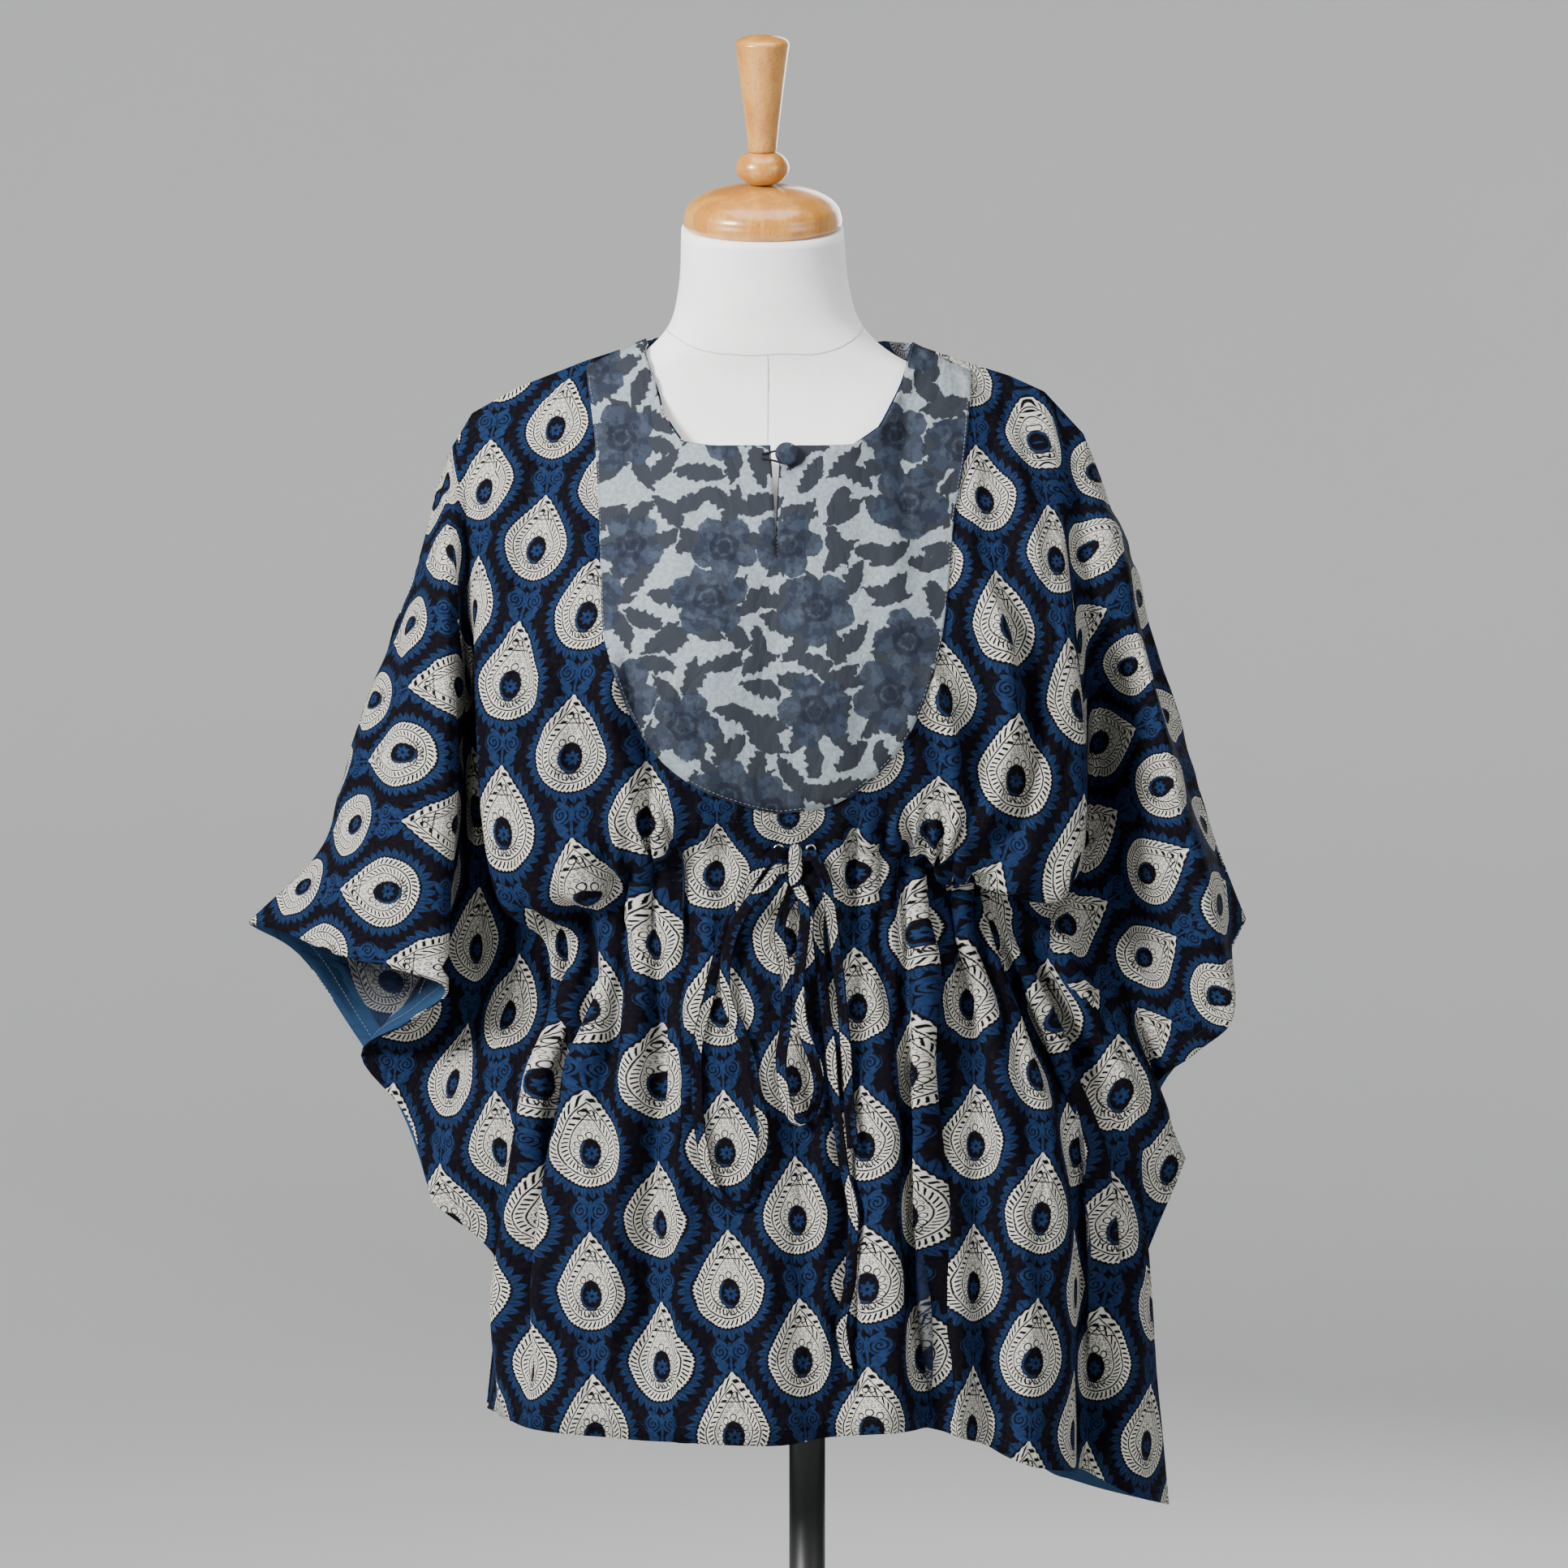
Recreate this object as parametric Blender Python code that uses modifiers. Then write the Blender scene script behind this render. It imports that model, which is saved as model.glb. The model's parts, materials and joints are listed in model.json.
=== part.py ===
"""Short kaftan on a limbless dress form: every cut piece of the garment and every piece of the stand.

Frame: metres, +Z up, origin on the floor under the pole, the wearer's front faces -Y.
"left" and "right" are the viewer's, looking along +Y.  Garment stations are in millimetres,
x from the centre-front line, y and z in the part's frame.
"""
import math

import bmesh
import bpy
import numpy as np
from mathutils import Matrix, Vector
from mathutils.bvhtree import BVHTree

MM = 0.001

# ---- driving sizes ---------------------------------------------------------------------------------------
GARMENT_X = -0.022  # centre-front line
CLOTH = 0.0012  # wall of one layer of cotton
LAY_GAP = 0.0007  # between a panel and what is sewn on it
FORM_CLEAR = 0.0030  # cloth to jersey
POLE_RADIUS = 0.0125
BASE_RADIUS = 0.175
BASE_HEIGHT = 0.008
BASE_ROUND = 0.002  # bevel of its upper edge
TORSO_BOTTOM = 0.720
NECK_LEAN = math.radians(17)  # the neck, its cap and the handle tip towards the front

STRING_WIDTH = 0.008
STRING_THICK = 0.0014
BUTTON_RADIUS = 0.008
EYELET_RADIUS = 0.0039

SLIT_HALF = 0.0022  # half of the slit at the neckline
SLIT_CLOSED = 0.0004  # half of it just above its lower end
SLIT_END = 1.228  # height where it ends
SLIT_TAPER = 1.3  # how fast it closes towards that end

# ---- dress form: half width, front and back depth and the place of the section's centre, at each height --
FORM_SECTIONS = (
    # z      half   front  back   centre x, y
    (0.720, 0.163, 0.105, 0.113, -0.012, 0.000),
    (0.800, 0.165, 0.106, 0.117, -0.014, 0.000),
    (0.900, 0.157, 0.100, 0.105, -0.016, 0.000),
    (1.000, 0.126, 0.087, 0.082, -0.018, 0.000),
    (1.040, 0.124, 0.086, 0.080, -0.019, 0.000),
    (1.100, 0.134, 0.106, 0.086, -0.020, 0.000),
    (1.165, 0.150, 0.126, 0.094, -0.021, 0.000),
    (1.230, 0.164, 0.110, 0.100, -0.022, 0.000),
    (1.286, 0.181, 0.080, 0.098, -0.023, 0.002),
    (1.322, 0.181, 0.058, 0.080, -0.023, 0.003),
    (1.344, 0.160, 0.050, 0.068, -0.024, 0.002),
    (1.360, 0.124, 0.048, 0.062, -0.026, 0.000),
    (1.376, 0.088, 0.050, 0.058, -0.028, -0.003),
    (1.396, 0.067, 0.052, 0.057, -0.029, -0.006),
    (1.422, 0.059, 0.054, 0.056, -0.030, -0.012),
    (1.462, 0.056, 0.055, 0.055, -0.031, -0.020),
)

# ---- neckline, shoulder and sleeve top, from the centre front outwards: x, y, z in mm --------------------
TOP_RIGHT = (
    (0, -90, 1307), (28, -88, 1307), (52, -83, 1308), (71, -68, 1322), (85, -44, 1350), (94, -12, 1383),
    (127, -8, 1372), (162, -7, 1361), (186, -8, 1350), (213, -8, 1321), (226, -8, 1288), (244, -8, 1231),
    (266, -8, 1162), (288, -8, 1092), (305, -6, 1038), (326, -4, 984),
)
TOP_LEFT = (
    (0, -90, 1307), (-42, -87, 1307), (-63, -76, 1311), (-77, -56, 1333), (-88, -12, 1385),
    (-132, -8, 1371), (-178, -8, 1353), (-210, -8, 1335), (-226, -8, 1308), (-244, -8, 1255),
    (-252, -8, 1206), (-266, -8, 1176), (-290, -8, 1115), (-300, -6, 1077), (-314, -4, 1035), (-366, 0, 981),
)

# ---- folds of the front, viewer's left to right ----------------------------------------------------------
# start: distance in mm from the centre front along the upper edge, negative to the left.
# Then the fold line's stations x, y, z, with tie on the drawstring and end on the hem, side or cuff edge.
FRONT_FOLDS = (
    # name, start, chest, bag, lip,
    # tie, hip, end
    ("sleeve_top_l", -358, (-247, -8, 1233), (-266, -8, 1176), (-290, -8, 1115),
     (-300, -6, 1077), (-314, -4, 1035), (-366, 0, 981)),
    ("sleeve_dip_l", -349, (-243, -30, 1225), (-258, -34, 1165), (-277, -36, 1105),
     (-287, -36, 1070), (-305, -36, 1025), (-340, -24, 976)),
    ("sleeve_face_l", -340, (-234, -58, 1222), (-246, -66, 1160), (-259, -72, 1100),
     (-268, -76, 1060), (-281, -78, 1010), (-298, -72, 962)),
    ("sleeve_edge_l", -331, (-224, -70, 1225), (-222, -86, 1150), (-222, -92, 1085),
     (-224, -94, 1040), (-225, -96, 990), (-223, -94, 941)),
    ("valley_out_l", -323, (-217, -70, 1215), (-214, -48, 1140), (-215, -38, 1080),
     (-218, -36, 1030), (-228, -36, 975), (-252, -42, 915)),
    ("valley_l", -316, (-213, -62, 1210), (-211, -16, 1130), (-211, -4, 1070),
     (-216, 0, 1015), (-238, 0, 950), (-288, 0, 889)),
    ("under_l", -309, (-210, -56, 1205), (-207, -8, 1120), (-205, 0, 1050),
     (-205, 2, 990), (-215, 4, 920), (-256, 4, 846)),
    ("flap_l", -302, (-207, -62, 1200), (-203, -30, 1115), (-196, -24, 1040),
     (-178, -26, 985), (-200, -40, 880), (-237, -18, 789)),
    ("side_mid_l", -295, (-205, -68, 1197), (-202, -44, 1112), (-193, -32, 1032),
     (-172, -30, 981), (-184, -48, 865), (-190, -20, 745)),
    ("side_l", -288, (-203, -74, 1194), (-201, -60, 1110), (-190, -42, 1025),
     (-166, -34, 978), (-178, -52, 850), (-199, -20, 648)),
    ("drape_l", -278, (-196, -84, 1190), (-201, -82, 1100), (-186, -74, 1000),
     (-154, -46, 972), (-160, -72, 850), (-184, -64, 646)),
    ("skirt_a_l", -250, (-172, -98, 1180), (-176, -100, 1090), (-164, -92, 1000),
     (-140, -58, 975), (-146, -78, 850), (-168, -92, 643)),
    ("skirt_b_l", -219, (-140, -112, 1172), (-143, -110, 1085), (-136, -99, 1010),
     (-122, -72, 992), (-128, -100, 850), (-142, -110, 641)),
    ("skirt_c_l", -190, (-108, -122, 1165), (-110, -116, 1078), (-104, -106, 1030),
     (-95, -86, 1014), (-100, -104, 850), (-113, -112, 639)),
    ("neck_l", -169, (-90, -127, 1162), (-90, -119, 1077), (-85, -109, 1040),
     (-78, -91, 1022), (-80, -108, 850), (-90, -121, 638)),
    ("skirt_d_l", -95, (-72, -131, 1160), (-70, -121, 1076), (-66, -112, 1048),
     (-60, -95, 1028), (-60, -112, 850), (-66, -130, 638)),
    ("skirt_e_l", -36, (-34, -135, 1160), (-33, -123, 1076), (-32, -113, 1056),
     (-30, -99, 1034), (-28, -116, 850), (-30, -138, 637)),
    ("centre", 0, (0, -133, 1160), (0, -122, 1076), (0, -112, 1058),
     (0, -100, 1035), (2, -117, 850), (4, -139, 637)),
    ("skirt_e_r", 36, (34, -135, 1160), (32, -123, 1076), (31, -112, 1056),
     (27, -99, 1034), (30, -110, 850), (33, -122, 640)),
    ("skirt_d_r", 88, (66, -131, 1160), (60, -120, 1076), (54, -111, 1053),
     (48, -95, 1032), (62, -116, 850), (74, -140, 645)),
    ("neck_r", 167, (90, -126, 1162), (80, -117, 1076), (72, -106, 1048),
     (65, -90, 1030), (80, -106, 850), (92, -124, 645)),
    ("skirt_c_r", 182, (106, -121, 1165), (94, -113, 1076), (86, -102, 1044),
     (78, -85, 1028), (94, -96, 850), (105, -108, 645)),
    ("skirt_b_r", 211, (136, -110, 1172), (120, -106, 1078), (108, -93, 1036),
     (97, -73, 1024), (114, -104, 850), (122, -124, 641)),
    ("skirt_a_r", 237, (164, -100, 1180), (152, -104, 1082), (136, -92, 1022),
     (113, -62, 1020), (132, -86, 850), (142, -98, 632)),
    ("face_r", 256, (182, -92, 1186), (182, -102, 1088), (166, -93, 1008),
     (126, -52, 1016), (164, -92, 850), (170, -112, 620)),
    ("drape_r", 272, (197, -86, 1190), (207, -90, 1092), (194, -82, 1003),
     (138, -42, 1010), (188, -84, 840), (198, -90, 613)),
    ("valley_in_r", 280, (203, -76, 1191), (212, -54, 1095), (202, -42, 1010),
     (150, -32, 1000), (204, -40, 835), (213, -34, 606)),
    ("skirt_edge_r", 286, (207, -64, 1193), (215, -20, 1098), (208, -10, 1020),
     (166, -24, 988), (228, -46, 825), (242, -48, 592)),
    ("side_r", 292, (210, -56, 1195), (217, -4, 1100), (212, 4, 1030),
     (182, -18, 980), (244, -30, 812), (272, -4, 578)),
    ("side_mid_r", 297, (212, -54, 1196), (219, 0, 1102), (214, 5, 1030),
     (190, -20, 974), (250, -24, 846), (251, -10, 722)),
    ("flap_r", 302, (214, -54, 1198), (221, 2, 1104), (216, 6, 1030),
     (200, -24, 968), (258, -18, 872), (284, -4, 818)),
    ("under_r", 309, (219, -58, 1202), (228, -8, 1120), (229, 0, 1050),
     (230, 2, 985), (252, 2, 920), (264, 4, 866)),
    ("valley_out_r", 318, (226, -62, 1210), (240, -38, 1136), (250, -44, 1075),
     (258, -44, 1015), (274, -34, 950), (290, -24, 892)),
    ("sleeve_edge_r", 330, (236, -56, 1224), (254, -64, 1160), (269, -68, 1100),
     (283, -70, 1040), (299, -66, 975), (313, -58, 919)),
    ("sleeve_dip_r", 342, (243, -24, 1222), (259, -26, 1160), (275, -28, 1105),
     (287, -26, 1060), (302, -26, 1015), (314, -24, 974)),
    ("sleeve_top_r", 356, (250, -8, 1212), (266, -8, 1162), (288, -8, 1092),
     (297, -7, 1064), (305, -6, 1038), (326, -4, 984)),
)

# ---- folds of the back, the same way; its side seams end where the front's do ----------------------------
BACK_FOLDS = (
    # name, start, chest, bag, lip,
    # tie, hip, end
    ("sleeve_a_l", -299, (-238, 30, 1222), (-250, 40, 1165), (-268, 46, 1105),
     (-280, 48, 1060), (-298, 46, 1010), (-334, 34, 958)),
    ("sleeve_b_l", -283, (-226, 52, 1215), (-230, 62, 1145), (-240, 70, 1080),
     (-252, 74, 1030), (-270, 72, 975), (-300, 60, 905)),
    ("valley_l", -268, (-214, 40, 1205), (-214, 46, 1125), (-216, 50, 1055),
     (-222, 50, 1000), (-236, 46, 930), (-264, 40, 850)),
    ("flap_l", -258, (-207, 30, 1195), (-205, 32, 1110), (-200, 24, 1035),
     (-190, 12, 985), (-206, 8, 885), (-237, -18, 789)),
    ("side_mid_l", -252, (-206, 36, 1193), (-203, 40, 1108), (-196, 32, 1026),
     (-180, 16, 980), (-186, 4, 865), (-190, -20, 745)),
    ("side_l", -246, (-204, 44, 1191), (-200, 48, 1104), (-190, 40, 1018),
     (-168, 22, 976), (-176, 4, 850), (-199, -20, 648)),
    ("drape_l", -235, (-196, 72, 1188), (-196, 82, 1100), (-182, 74, 1005),
     (-154, 44, 976), (-172, 60, 846), (-194, 62, 634)),
    ("skirt_a_l", -197, (-158, 102, 1182), (-158, 106, 1088), (-148, 96, 1012),
     (-124, 70, 992), (-142, 104, 848), (-162, 108, 634)),
    ("skirt_b_l", -148, (-110, 112, 1180), (-108, 114, 1082), (-102, 104, 1030),
     (-88, 84, 1008), (-100, 110, 846), (-112, 118, 618)),
    ("skirt_c_l", -50, (-54, 113, 1180), (-53, 116, 1080), (-50, 108, 1042),
     (-43, 92, 1018), (-52, 126, 848), (-66, 140, 601)),
    ("centre", 0, (0, 110, 1180), (0, 115, 1080), (0, 106, 1046),
     (0, 92, 1022), (0, 118, 850), (0, 124, 616)),
    ("skirt_c_r", 50, (54, 113, 1180), (53, 116, 1080), (49, 108, 1044),
     (41, 92, 1022), (50, 126, 848), (56, 138, 622)),
    ("skirt_b_r", 146, (110, 112, 1182), (107, 114, 1084), (98, 103, 1036),
     (82, 84, 1018), (98, 110, 845), (108, 116, 616)),
    ("skirt_a_r", 199, (160, 102, 1186), (158, 106, 1090), (142, 94, 1022),
     (112, 68, 1014), (144, 108, 842), (164, 112, 600)),
    ("drape_r", 243, (198, 74, 1192), (202, 84, 1096), (190, 76, 1010),
     (140, 42, 1004), (188, 64, 838), (212, 62, 585)),
    ("side_r", 250, (206, 46, 1194), (210, 54, 1100), (206, 42, 1020),
     (178, 22, 988), (240, 22, 815), (272, -4, 578)),
    ("side_mid_r", 257, (209, 40, 1196), (214, 48, 1104), (213, 38, 1030),
     (192, 18, 992), (244, 16, 850), (251, -10, 722)),
    ("flap_r", 264, (212, 36, 1198), (218, 44, 1110), (221, 40, 1035),
     (206, 22, 988), (250, 26, 885), (284, -4, 818)),
    ("valley_r", 274, (214, 40, 1206), (222, 46, 1125), (232, 48, 1060),
     (240, 48, 1000), (252, 46, 935), (268, 42, 858)),
    ("sleeve_b_r", 288, (232, 50, 1218), (246, 60, 1150), (258, 66, 1090),
     (268, 68, 1035), (282, 64, 975), (300, 52, 902)),
    ("sleeve_a_r", 303, (244, 28, 1224), (260, 36, 1165), (277, 40, 1108),
     (288, 40, 1064), (300, 36, 1020), (316, 28, 955)),
)

TIE, HIP, END = 4, 5, 6  # numbers of the stations, counted from 0 at the upper edge

# Rows of the cloth's grid between one station and the next, and columns between one fold and the next.
FRONT_ROWS = (6, 2, 2, 3, 3, 3)
BACK_ROWS = (5, 2, 2, 2, 2, 3)
GATHER_COLUMNS = 4  # where the gathers are deep
DEEP_GATHER = 2.6  # mm
PLAIN_COLUMNS = 2

# ---- gathers on the drawstring ---------------------------------------------------------------------------
# up and down: how many stations the pleats reach above and below it.
# height: the pleats' height in mm at places across, from 0 at the first fold to 1 at the last.
FRONT_GATHERS = dict(
    first="side_l", last="valley_in_r", pleats=16, up=1.7, down=1.15,
    height=((0.0, 5.0), (0.12, 6.0), (0.3, 4.5), (0.42, 1.6), (0.58, 1.5),
            (0.72, 3.0), (0.85, 6.0), (1.0, 5.0)),
)
BACK_GATHERS = dict(
    first="drape_l", last="drape_r", pleats=10, up=1.6, down=1.2,
    height=((0.0, 5.0), (0.2, 6.0), (0.5, 4.0), (0.8, 6.0), (1.0, 5.0)),
)
PLEAT_EDGE = 0.04  # share of the gathered width over which the pleats start at each end

# ---- bib yoke: its outline, x from the centre front and z in mm ------------------------------------------
# Both halves start at the shoulder seam and end at the yoke's lowest point.
YOKE_RIGHT = (
    (135, 1362), (129, 1301), (121, 1258), (118, 1225), (110, 1170), (96, 1126), (79, 1096),
    (42, 1066), (4, 1059),
)
YOKE_LEFT = (
    (-130, 1366), (-122, 1302), (-118, 1225), (-113, 1169), (-92, 1115), (-58, 1079), (-14, 1062),
    (4, 1059),
)


def smooth(x):
    """Ease from 0 to 1."""
    x = min(max(x, 0.0), 1.0)
    return x * x * (3 - 2 * x)


def table(rows, x):
    """Value at x of a short table of (x, value) rows, eased between them."""
    for (x0, v0), (x1, v1) in zip(rows, rows[1:]):
        if x <= x1:
            return v0 + (v1 - v0) * smooth((x - x0) / (x1 - x0))
    return rows[-1][1]


def knots(points):
    """Centripetal parameter of each control point."""
    steps = [max(np.linalg.norm(b - a), 1e-6) ** 0.5 for a, b in zip(points, points[1:])]
    return np.concatenate([[0.0], np.cumsum(steps)])


def slopes(points, t):
    """Catmull-Rom slope at each control point for uneven knots."""
    chord = [(b - a) / (tb - ta) for a, b, ta, tb in zip(points, points[1:], t, t[1:])]
    inner = [(c0 * (t2 - t1) + c1 * (t1 - t0)) / (t2 - t0)
             for c0, c1, t0, t1, t2 in zip(chord, chord[1:], t, t[1:], t[2:])]
    return [chord[0]] + inner + [chord[-1]]


def hermite(p0, p1, m0, m1, span, f):
    """Cubic between two points, f from 0 to 1, slopes given over the span of their knots."""
    f2, f3 = f * f, f * f * f
    return (p0 * (2 * f3 - 3 * f2 + 1) + m0 * span * (f3 - 2 * f2 + f)
            + p1 * (3 * f2 - 2 * f3) + m1 * span * (f3 - f2))


def curve(points, f_list):
    """Points of a smooth curve at control-point numbers such as 2.5."""
    points = [np.array(p, float) for p in points]
    t = knots(points)
    m = slopes(points, t)
    out = []
    for f in f_list:
        i = min(int(f), len(points) - 2)
        out.append(hermite(points[i], points[i + 1], m[i], m[i + 1], t[i + 1] - t[i], f - i))
    return out


FINE = 40  # points of a smooth curve between two control points, to measure along it


def even(points, step):
    """A smooth curve through the points, resampled at an even step."""
    fine = np.array(curve(points, np.linspace(0, len(points) - 1, FINE * (len(points) - 1) + 1)))
    run = np.concatenate([[0], np.cumsum(np.linalg.norm(np.diff(fine, axis=0), axis=1))])
    count = max(int(round(run[-1] / step)), 2)
    places = np.linspace(0, run[-1], count + 1)
    return [np.array([np.interp(s, run, fine[:, k]) for k in range(3)]) for s in places]


# ---- the dress form's surface ----------------------------------------------------------------------------

FORM_POWER = 2.25  # squareness of a section
FORM_SIDES = 28
FORM_STEPS = 1


def form_rows(steps):
    """Form sections on smooth curves between the measured ones."""
    places = np.linspace(0, len(FORM_SECTIONS) - 1, (len(FORM_SECTIONS) - 1) * steps + 1)
    return np.array(curve(FORM_SECTIONS, places))


def form_point(row, angle):
    """A point of a section's outline, at an angle from +X towards the back."""
    z, half, front, back, cx, cy = row
    c, s = math.cos(angle), math.sin(angle)
    power = 2 / FORM_POWER
    x = half * math.copysign(abs(c) ** power, c)
    depth = back if s > 0 else front
    return np.array([cx + x, cy + depth * math.copysign(abs(s) ** power, s), z])


def form_rings():
    """The torso's rings of points, as its object has them."""
    sections = form_rows(FORM_STEPS)
    angles = [2 * math.pi * k / FORM_SIDES for k in range(FORM_SIDES)]
    rings = np.array([[form_point(row, angle) for angle in angles] for row in sections])
    rings[-1, :, 2] += (rings[-1, :, 1] - sections[-1][5]) * math.tan(NECK_LEAN)
    return rings


def ring_tree(rings):
    """A search tree over rings of points."""
    count, sides = rings.shape[:2]
    faces = []
    for low in range(0, (count - 1) * sides, sides):
        for k in range(sides):
            n = (k + 1) % sides
            faces.append((low + k, low + n, low + sides + n, low + sides + k))
    return BVHTree.FromPolygons([Vector(p) for p in rings.reshape(-1, 3)], faces)


CLEAR_REACH = 0.06  # how near a surface has to be to carry the cloth
UNDER_REACH = 0.01  # the same for a cloth that another one lies on
FACING = 0.8  # least share of the distance that lies along the normal, so that edges carry nothing
HALFWAY_CLEAR = 0.8  # share of the clearance that is kept between the points


def push_out(tree, p, clear):
    """How far and which way a point has to move to stand clear of the form."""
    place, normal, index, distance = tree.find_nearest(Vector(p))
    height = (Vector(p) - place).dot(normal)
    beside = abs(height) < distance * FACING
    if distance > CLEAR_REACH or beside:
        return np.zeros(3)
    return np.array(normal) * max(clear - height, 0.0)


def drape_over(grid, tree, clear, rounds=8):
    """Lift a panel's points until it lies clear over what carries it, also halfway between them."""
    rows, columns = grid.shape[:2]
    for _ in range(rounds):
        for r in range(rows):
            for c in range(columns):
                grid[r, c] += push_out(tree, grid[r, c], clear)
        for r in range(rows - 1):
            for c in range(columns - 1):
                cell = grid[r:r + 2, c:c + 2]
                for middle in (cell.mean(axis=(0, 1)), cell[:, 0].mean(axis=0), cell[0].mean(axis=0)):
                    cell += push_out(tree, middle, clear * HALFWAY_CLEAR)


def stay_over(grid, points, clear, rounds=6):
    """Lift a panel's cells off points of the cloth under it."""
    columns = grid.shape[1] - 1
    for _ in range(rounds):
        tree = bvh(grid)
        for p in points:
            place, normal, index, distance = tree.find_nearest(Vector(p))
            height = (Vector(p) - place).dot(normal)
            deficit = clear + height
            if distance < UNDER_REACH and abs(height) > distance * FACING and deficit > 0:
                r, c = divmod(index // 2, columns)
                grid[r:r + 2, c:c + 2] += np.array(normal) * deficit


# ---- cloth panels ----------------------------------------------------------------------------------------


def metres(p):
    """A garment station in the part's frame."""
    return np.array([GARMENT_X + p[0] * MM, p[1] * MM, p[2] * MM])


def on_line(points, distance):
    """Point at a distance in mm along a broken line."""
    points = [np.array(p, float) for p in points]
    for a, b in zip(points, points[1:]):
        length = np.linalg.norm(b - a)
        if distance <= length or b is points[-1]:
            return a + (b - a) * min(distance / length, 1.0)
        distance -= length


def top_point(start, left_line, right_line):
    """Where a fold starts on the neckline, shoulder or sleeve top."""
    return on_line(left_line if start < 0 else right_line, abs(start))


def fold_line(row, left_line, right_line):
    """A fold's control points in metres, from the top to the end."""
    name, start, *stations = row
    return [metres(top_point(start, left_line, right_line))] + [metres(s) for s in stations]


def row_places(counts):
    """Station numbers of the grid's rows."""
    places = [0.0]
    for station, count in enumerate(counts):
        places += [station + (k + 1) / count for k in range(count)]
    return places


def column_places(names, gathers):
    """Fold numbers of the grid's columns, closer together where the gathers are deep."""
    first, last = names.index(gathers["first"]), names.index(gathers["last"])
    places = [0.0]
    for fold in range(len(names) - 1):
        f = (fold + 0.5 - first) / (last - first)
        deep = 0 < f < 1 and table(gathers["height"], f) > DEEP_GATHER
        count = GATHER_COLUMNS if deep else PLAIN_COLUMNS
        places += [fold + (k + 1) / count for k in range(count)]
    return places


CORNER_START = HIP + 0.3  # the station from which the cloth's corners are felt


def corner_weight(place):
    """How far the cloth's corners pull the rows near the end straight."""
    return smooth((place - CORNER_START) / (END - CORNER_START))


def across(points, corners, places, pull):
    """A row of cloth points through one point of each fold."""
    t = knots(points)
    m = slopes(points, t)
    chord = [(b - a) / (tb - ta) for a, b, ta, tb in zip(points, points[1:], t, t[1:])]
    out = []
    for f in places:
        i = min(int(f), len(points) - 2)
        m0 = m[i] + (chord[i] - m[i]) * pull if i in corners else m[i]
        m1 = m[i + 1] + (chord[i] - m[i + 1]) * pull if i + 1 in corners else m[i + 1]
        out.append(hermite(points[i], points[i + 1], m0, m1, t[i + 1] - t[i], f - i))
    return out


def normals(grid):
    """Unit normals of a grid of points, pointing away from the wearer."""
    down = np.gradient(grid, axis=0)
    right = np.gradient(grid, axis=1)
    n = np.cross(down, right)
    return n / np.maximum(np.linalg.norm(n, axis=2, keepdims=True), 1e-9)


TOP_BEND = 0.75  # stations over which the upper edge's shape fades into the folds
GATHER_SPREAD = 1.5  # how much narrower than its reach the gathers' bell curve is


def gather_wave(gathers, first, last, fold_place, row_place):
    """Height in metres of the gathers at a place on the panel."""
    f = (fold_place - first) / (last - first)
    if not 0 < f < 1:
        return 0.0
    reach = gathers["up"] if row_place < TIE else gathers["down"]
    fade = math.exp(-(((row_place - TIE) / reach * GATHER_SPREAD) ** 2))
    ends = smooth(f / PLEAT_EDGE) * smooth((1 - f) / PLEAT_EDGE)
    height = table(gathers["height"], f) * MM * fade * ends
    return height * math.cos(2 * math.pi * gathers["pleats"] * f)


def follow_top(grid, starts, left_line, right_line, row_list, column_list):
    """Bend the first rows so that the upper edge runs along the neckline, shoulder and sleeve top."""
    for c, place in enumerate(column_list):
        i = min(int(place), len(starts) - 2)
        start = starts[i] + (starts[i + 1] - starts[i]) * (place - i)
        shift = metres(top_point(start, left_line, right_line)) - grid[0, c]
        for r, row_place in enumerate(row_list):
            grid[r, c] += shift * (1 - smooth(row_place / TOP_BEND))


def panel(folds, left_line, right_line, gathers, rows, outward):
    """Grid of points of a panel: rows from top to end, columns from the viewer's left to right."""
    names = [row[0] for row in folds]
    corners = [i for i, n in enumerate(names) if n in ("flap_l", "side_l", "flap_r", "side_r")]
    row_list = row_places(rows)
    column_list = column_places(names, gathers)
    lines = [curve(fold_line(row, left_line, right_line), row_list) for row in folds]
    first, last = names.index(gathers["first"]), names.index(gathers["last"])
    grid = np.array([across([line[r] for line in lines], corners, column_list, corner_weight(place))
                     for r, place in enumerate(row_list)])
    follow_top(grid, [row[1] for row in folds], left_line, right_line, row_list, column_list)
    n = normals(grid) * outward
    for r, row_place in enumerate(row_list):
        for c, fold_place in enumerate(column_list):
            grid[r, c] += n[r, c] * gather_wave(gathers, first, last, fold_place, row_place)
    return grid, row_list, column_list


SEAM_SHIFT_TOP = 0.00065  # half the distance between the middles of front and back at the shoulder
SEAM_SHIFT_SIDE = 0.00080  # the same at the side seams, which turn a sharper corner


def sew_edges(grid, names, column_list, toward):
    """Draw a panel's shoulder and side edges back from the seam they share with the other panel."""
    grid[1:, 0, 1] += toward * SEAM_SHIFT_SIDE
    grid[1:, -1, 1] += toward * SEAM_SHIFT_SIDE
    grid[0, :, 1] += toward * SEAM_SHIFT_TOP
    for first, last in (("flap_l", "side_l"), ("side_r", "flap_r")):
        for c, place in enumerate(column_list):
            if names.index(first) <= place <= names.index(last):
                grid[-1, c, 1] += toward * SEAM_SHIFT_SIDE


def front_grid():
    """The front's points."""
    grid, rows, columns = panel(FRONT_FOLDS, TOP_LEFT, TOP_RIGHT, FRONT_GATHERS, FRONT_ROWS, 1)
    sew_edges(grid, [row[0] for row in FRONT_FOLDS], columns, -1)
    return grid


SHOULDER_Z = 1380  # mm, just under the neck end of the shoulder seam


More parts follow.
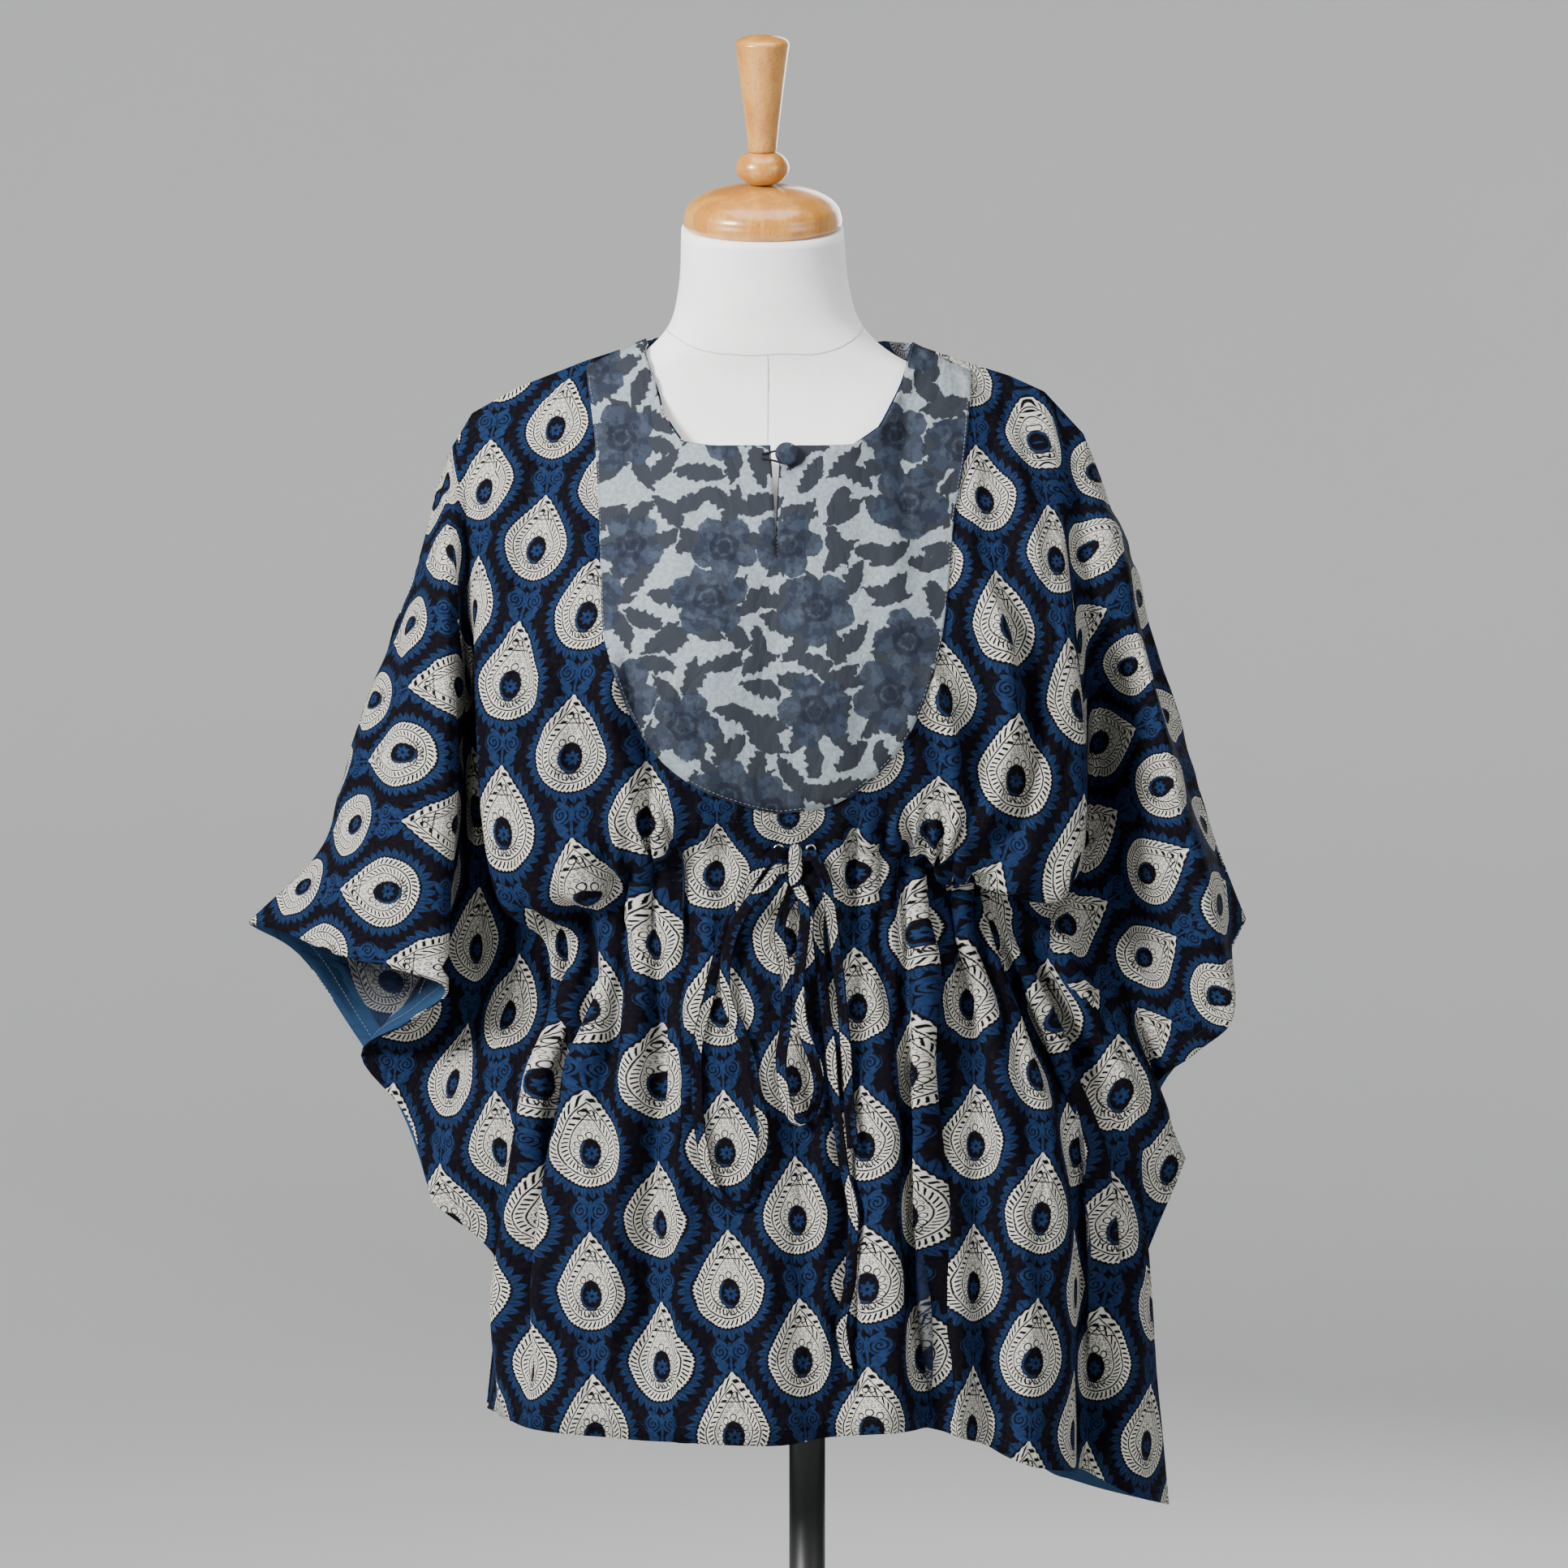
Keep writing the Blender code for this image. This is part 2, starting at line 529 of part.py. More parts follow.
def back_top(front_line, neck):
    """The back's upper edge: its own neckline, then the front's shoulder and sleeve top."""
    shoulder = next(i for i, p in enumerate(front_line) if p[2] > SHOULDER_Z)
    return neck + front_line[shoulder:]


BACK_NECK_RIGHT = ((0, 68, 1377), (41, 59, 1382), (74, 32, 1389))
BACK_NECK_LEFT = ((0, 68, 1377), (-39, 59, 1382), (-70, 32, 1390))
BACK_TOP_START_L = -314  # mm, where the front's outermost left fold starts along the back's own upper edge
BACK_TOP_START_R = 318  # the same for the outermost right fold


def back_folds():
    """The back's folds with the sleeve tops that it shares with the front."""
    left = ("sleeve_top_l", BACK_TOP_START_L) + FRONT_FOLDS[0][2:]
    right = ("sleeve_top_r", BACK_TOP_START_R) + FRONT_FOLDS[-1][2:]
    return (left,) + BACK_FOLDS + (right,)


def back_grid():
    """The back's points."""
    folds = back_folds()
    top_left, top_right = back_top(TOP_LEFT, BACK_NECK_LEFT), back_top(TOP_RIGHT, BACK_NECK_RIGHT)
    grid, rows, columns = panel(folds, top_left, top_right, BACK_GATHERS, BACK_ROWS, -1)
    sew_edges(grid, [row[0] for row in folds], columns, 1)
    return grid


# ---- making objects --------------------------------------------------------------------------------------

# slot: base colour, roughness, metallic
COLORS = {
    "print": ((0.035, 0.045, 0.11, 1), 0.85, 0.0),
    "floral": ((0.35, 0.38, 0.42, 1), 0.85, 0.0),
    "jersey": ((0.80, 0.80, 0.79, 1), 0.9, 0.0),
    "wood": ((0.72, 0.60, 0.46, 1), 0.35, 0.0),
    "black_paint": ((0.015, 0.015, 0.016, 1), 0.35, 0.2),
    "nickel": ((0.75, 0.75, 0.74, 1), 0.25, 1.0),
}


def material(name):
    """A plain Principled material, made once."""
    if name in bpy.data.materials:
        return bpy.data.materials[name]
    color, roughness, metallic = COLORS[name]
    m = bpy.data.materials.new(name)
    m.use_nodes = True
    shader = m.node_tree.nodes["Principled BSDF"]
    shader.inputs["Base Color"].default_value = color
    shader.inputs["Roughness"].default_value = roughness
    shader.inputs["Metallic"].default_value = metallic
    m.diffuse_color = color
    return m


def add_object(name, mesh, slot, collection):
    """A piece made from a mesh, with its material."""
    mesh.materials.append(material(slot))
    obj = bpy.data.objects.new(name, mesh)
    collection.objects.link(obj)
    return obj


def halves(cell, places):
    """The two triangles of a cell, cut along its shorter diagonal."""
    a, b, c, d = cell
    if (places[0] - places[2]).length <= (places[1] - places[3]).length:
        return (a, b, c), (a, c, d)
    return (a, b, d), (b, c, d)


def grid_mesh(name, grid, slit=None):
    """A mesh of triangles over a grid of points; slit is (column, last row) of a cut from the top."""
    rows, columns = grid.shape[:2]
    bm = bmesh.new()
    verts = [[bm.verts.new(grid[r, c]) for c in range(columns)] for r in range(rows)]
    far_side = {}
    if slit:
        column, last = slit
        for r in range(last):
            half = SLIT_CLOSED + (SLIT_HALF - SLIT_CLOSED) * (1 - r / last) ** SLIT_TAPER
            far_side[r] = bm.verts.new(grid[r, column] + np.array([half, 0, 0]))
            verts[r][column].co.x -= half
    for r in range(rows - 1):
        for c in range(columns - 1):
            corner = {}
            for rr in (r, r + 1):
                corner[rr] = far_side.get(rr, verts[rr][c]) if slit and c == slit[0] else verts[rr][c]
            cell = (corner[r], corner[r + 1], verts[r + 1][c + 1], verts[r][c + 1])
            for half in halves(cell, [v.co for v in cell]):
                bm.faces.new(half)
    mesh = bpy.data.meshes.new(name)
    bm.to_mesh(mesh)
    bm.free()
    mesh.shade_smooth()
    return mesh


def cloth(name, mesh, slot, collection, thickness=CLOTH):
    """A piece of cloth from its middle surface, with half of its wall to each side."""
    obj = add_object(name, mesh, slot, collection)
    wall = obj.modifiers.new("wall", "SOLIDIFY")
    wall.thickness = thickness
    wall.offset = 0


def bvh(grid):
    """A search tree over a panel's middle surface."""
    rows, columns = grid.shape[:2]
    verts = [Vector(p) for p in grid.reshape(-1, 3)]
    faces = []
    for r in range(rows - 1):
        for c in range(columns - 1):
            a, b = r * columns + c, (r + 1) * columns + c
            cell = (a, b, b + 1, a + 1)
            faces += halves(cell, [verts[i] for i in cell])
    return BVHTree.FromPolygons(verts, faces)


RAY_START = -0.5
PAST_EDGE_Y = -0.03  # depth from which a point beyond the panel's edge is sought on it


def on_panel(tree, x, z):
    """The outermost point of the front at x and z, seen from the front."""
    hit = tree.ray_cast(Vector((x, RAY_START, z)), Vector((0, 1, 0)))[0]
    if hit is None:
        hit = tree.find_nearest(Vector((x, PAST_EDGE_Y, z)))[0]
    return np.array(hit)


# ---- bib yoke --------------------------------------------------------------------------------------------

YOKE_HALF = 13  # columns on each side of the centre front
YOKE_ROWS = 10
YOKE_TOP_DROP = 0.9  # mm below the neckline and shoulder seam
YOKE_LIFT = 0.0011  # from the front's face to the yoke's
SHOULDER_Y = -9  # mm, where the yoke's outline meets the shoulder seam


def even_line(points, steps):
    """Evenly spaced points of a broken line."""
    line = np.array(points, float)
    run = np.concatenate([[0], np.cumsum(np.linalg.norm(np.diff(line, axis=0), axis=1))])
    places = np.linspace(0, run[-1], steps + 1)
    return np.array([[np.interp(s, run, line[:, k]) for k in range(line.shape[1])] for s in places])


OUTLINE_STEPS = 60


def spokes(neckline, outline):
    """Half of the yoke in mm: straight lines from the neckline to the yoke's outline, shoulder first."""
    inner = even_line(neckline, YOKE_HALF)[::-1]
    control = [(x, SHOULDER_Y, z) for x, z in outline]
    outer = even_line(curve(control, np.linspace(0, len(control) - 1, OUTLINE_STEPS)), YOKE_HALF)
    drop = np.array([0, 0, YOKE_TOP_DROP])
    inner = inner - drop
    outer[0] = outer[0] - drop
    return [[a + (b - a) * r / YOKE_ROWS for r in range(YOKE_ROWS + 1)] for a, b in zip(inner, outer)]


def yoke_plan():
    """The yoke's grid in mm: rows from the neckline to the outline, columns from shoulder to shoulder."""
    left = spokes(TOP_LEFT[:5], YOKE_LEFT)
    right = spokes(TOP_RIGHT[:6], YOKE_RIGHT)
    return np.array(left + right[-2::-1]).transpose(1, 0, 2)


def between(grid):
    """A grid's points with those halfway between them."""
    rows, columns = grid.shape[:2]
    fine = np.zeros((2 * rows - 1, 2 * columns - 1, 3))
    fine[::2, ::2] = grid
    fine[1::2, ::2] = (grid[1:] + grid[:-1]) / 2
    fine[:, 1::2] = (fine[:, 2::2] + fine[:, :-2:2]) / 2
    return fine


NEAR = 0.014  # reach of the average that gives the direction out of a panel
YOKE_CLEAR = CLOTH + YOKE_LIFT * 0.7  # between the two middle surfaces, at least
YOKE_PASSES = 4


def out_of(tree, place):
    """The direction away from a panel at a point on it, averaged over the cells near by."""
    n = np.sum([np.array(hit[1]) for hit in tree.find_nearest_range(Vector(place), NEAR)], axis=0)
    return n / np.linalg.norm(n)


def yoke_grid(front):
    """The yoke's points: those of the front under it, moved out by the two walls and the gap."""
    tree = bvh(front)
    plan = yoke_plan()
    grid = np.zeros(plan.shape)
    for r, c in np.ndindex(plan.shape[:2]):
        at_seam = r == 0 or c in (0, plan.shape[1] - 1)
        place = metres(plan[r, c])
        if at_seam:
            on_front = np.array(tree.find_nearest(Vector(place))[0])
        else:
            on_front = on_panel(tree, place[0], place[2])
        grid[r, c] = on_front + out_of(tree, on_front) * (CLOTH + YOKE_LIFT)
    for _ in range(YOKE_PASSES):
        drape_over(grid, tree, YOKE_CLEAR, 2)
        stay_over(grid, between(front).reshape(-1, 3), YOKE_CLEAR, 3)
    return grid


# ---- button, loop and eyelets ----------------------------------------------------------------------------

ROUND_STEPS = 16


def turned(name, profile, steps=ROUND_STEPS):
    """A closed body turned about Z from (radius, height) points listed from the top down its outer side."""
    bm = bmesh.new()
    verts = [bm.verts.new((r, 0, z)) for r, z in profile]
    for a, b in zip(verts, verts[1:]):
        bm.edges.new((a, b))
    mesh = bpy.data.meshes.new(name)
    bm.to_mesh(mesh)
    bm.free()
    obj = bpy.data.objects.new(name, mesh)
    screw = obj.modifiers.new("turn", "SCREW")
    screw.steps = screw.render_steps = steps
    screw.use_merge_vertices = True
    screw.merge_threshold = 0.00001
    screw.use_smooth_shade = True
    return obj


def finish(obj, slot, collection):
    """Give a piece its material and its place among the others."""
    obj.data.materials.append(material(slot))
    collection.objects.link(obj)
    return obj


def facing(normal):
    """Rotation that turns local +Z onto a normal, keeping local +X level."""
    z = Vector(normal).normalized()
    x = Vector((1, 0, 0))
    y = z.cross(x).normalized()
    x = y.cross(z)
    return Matrix((x, y, z)).transposed().to_4x4()


def place_on(obj, tree, x, z, height, reach=0.006):
    """Set an object on a panel at garment x, z in mm, standing off its middle surface by a height."""
    x, z = GARMENT_X + x * MM, z * MM
    here = on_panel(tree, x, z)
    side = on_panel(tree, x + reach, z) - on_panel(tree, x - reach, z)
    down = on_panel(tree, x, z - reach) - on_panel(tree, x, z + reach)
    normal = np.cross(down, side)
    normal /= np.linalg.norm(normal)
    obj.matrix_world = Matrix.Translation(here + normal * height) @ facing(normal)
    return obj


BUTTON_PLACE = (7.5, 1299.5)  # garment x and z in mm
BUTTON_SHANK = 0.0034  # its length
SHANK_RADIUS = 0.0026
BUTTON_HEIGHT = 0.0042
BUTTON_RIM = 0.0012  # height of the button's widest line above the shank
BUTTON_FLAT = 0.93  # radius of its underside as a share of its own


def button_profile():
    """Domed button on a short shank, from the crown down."""
    r, top = BUTTON_RADIUS, BUTTON_SHANK + BUTTON_HEIGHT
    rim = BUTTON_SHANK + BUTTON_RIM
    dome = [(r * math.sin(a), rim + (top - rim) * math.cos(a)) for a in np.linspace(0, math.pi / 2, 5)]
    dome[0] = (0, top)
    shank = [(SHANK_RADIUS, BUTTON_SHANK), (SHANK_RADIUS, 0), (0, 0)]
    return dome + [(r * BUTTON_FLAT, BUTTON_SHANK + 0.0002)] + shank


LOOP_RADIUS = 0.00075
LOOP_STEP = 0.0028
# x from the centre front and z from the button, in mm
LOOP_ROUTE = ((-9.0, 1.6), (-5, 2.2), (-1, 3.2), (3.0, 4.2), (7.5, 4.6), (11.5, 3.2), (12.6, 0),
              (11.5, -3.2), (7.5, -4.6), (3.0, -4.2), (-1, -3.2), (-5, -2.2), (-9.0, -1.6))


def tube(name, points, radius):
    """A round cord through the points, with closed ends."""
    data = bpy.data.curves.new(name, "CURVE")
    data.dimensions = "3D"
    data.bevel_depth = radius
    data.bevel_resolution = 1
    data.use_fill_caps = True
    spline = data.splines.new("POLY")
    spline.points.add(len(points) - 1)
    for point, place in zip(spline.points, points):
        point.co = (*place, 1)
    return bpy.data.objects.new(name, data)


def button_loop(tree):
    """A thin loop from the left of the slit round the button's shank, flat on the yoke."""
    stand_off = np.array([0, -(CLOTH / 2 + LAY_GAP + LOOP_RADIUS), 0])
    top = BUTTON_PLACE[1]
    points = [on_panel(tree, GARMENT_X + x * MM, (top + z) * MM) + stand_off for x, z in LOOP_ROUTE]
    return tube("button_loop", even(points, LOOP_STEP), LOOP_RADIUS)


EYELETS = (("eyelet_left", 2.2, 1034), ("eyelet_right", 23.7, 1034))  # garment x and z in mm
EYELET_WIRE = 0.0008  # radius of the ring's section


def eyelet(name, x, z, tree, collection):
    """A metal ring on the front, round one of the holes that the drawstring comes out of."""
    bpy.ops.mesh.primitive_torus_add(major_segments=ROUND_STEPS, minor_segments=6,
                                     major_radius=EYELET_RADIUS - EYELET_WIRE, minor_radius=EYELET_WIRE)
    obj = bpy.context.object
    obj.name = obj.data.name = name
    for other in list(obj.users_collection):
        other.objects.unlink(obj)
    place_on(obj, tree, x, z, CLOTH / 2 + EYELET_WIRE + LAY_GAP)
    return finish(obj, "nickel", collection)


# ---- drawstring: x, z in mm on the front and how far the band's middle stands off it ---------------------

KNOT_PLACE = (13.5, 1023)
KNOT_SIZE = (0.0108, 0.0088, 0.0300)  # wide, deep, high
KNOT_POWER = 0.8  # below 1 it is squarer than an ellipsoid
STRING_GAP = 0.0004  # from the knot to the front and to each band that comes out of it
BOW_LEFT = (
    (1, 1032, 6), (-10, 1022, 6), (-27, 992, 5), (-39, 960, 4), (-45, 934, 4), (-52, 905, 4), (-53, 880, 4),
    (-50, 843, 4), (-41, 807, 4), (-29, 796, 4), (-17, 800, 4), (-11, 824, 4), (-8, 846, 4), (-13, 873, 4),
    (-17, 894, 4), (-24, 914, 5), (-31, 928, 6.5), (-34, 948, 8), (-30, 974, 9), (-19, 996, 10),
    (-6, 1011, 11), (1, 1021, 10.5),
)
BOW_RIGHT = (
    (10, 1001, 4), (5, 990, 7), (3, 974, 10), (7, 950, 11), (7, 918, 11), (4, 893, 10), (8, 864, 9),
    (14, 852, 9), (22, 855, 9), (29, 873, 9), (26, 893, 9), (19, 913, 10), (16, 942, 12), (18, 968, 13),
    (20, 988, 12), (19, 1000, 10.5),
)
TAIL_LONG = (
    (26, 1013, 6), (30, 1000, 5), (29, 978, 5), (33, 933, 5), (37, 900, 5), (39, 873, 5), (43, 843, 5),
    (47, 816, 5), (52, 794, 5), (51, 757, 5), (50, 742, 5), (44, 716, 5), (46, 701, 5), (50, 676, 5),
)
TAIL_SHORT = (
    (26, 1030, 8), (34, 1012, 10), (38, 985, 10), (44, 940, 9), (47, 905, 9), (49, 870, 9), (52, 834, 9),
)
# name, route and whether it is a loop, with both its ends at the knot
BANDS = (
    ("bow_loop_left", BOW_LEFT, True),
    ("bow_loop_right", BOW_RIGHT, True),
    ("drawstring_tail_long", TAIL_LONG, False),
    ("drawstring_tail_short", TAIL_SHORT, False),
)
BAND_STEP = 0.011
BAND_REACH = 0.005  # to each side of the band's middle, where the cloth's highest point is sought


def from_knot(point, knot_tree):
    """The point of a band's end that faces the knot."""
    place = np.array(knot_tree.find_nearest(Vector(point))[0])
    way = (point - place) / np.linalg.norm(point - place)
    return place + way * STRING_GAP


def band_line(route, tree, knot_tree, loop):
    """Centre points of a flat band over the front's gathers, from the knot and, in a loop, back to it."""
    points = []
    for x, z, stand in route:
        x, z = GARMENT_X + x * MM, z * MM
        around = [(dx, dz) for dx in (-BAND_REACH, 0, BAND_REACH) for dz in (-BAND_REACH, 0, BAND_REACH)]
        nearest = min(on_panel(tree, x + dx, z + dz)[1] for dx, dz in around)
        points.append(np.array([x, nearest - stand * MM, z]))
    line = even(points, BAND_STEP)
    line.insert(0, from_knot(line[0], knot_tree))
    if loop:
        line.append(from_knot(line[-1], knot_tree))
    return line


def band(name, line, collection):
    """A flat band as a strip along its centre line, with a wall."""
    line = np.array(line)
    along = np.gradient(line, axis=0)
    along /= np.linalg.norm(along, axis=1, keepdims=True)
    side = np.cross(along, np.array([0, -1.0, 0]))
    side /= np.linalg.norm(side, axis=1, keepdims=True)
    grid = np.stack([line + side * STRING_WIDTH / 2, line - side * STRING_WIDTH / 2], axis=1)
    cloth(name, grid_mesh(name, grid), "print", collection, STRING_THICK)


def knot(tree, collection):
    """The bow's knot, a soft upright turn of band close to the front; gives its search tree back."""
    bm = bmesh.new()
    bmesh.ops.create_uvsphere(bm, u_segments=12, v_segments=8, radius=1)
    for v in bm.verts:
        square = [math.copysign(abs(c) ** KNOT_POWER, c) for c in v.co]
        v.co = Vector([c * size / 2 for c, size in zip(square, KNOT_SIZE)])
    x, z = GARMENT_X + KNOT_PLACE[0] * MM, KNOT_PLACE[1] * MM
    y = min(on_panel(tree, x + v.co.x, z + v.co.z)[1] - v.co.y for v in bm.verts) - CLOTH / 2 - STRING_GAP
    bmesh.ops.translate(bm, vec=(x, y, z), verts=bm.verts)
    mesh = bpy.data.meshes.new("drawstring_knot")
    bm.to_mesh(mesh)
    knot_tree = BVHTree.FromBMesh(bm)
    bm.free()
    mesh.shade_smooth()
    add_object("drawstring_knot", mesh, "print", collection)
    return knot_tree


# ---- form and stand --------------------------------------------------------------------------------------

CAP_RADIUS = 0.055
CAP_HEIGHT = 0.030
CAP_EDGE = 0.009  # height of its rim
BALL_RADIUS = 0.0185
BALL_HALF_HEIGHT = 0.0122
HANDLE_LENGTH = 0.080
HANDLE_WIDE, HANDLE_NARROW = 0.0187, 0.0098  # its radius near the top and at the ball
HANDLE_DOME = 0.006
PART_GAP = 0.0003  # between two pieces of the form and its stand


def torso(rings, collection):
    """The padded torso and neck, closed below and above."""
    bm = bmesh.new()
    loops = [[bm.verts.new(p) for p in ring] for ring in rings]
    for low, high in zip(loops, loops[1:]):
        for k in range(FORM_SIDES):
            n = (k + 1) % FORM_SIDES
            bm.faces.new((low[k], low[n], high[n], high[k]))
    bm.faces.new(loops[0][::-1])
    bm.faces.new(loops[-1])
    mesh = bpy.data.meshes.new("form_torso")
    bm.to_mesh(mesh)
    bm.free()
    mesh.shade_smooth()
    add_object("form_torso", mesh, "jersey", collection)


def neck_frame():
    """Place and lean of the neck's top, for the cap, the ball and the handle."""
    z, half, front, back, cx, cy = FORM_SECTIONS[-1]
    return Matrix.Translation((cx, cy, z)) @ Matrix.Rotation(NECK_LEAN, 4, "X")


def neck_cap_profile():
    """Low dome with a rounded rim and a flat underside, from the top down."""
    r, h, edge = CAP_RADIUS, CAP_HEIGHT, CAP_EDGE
    arc = np.linspace(0, math.pi / 2, 8)
    dome = [(r * 0.985 * math.sin(a), edge + (h - edge) * math.cos(a)) for a in arc]
    dome[0] = (0, h)
    return dome + [(r, edge * 0.6), (r * 0.985, edge * 0.25), (r * 0.95, 0), (0, 0)]


def ball_profile():
    """A flattened ball with flat ends where it meets the cap and the handle."""
    low, high = math.radians(158), math.radians(30)
    arc = [(BALL_RADIUS * math.sin(a), BALL_HALF_HEIGHT * math.cos(a)) for a in np.linspace(high, low, 9)]
    return [(0, arc[0][1])] + arc + [(0, arc[-1][1])]


def handle_profile():
    """Tapered handle, wide at its domed top."""
    wide, narrow = HANDLE_WIDE, HANDLE_NARROW
    shaft = HANDLE_LENGTH - HANDLE_DOME
    arc = np.linspace(0, math.pi / 2, 6)
    crown = [(wide * math.sin(a), shaft + HANDLE_DOME * math.cos(a)) for a in arc]
    crown[0] = (0, HANDLE_LENGTH)
    side = [(narrow + (wide - narrow) * f ** 1.15, shaft * f) for f in (0.85, 0.65, 0.4, 0.2, 0.05)]
    return crown + side + [(narrow * 0.93, 0), (0, 0)]


def on_neck(obj, height):
    """Set a turned piece on the neck's top."""
    obj.matrix_world = neck_frame() @ Matrix.Translation((0, 0, height))
    return obj


def stand(collection):
    """Round base plate and pole up to the torso."""
    r, h = BASE_RADIUS, BASE_HEIGHT
    base = turned("stand_base", [(0, h), (r - BASE_ROUND, h), (r, h - BASE_ROUND), (r, 0), (0, 0)], 36)
    finish(base, "black_paint", collection)
    length = TORSO_BOTTOM - BASE_HEIGHT - 2 * PART_GAP
    pole = turned("stand_pole", [(0, length), (POLE_RADIUS, length), (POLE_RADIUS, 0), (0, 0)], 24)
    pole.location = (0, 0, BASE_HEIGHT + PART_GAP)
    finish(pole, "black_paint", collection)


def dress_form(rings, collection):
    """The torso with its cap, ball and handle, one on top of the other."""
    torso(rings, collection)
    height = PART_GAP
    cap = on_neck(turned("neck_cap", neck_cap_profile(), 24), height)
    finish(cap, "wood", collection)
    ball = ball_profile()
    height += CAP_HEIGHT + PART_GAP - ball[-1][1]
    finish(on_neck(turned("finial_ball", ball, 20), height), "wood", collection)
    height += ball[0][1] + PART_GAP
    finish(on_neck(turned("finial_handle", handle_profile(), 20), height), "wood", collection)


# ---- the whole object ------------------------------------------------------------------------------------


def slit_of(grid, column):
    """The column of the front slit, and the row where it ends."""
    return column, int(np.argmin(np.abs(grid[:, column, 2] - SLIT_END)))


def main():
    """Make every piece of the garment and of the dress form."""
    for obj in list(bpy.data.objects):
        bpy.data.objects.remove(obj)
    garment = bpy.data.collections.new("short_kaftan")
    form = bpy.data.collections.new("dress_form")
    for collection in (garment, form):
        bpy.context.scene.collection.children.link(collection)

    rings = form_rings()
    form_tree = ring_tree(rings)
    front = front_grid()
    drape_over(front, form_tree, FORM_CLEAR)
    back = back_grid()
    drape_over(back, form_tree, FORM_CLEAR)
    centre = int(np.argmin(np.abs(front[0, :, 0] - GARMENT_X)))
    cloth("front", grid_mesh("front", front, slit_of(front, centre)), "print", garment)
    cloth("back", grid_mesh("back", back[:, ::-1]), "print", garment)

    front_tree = bvh(front)
    yoke = yoke_grid(front)
    cloth("yoke", grid_mesh("yoke", yoke, slit_of(yoke, YOKE_HALF)), "floral", garment)
    yoke_tree = bvh(yoke)

    button = place_on(turned("button", button_profile()), yoke_tree, *BUTTON_PLACE, CLOTH / 2 + LAY_GAP)
    finish(button, "floral", garment)
    finish(button_loop(yoke_tree), "print", garment)
    for name, x, z in EYELETS:
        eyelet(name, x, z, front_tree, garment)
    knot_tree = knot(front_tree, garment)
    for name, route, loop in BANDS:
        band(name, band_line(route, front_tree, knot_tree, loop), garment)

    dress_form(rings, form)
    stand(form)


main()
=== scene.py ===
"""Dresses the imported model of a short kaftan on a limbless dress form.

Frame: metres, +Z up, origin on the floor under the pole, the wearer's front faces -Y.
"left" and "right" are the viewer's.  Garment stations are in mm from the centre-front line.
"""
import json
import math

import bmesh
import bpy
import numpy as np
from mathutils import Matrix, Vector
from mathutils.bvhtree import BVHTree

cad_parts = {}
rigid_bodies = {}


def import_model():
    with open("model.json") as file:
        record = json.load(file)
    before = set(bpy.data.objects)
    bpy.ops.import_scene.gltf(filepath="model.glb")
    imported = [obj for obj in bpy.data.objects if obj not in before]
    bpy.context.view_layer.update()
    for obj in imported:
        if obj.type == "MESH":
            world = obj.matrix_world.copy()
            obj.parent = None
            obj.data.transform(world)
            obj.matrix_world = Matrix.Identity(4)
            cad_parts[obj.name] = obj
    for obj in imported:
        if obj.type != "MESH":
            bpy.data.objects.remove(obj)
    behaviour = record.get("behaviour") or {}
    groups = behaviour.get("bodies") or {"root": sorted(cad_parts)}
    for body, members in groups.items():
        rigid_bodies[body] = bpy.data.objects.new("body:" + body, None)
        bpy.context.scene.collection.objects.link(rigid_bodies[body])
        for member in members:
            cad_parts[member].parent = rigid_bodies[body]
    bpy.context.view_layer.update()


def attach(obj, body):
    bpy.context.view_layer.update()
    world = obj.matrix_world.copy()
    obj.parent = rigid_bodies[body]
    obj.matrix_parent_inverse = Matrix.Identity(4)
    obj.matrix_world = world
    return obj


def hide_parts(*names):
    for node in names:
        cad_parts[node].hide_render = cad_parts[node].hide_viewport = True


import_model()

MM = 0.001

# ---- camera ----
PHOTO_SIDE = 1932  # pixels
PIXEL = 0.000564  # metres at the plane y = 0
CAMERA_X, CAMERA_Z, CAMERA_AWAY = -0.0161, 1.078, 3.4
SENSOR = 36.0


def camera():
    data = bpy.data.cameras.new("camera")
    data.sensor_width = SENSOR
    data.lens = SENSOR * CAMERA_AWAY / (PHOTO_SIDE * PIXEL)
    obj = bpy.data.objects.new("camera", data)
    obj.location = (CAMERA_X, -CAMERA_AWAY, CAMERA_Z)
    obj.rotation_euler = (math.radians(90), 0, 0)
    bpy.context.scene.collection.objects.link(obj)
    bpy.context.scene.camera = obj


camera()

# ---- sizes shared with the solids ----
GARMENT_X = -0.022  # centre-front line
CLOTH = 0.0011  # wall of one layer of cotton
FORM_CLEAR = 0.0024  # from the middle of the cloth to the jersey
NECK_LEAN = math.radians(17)
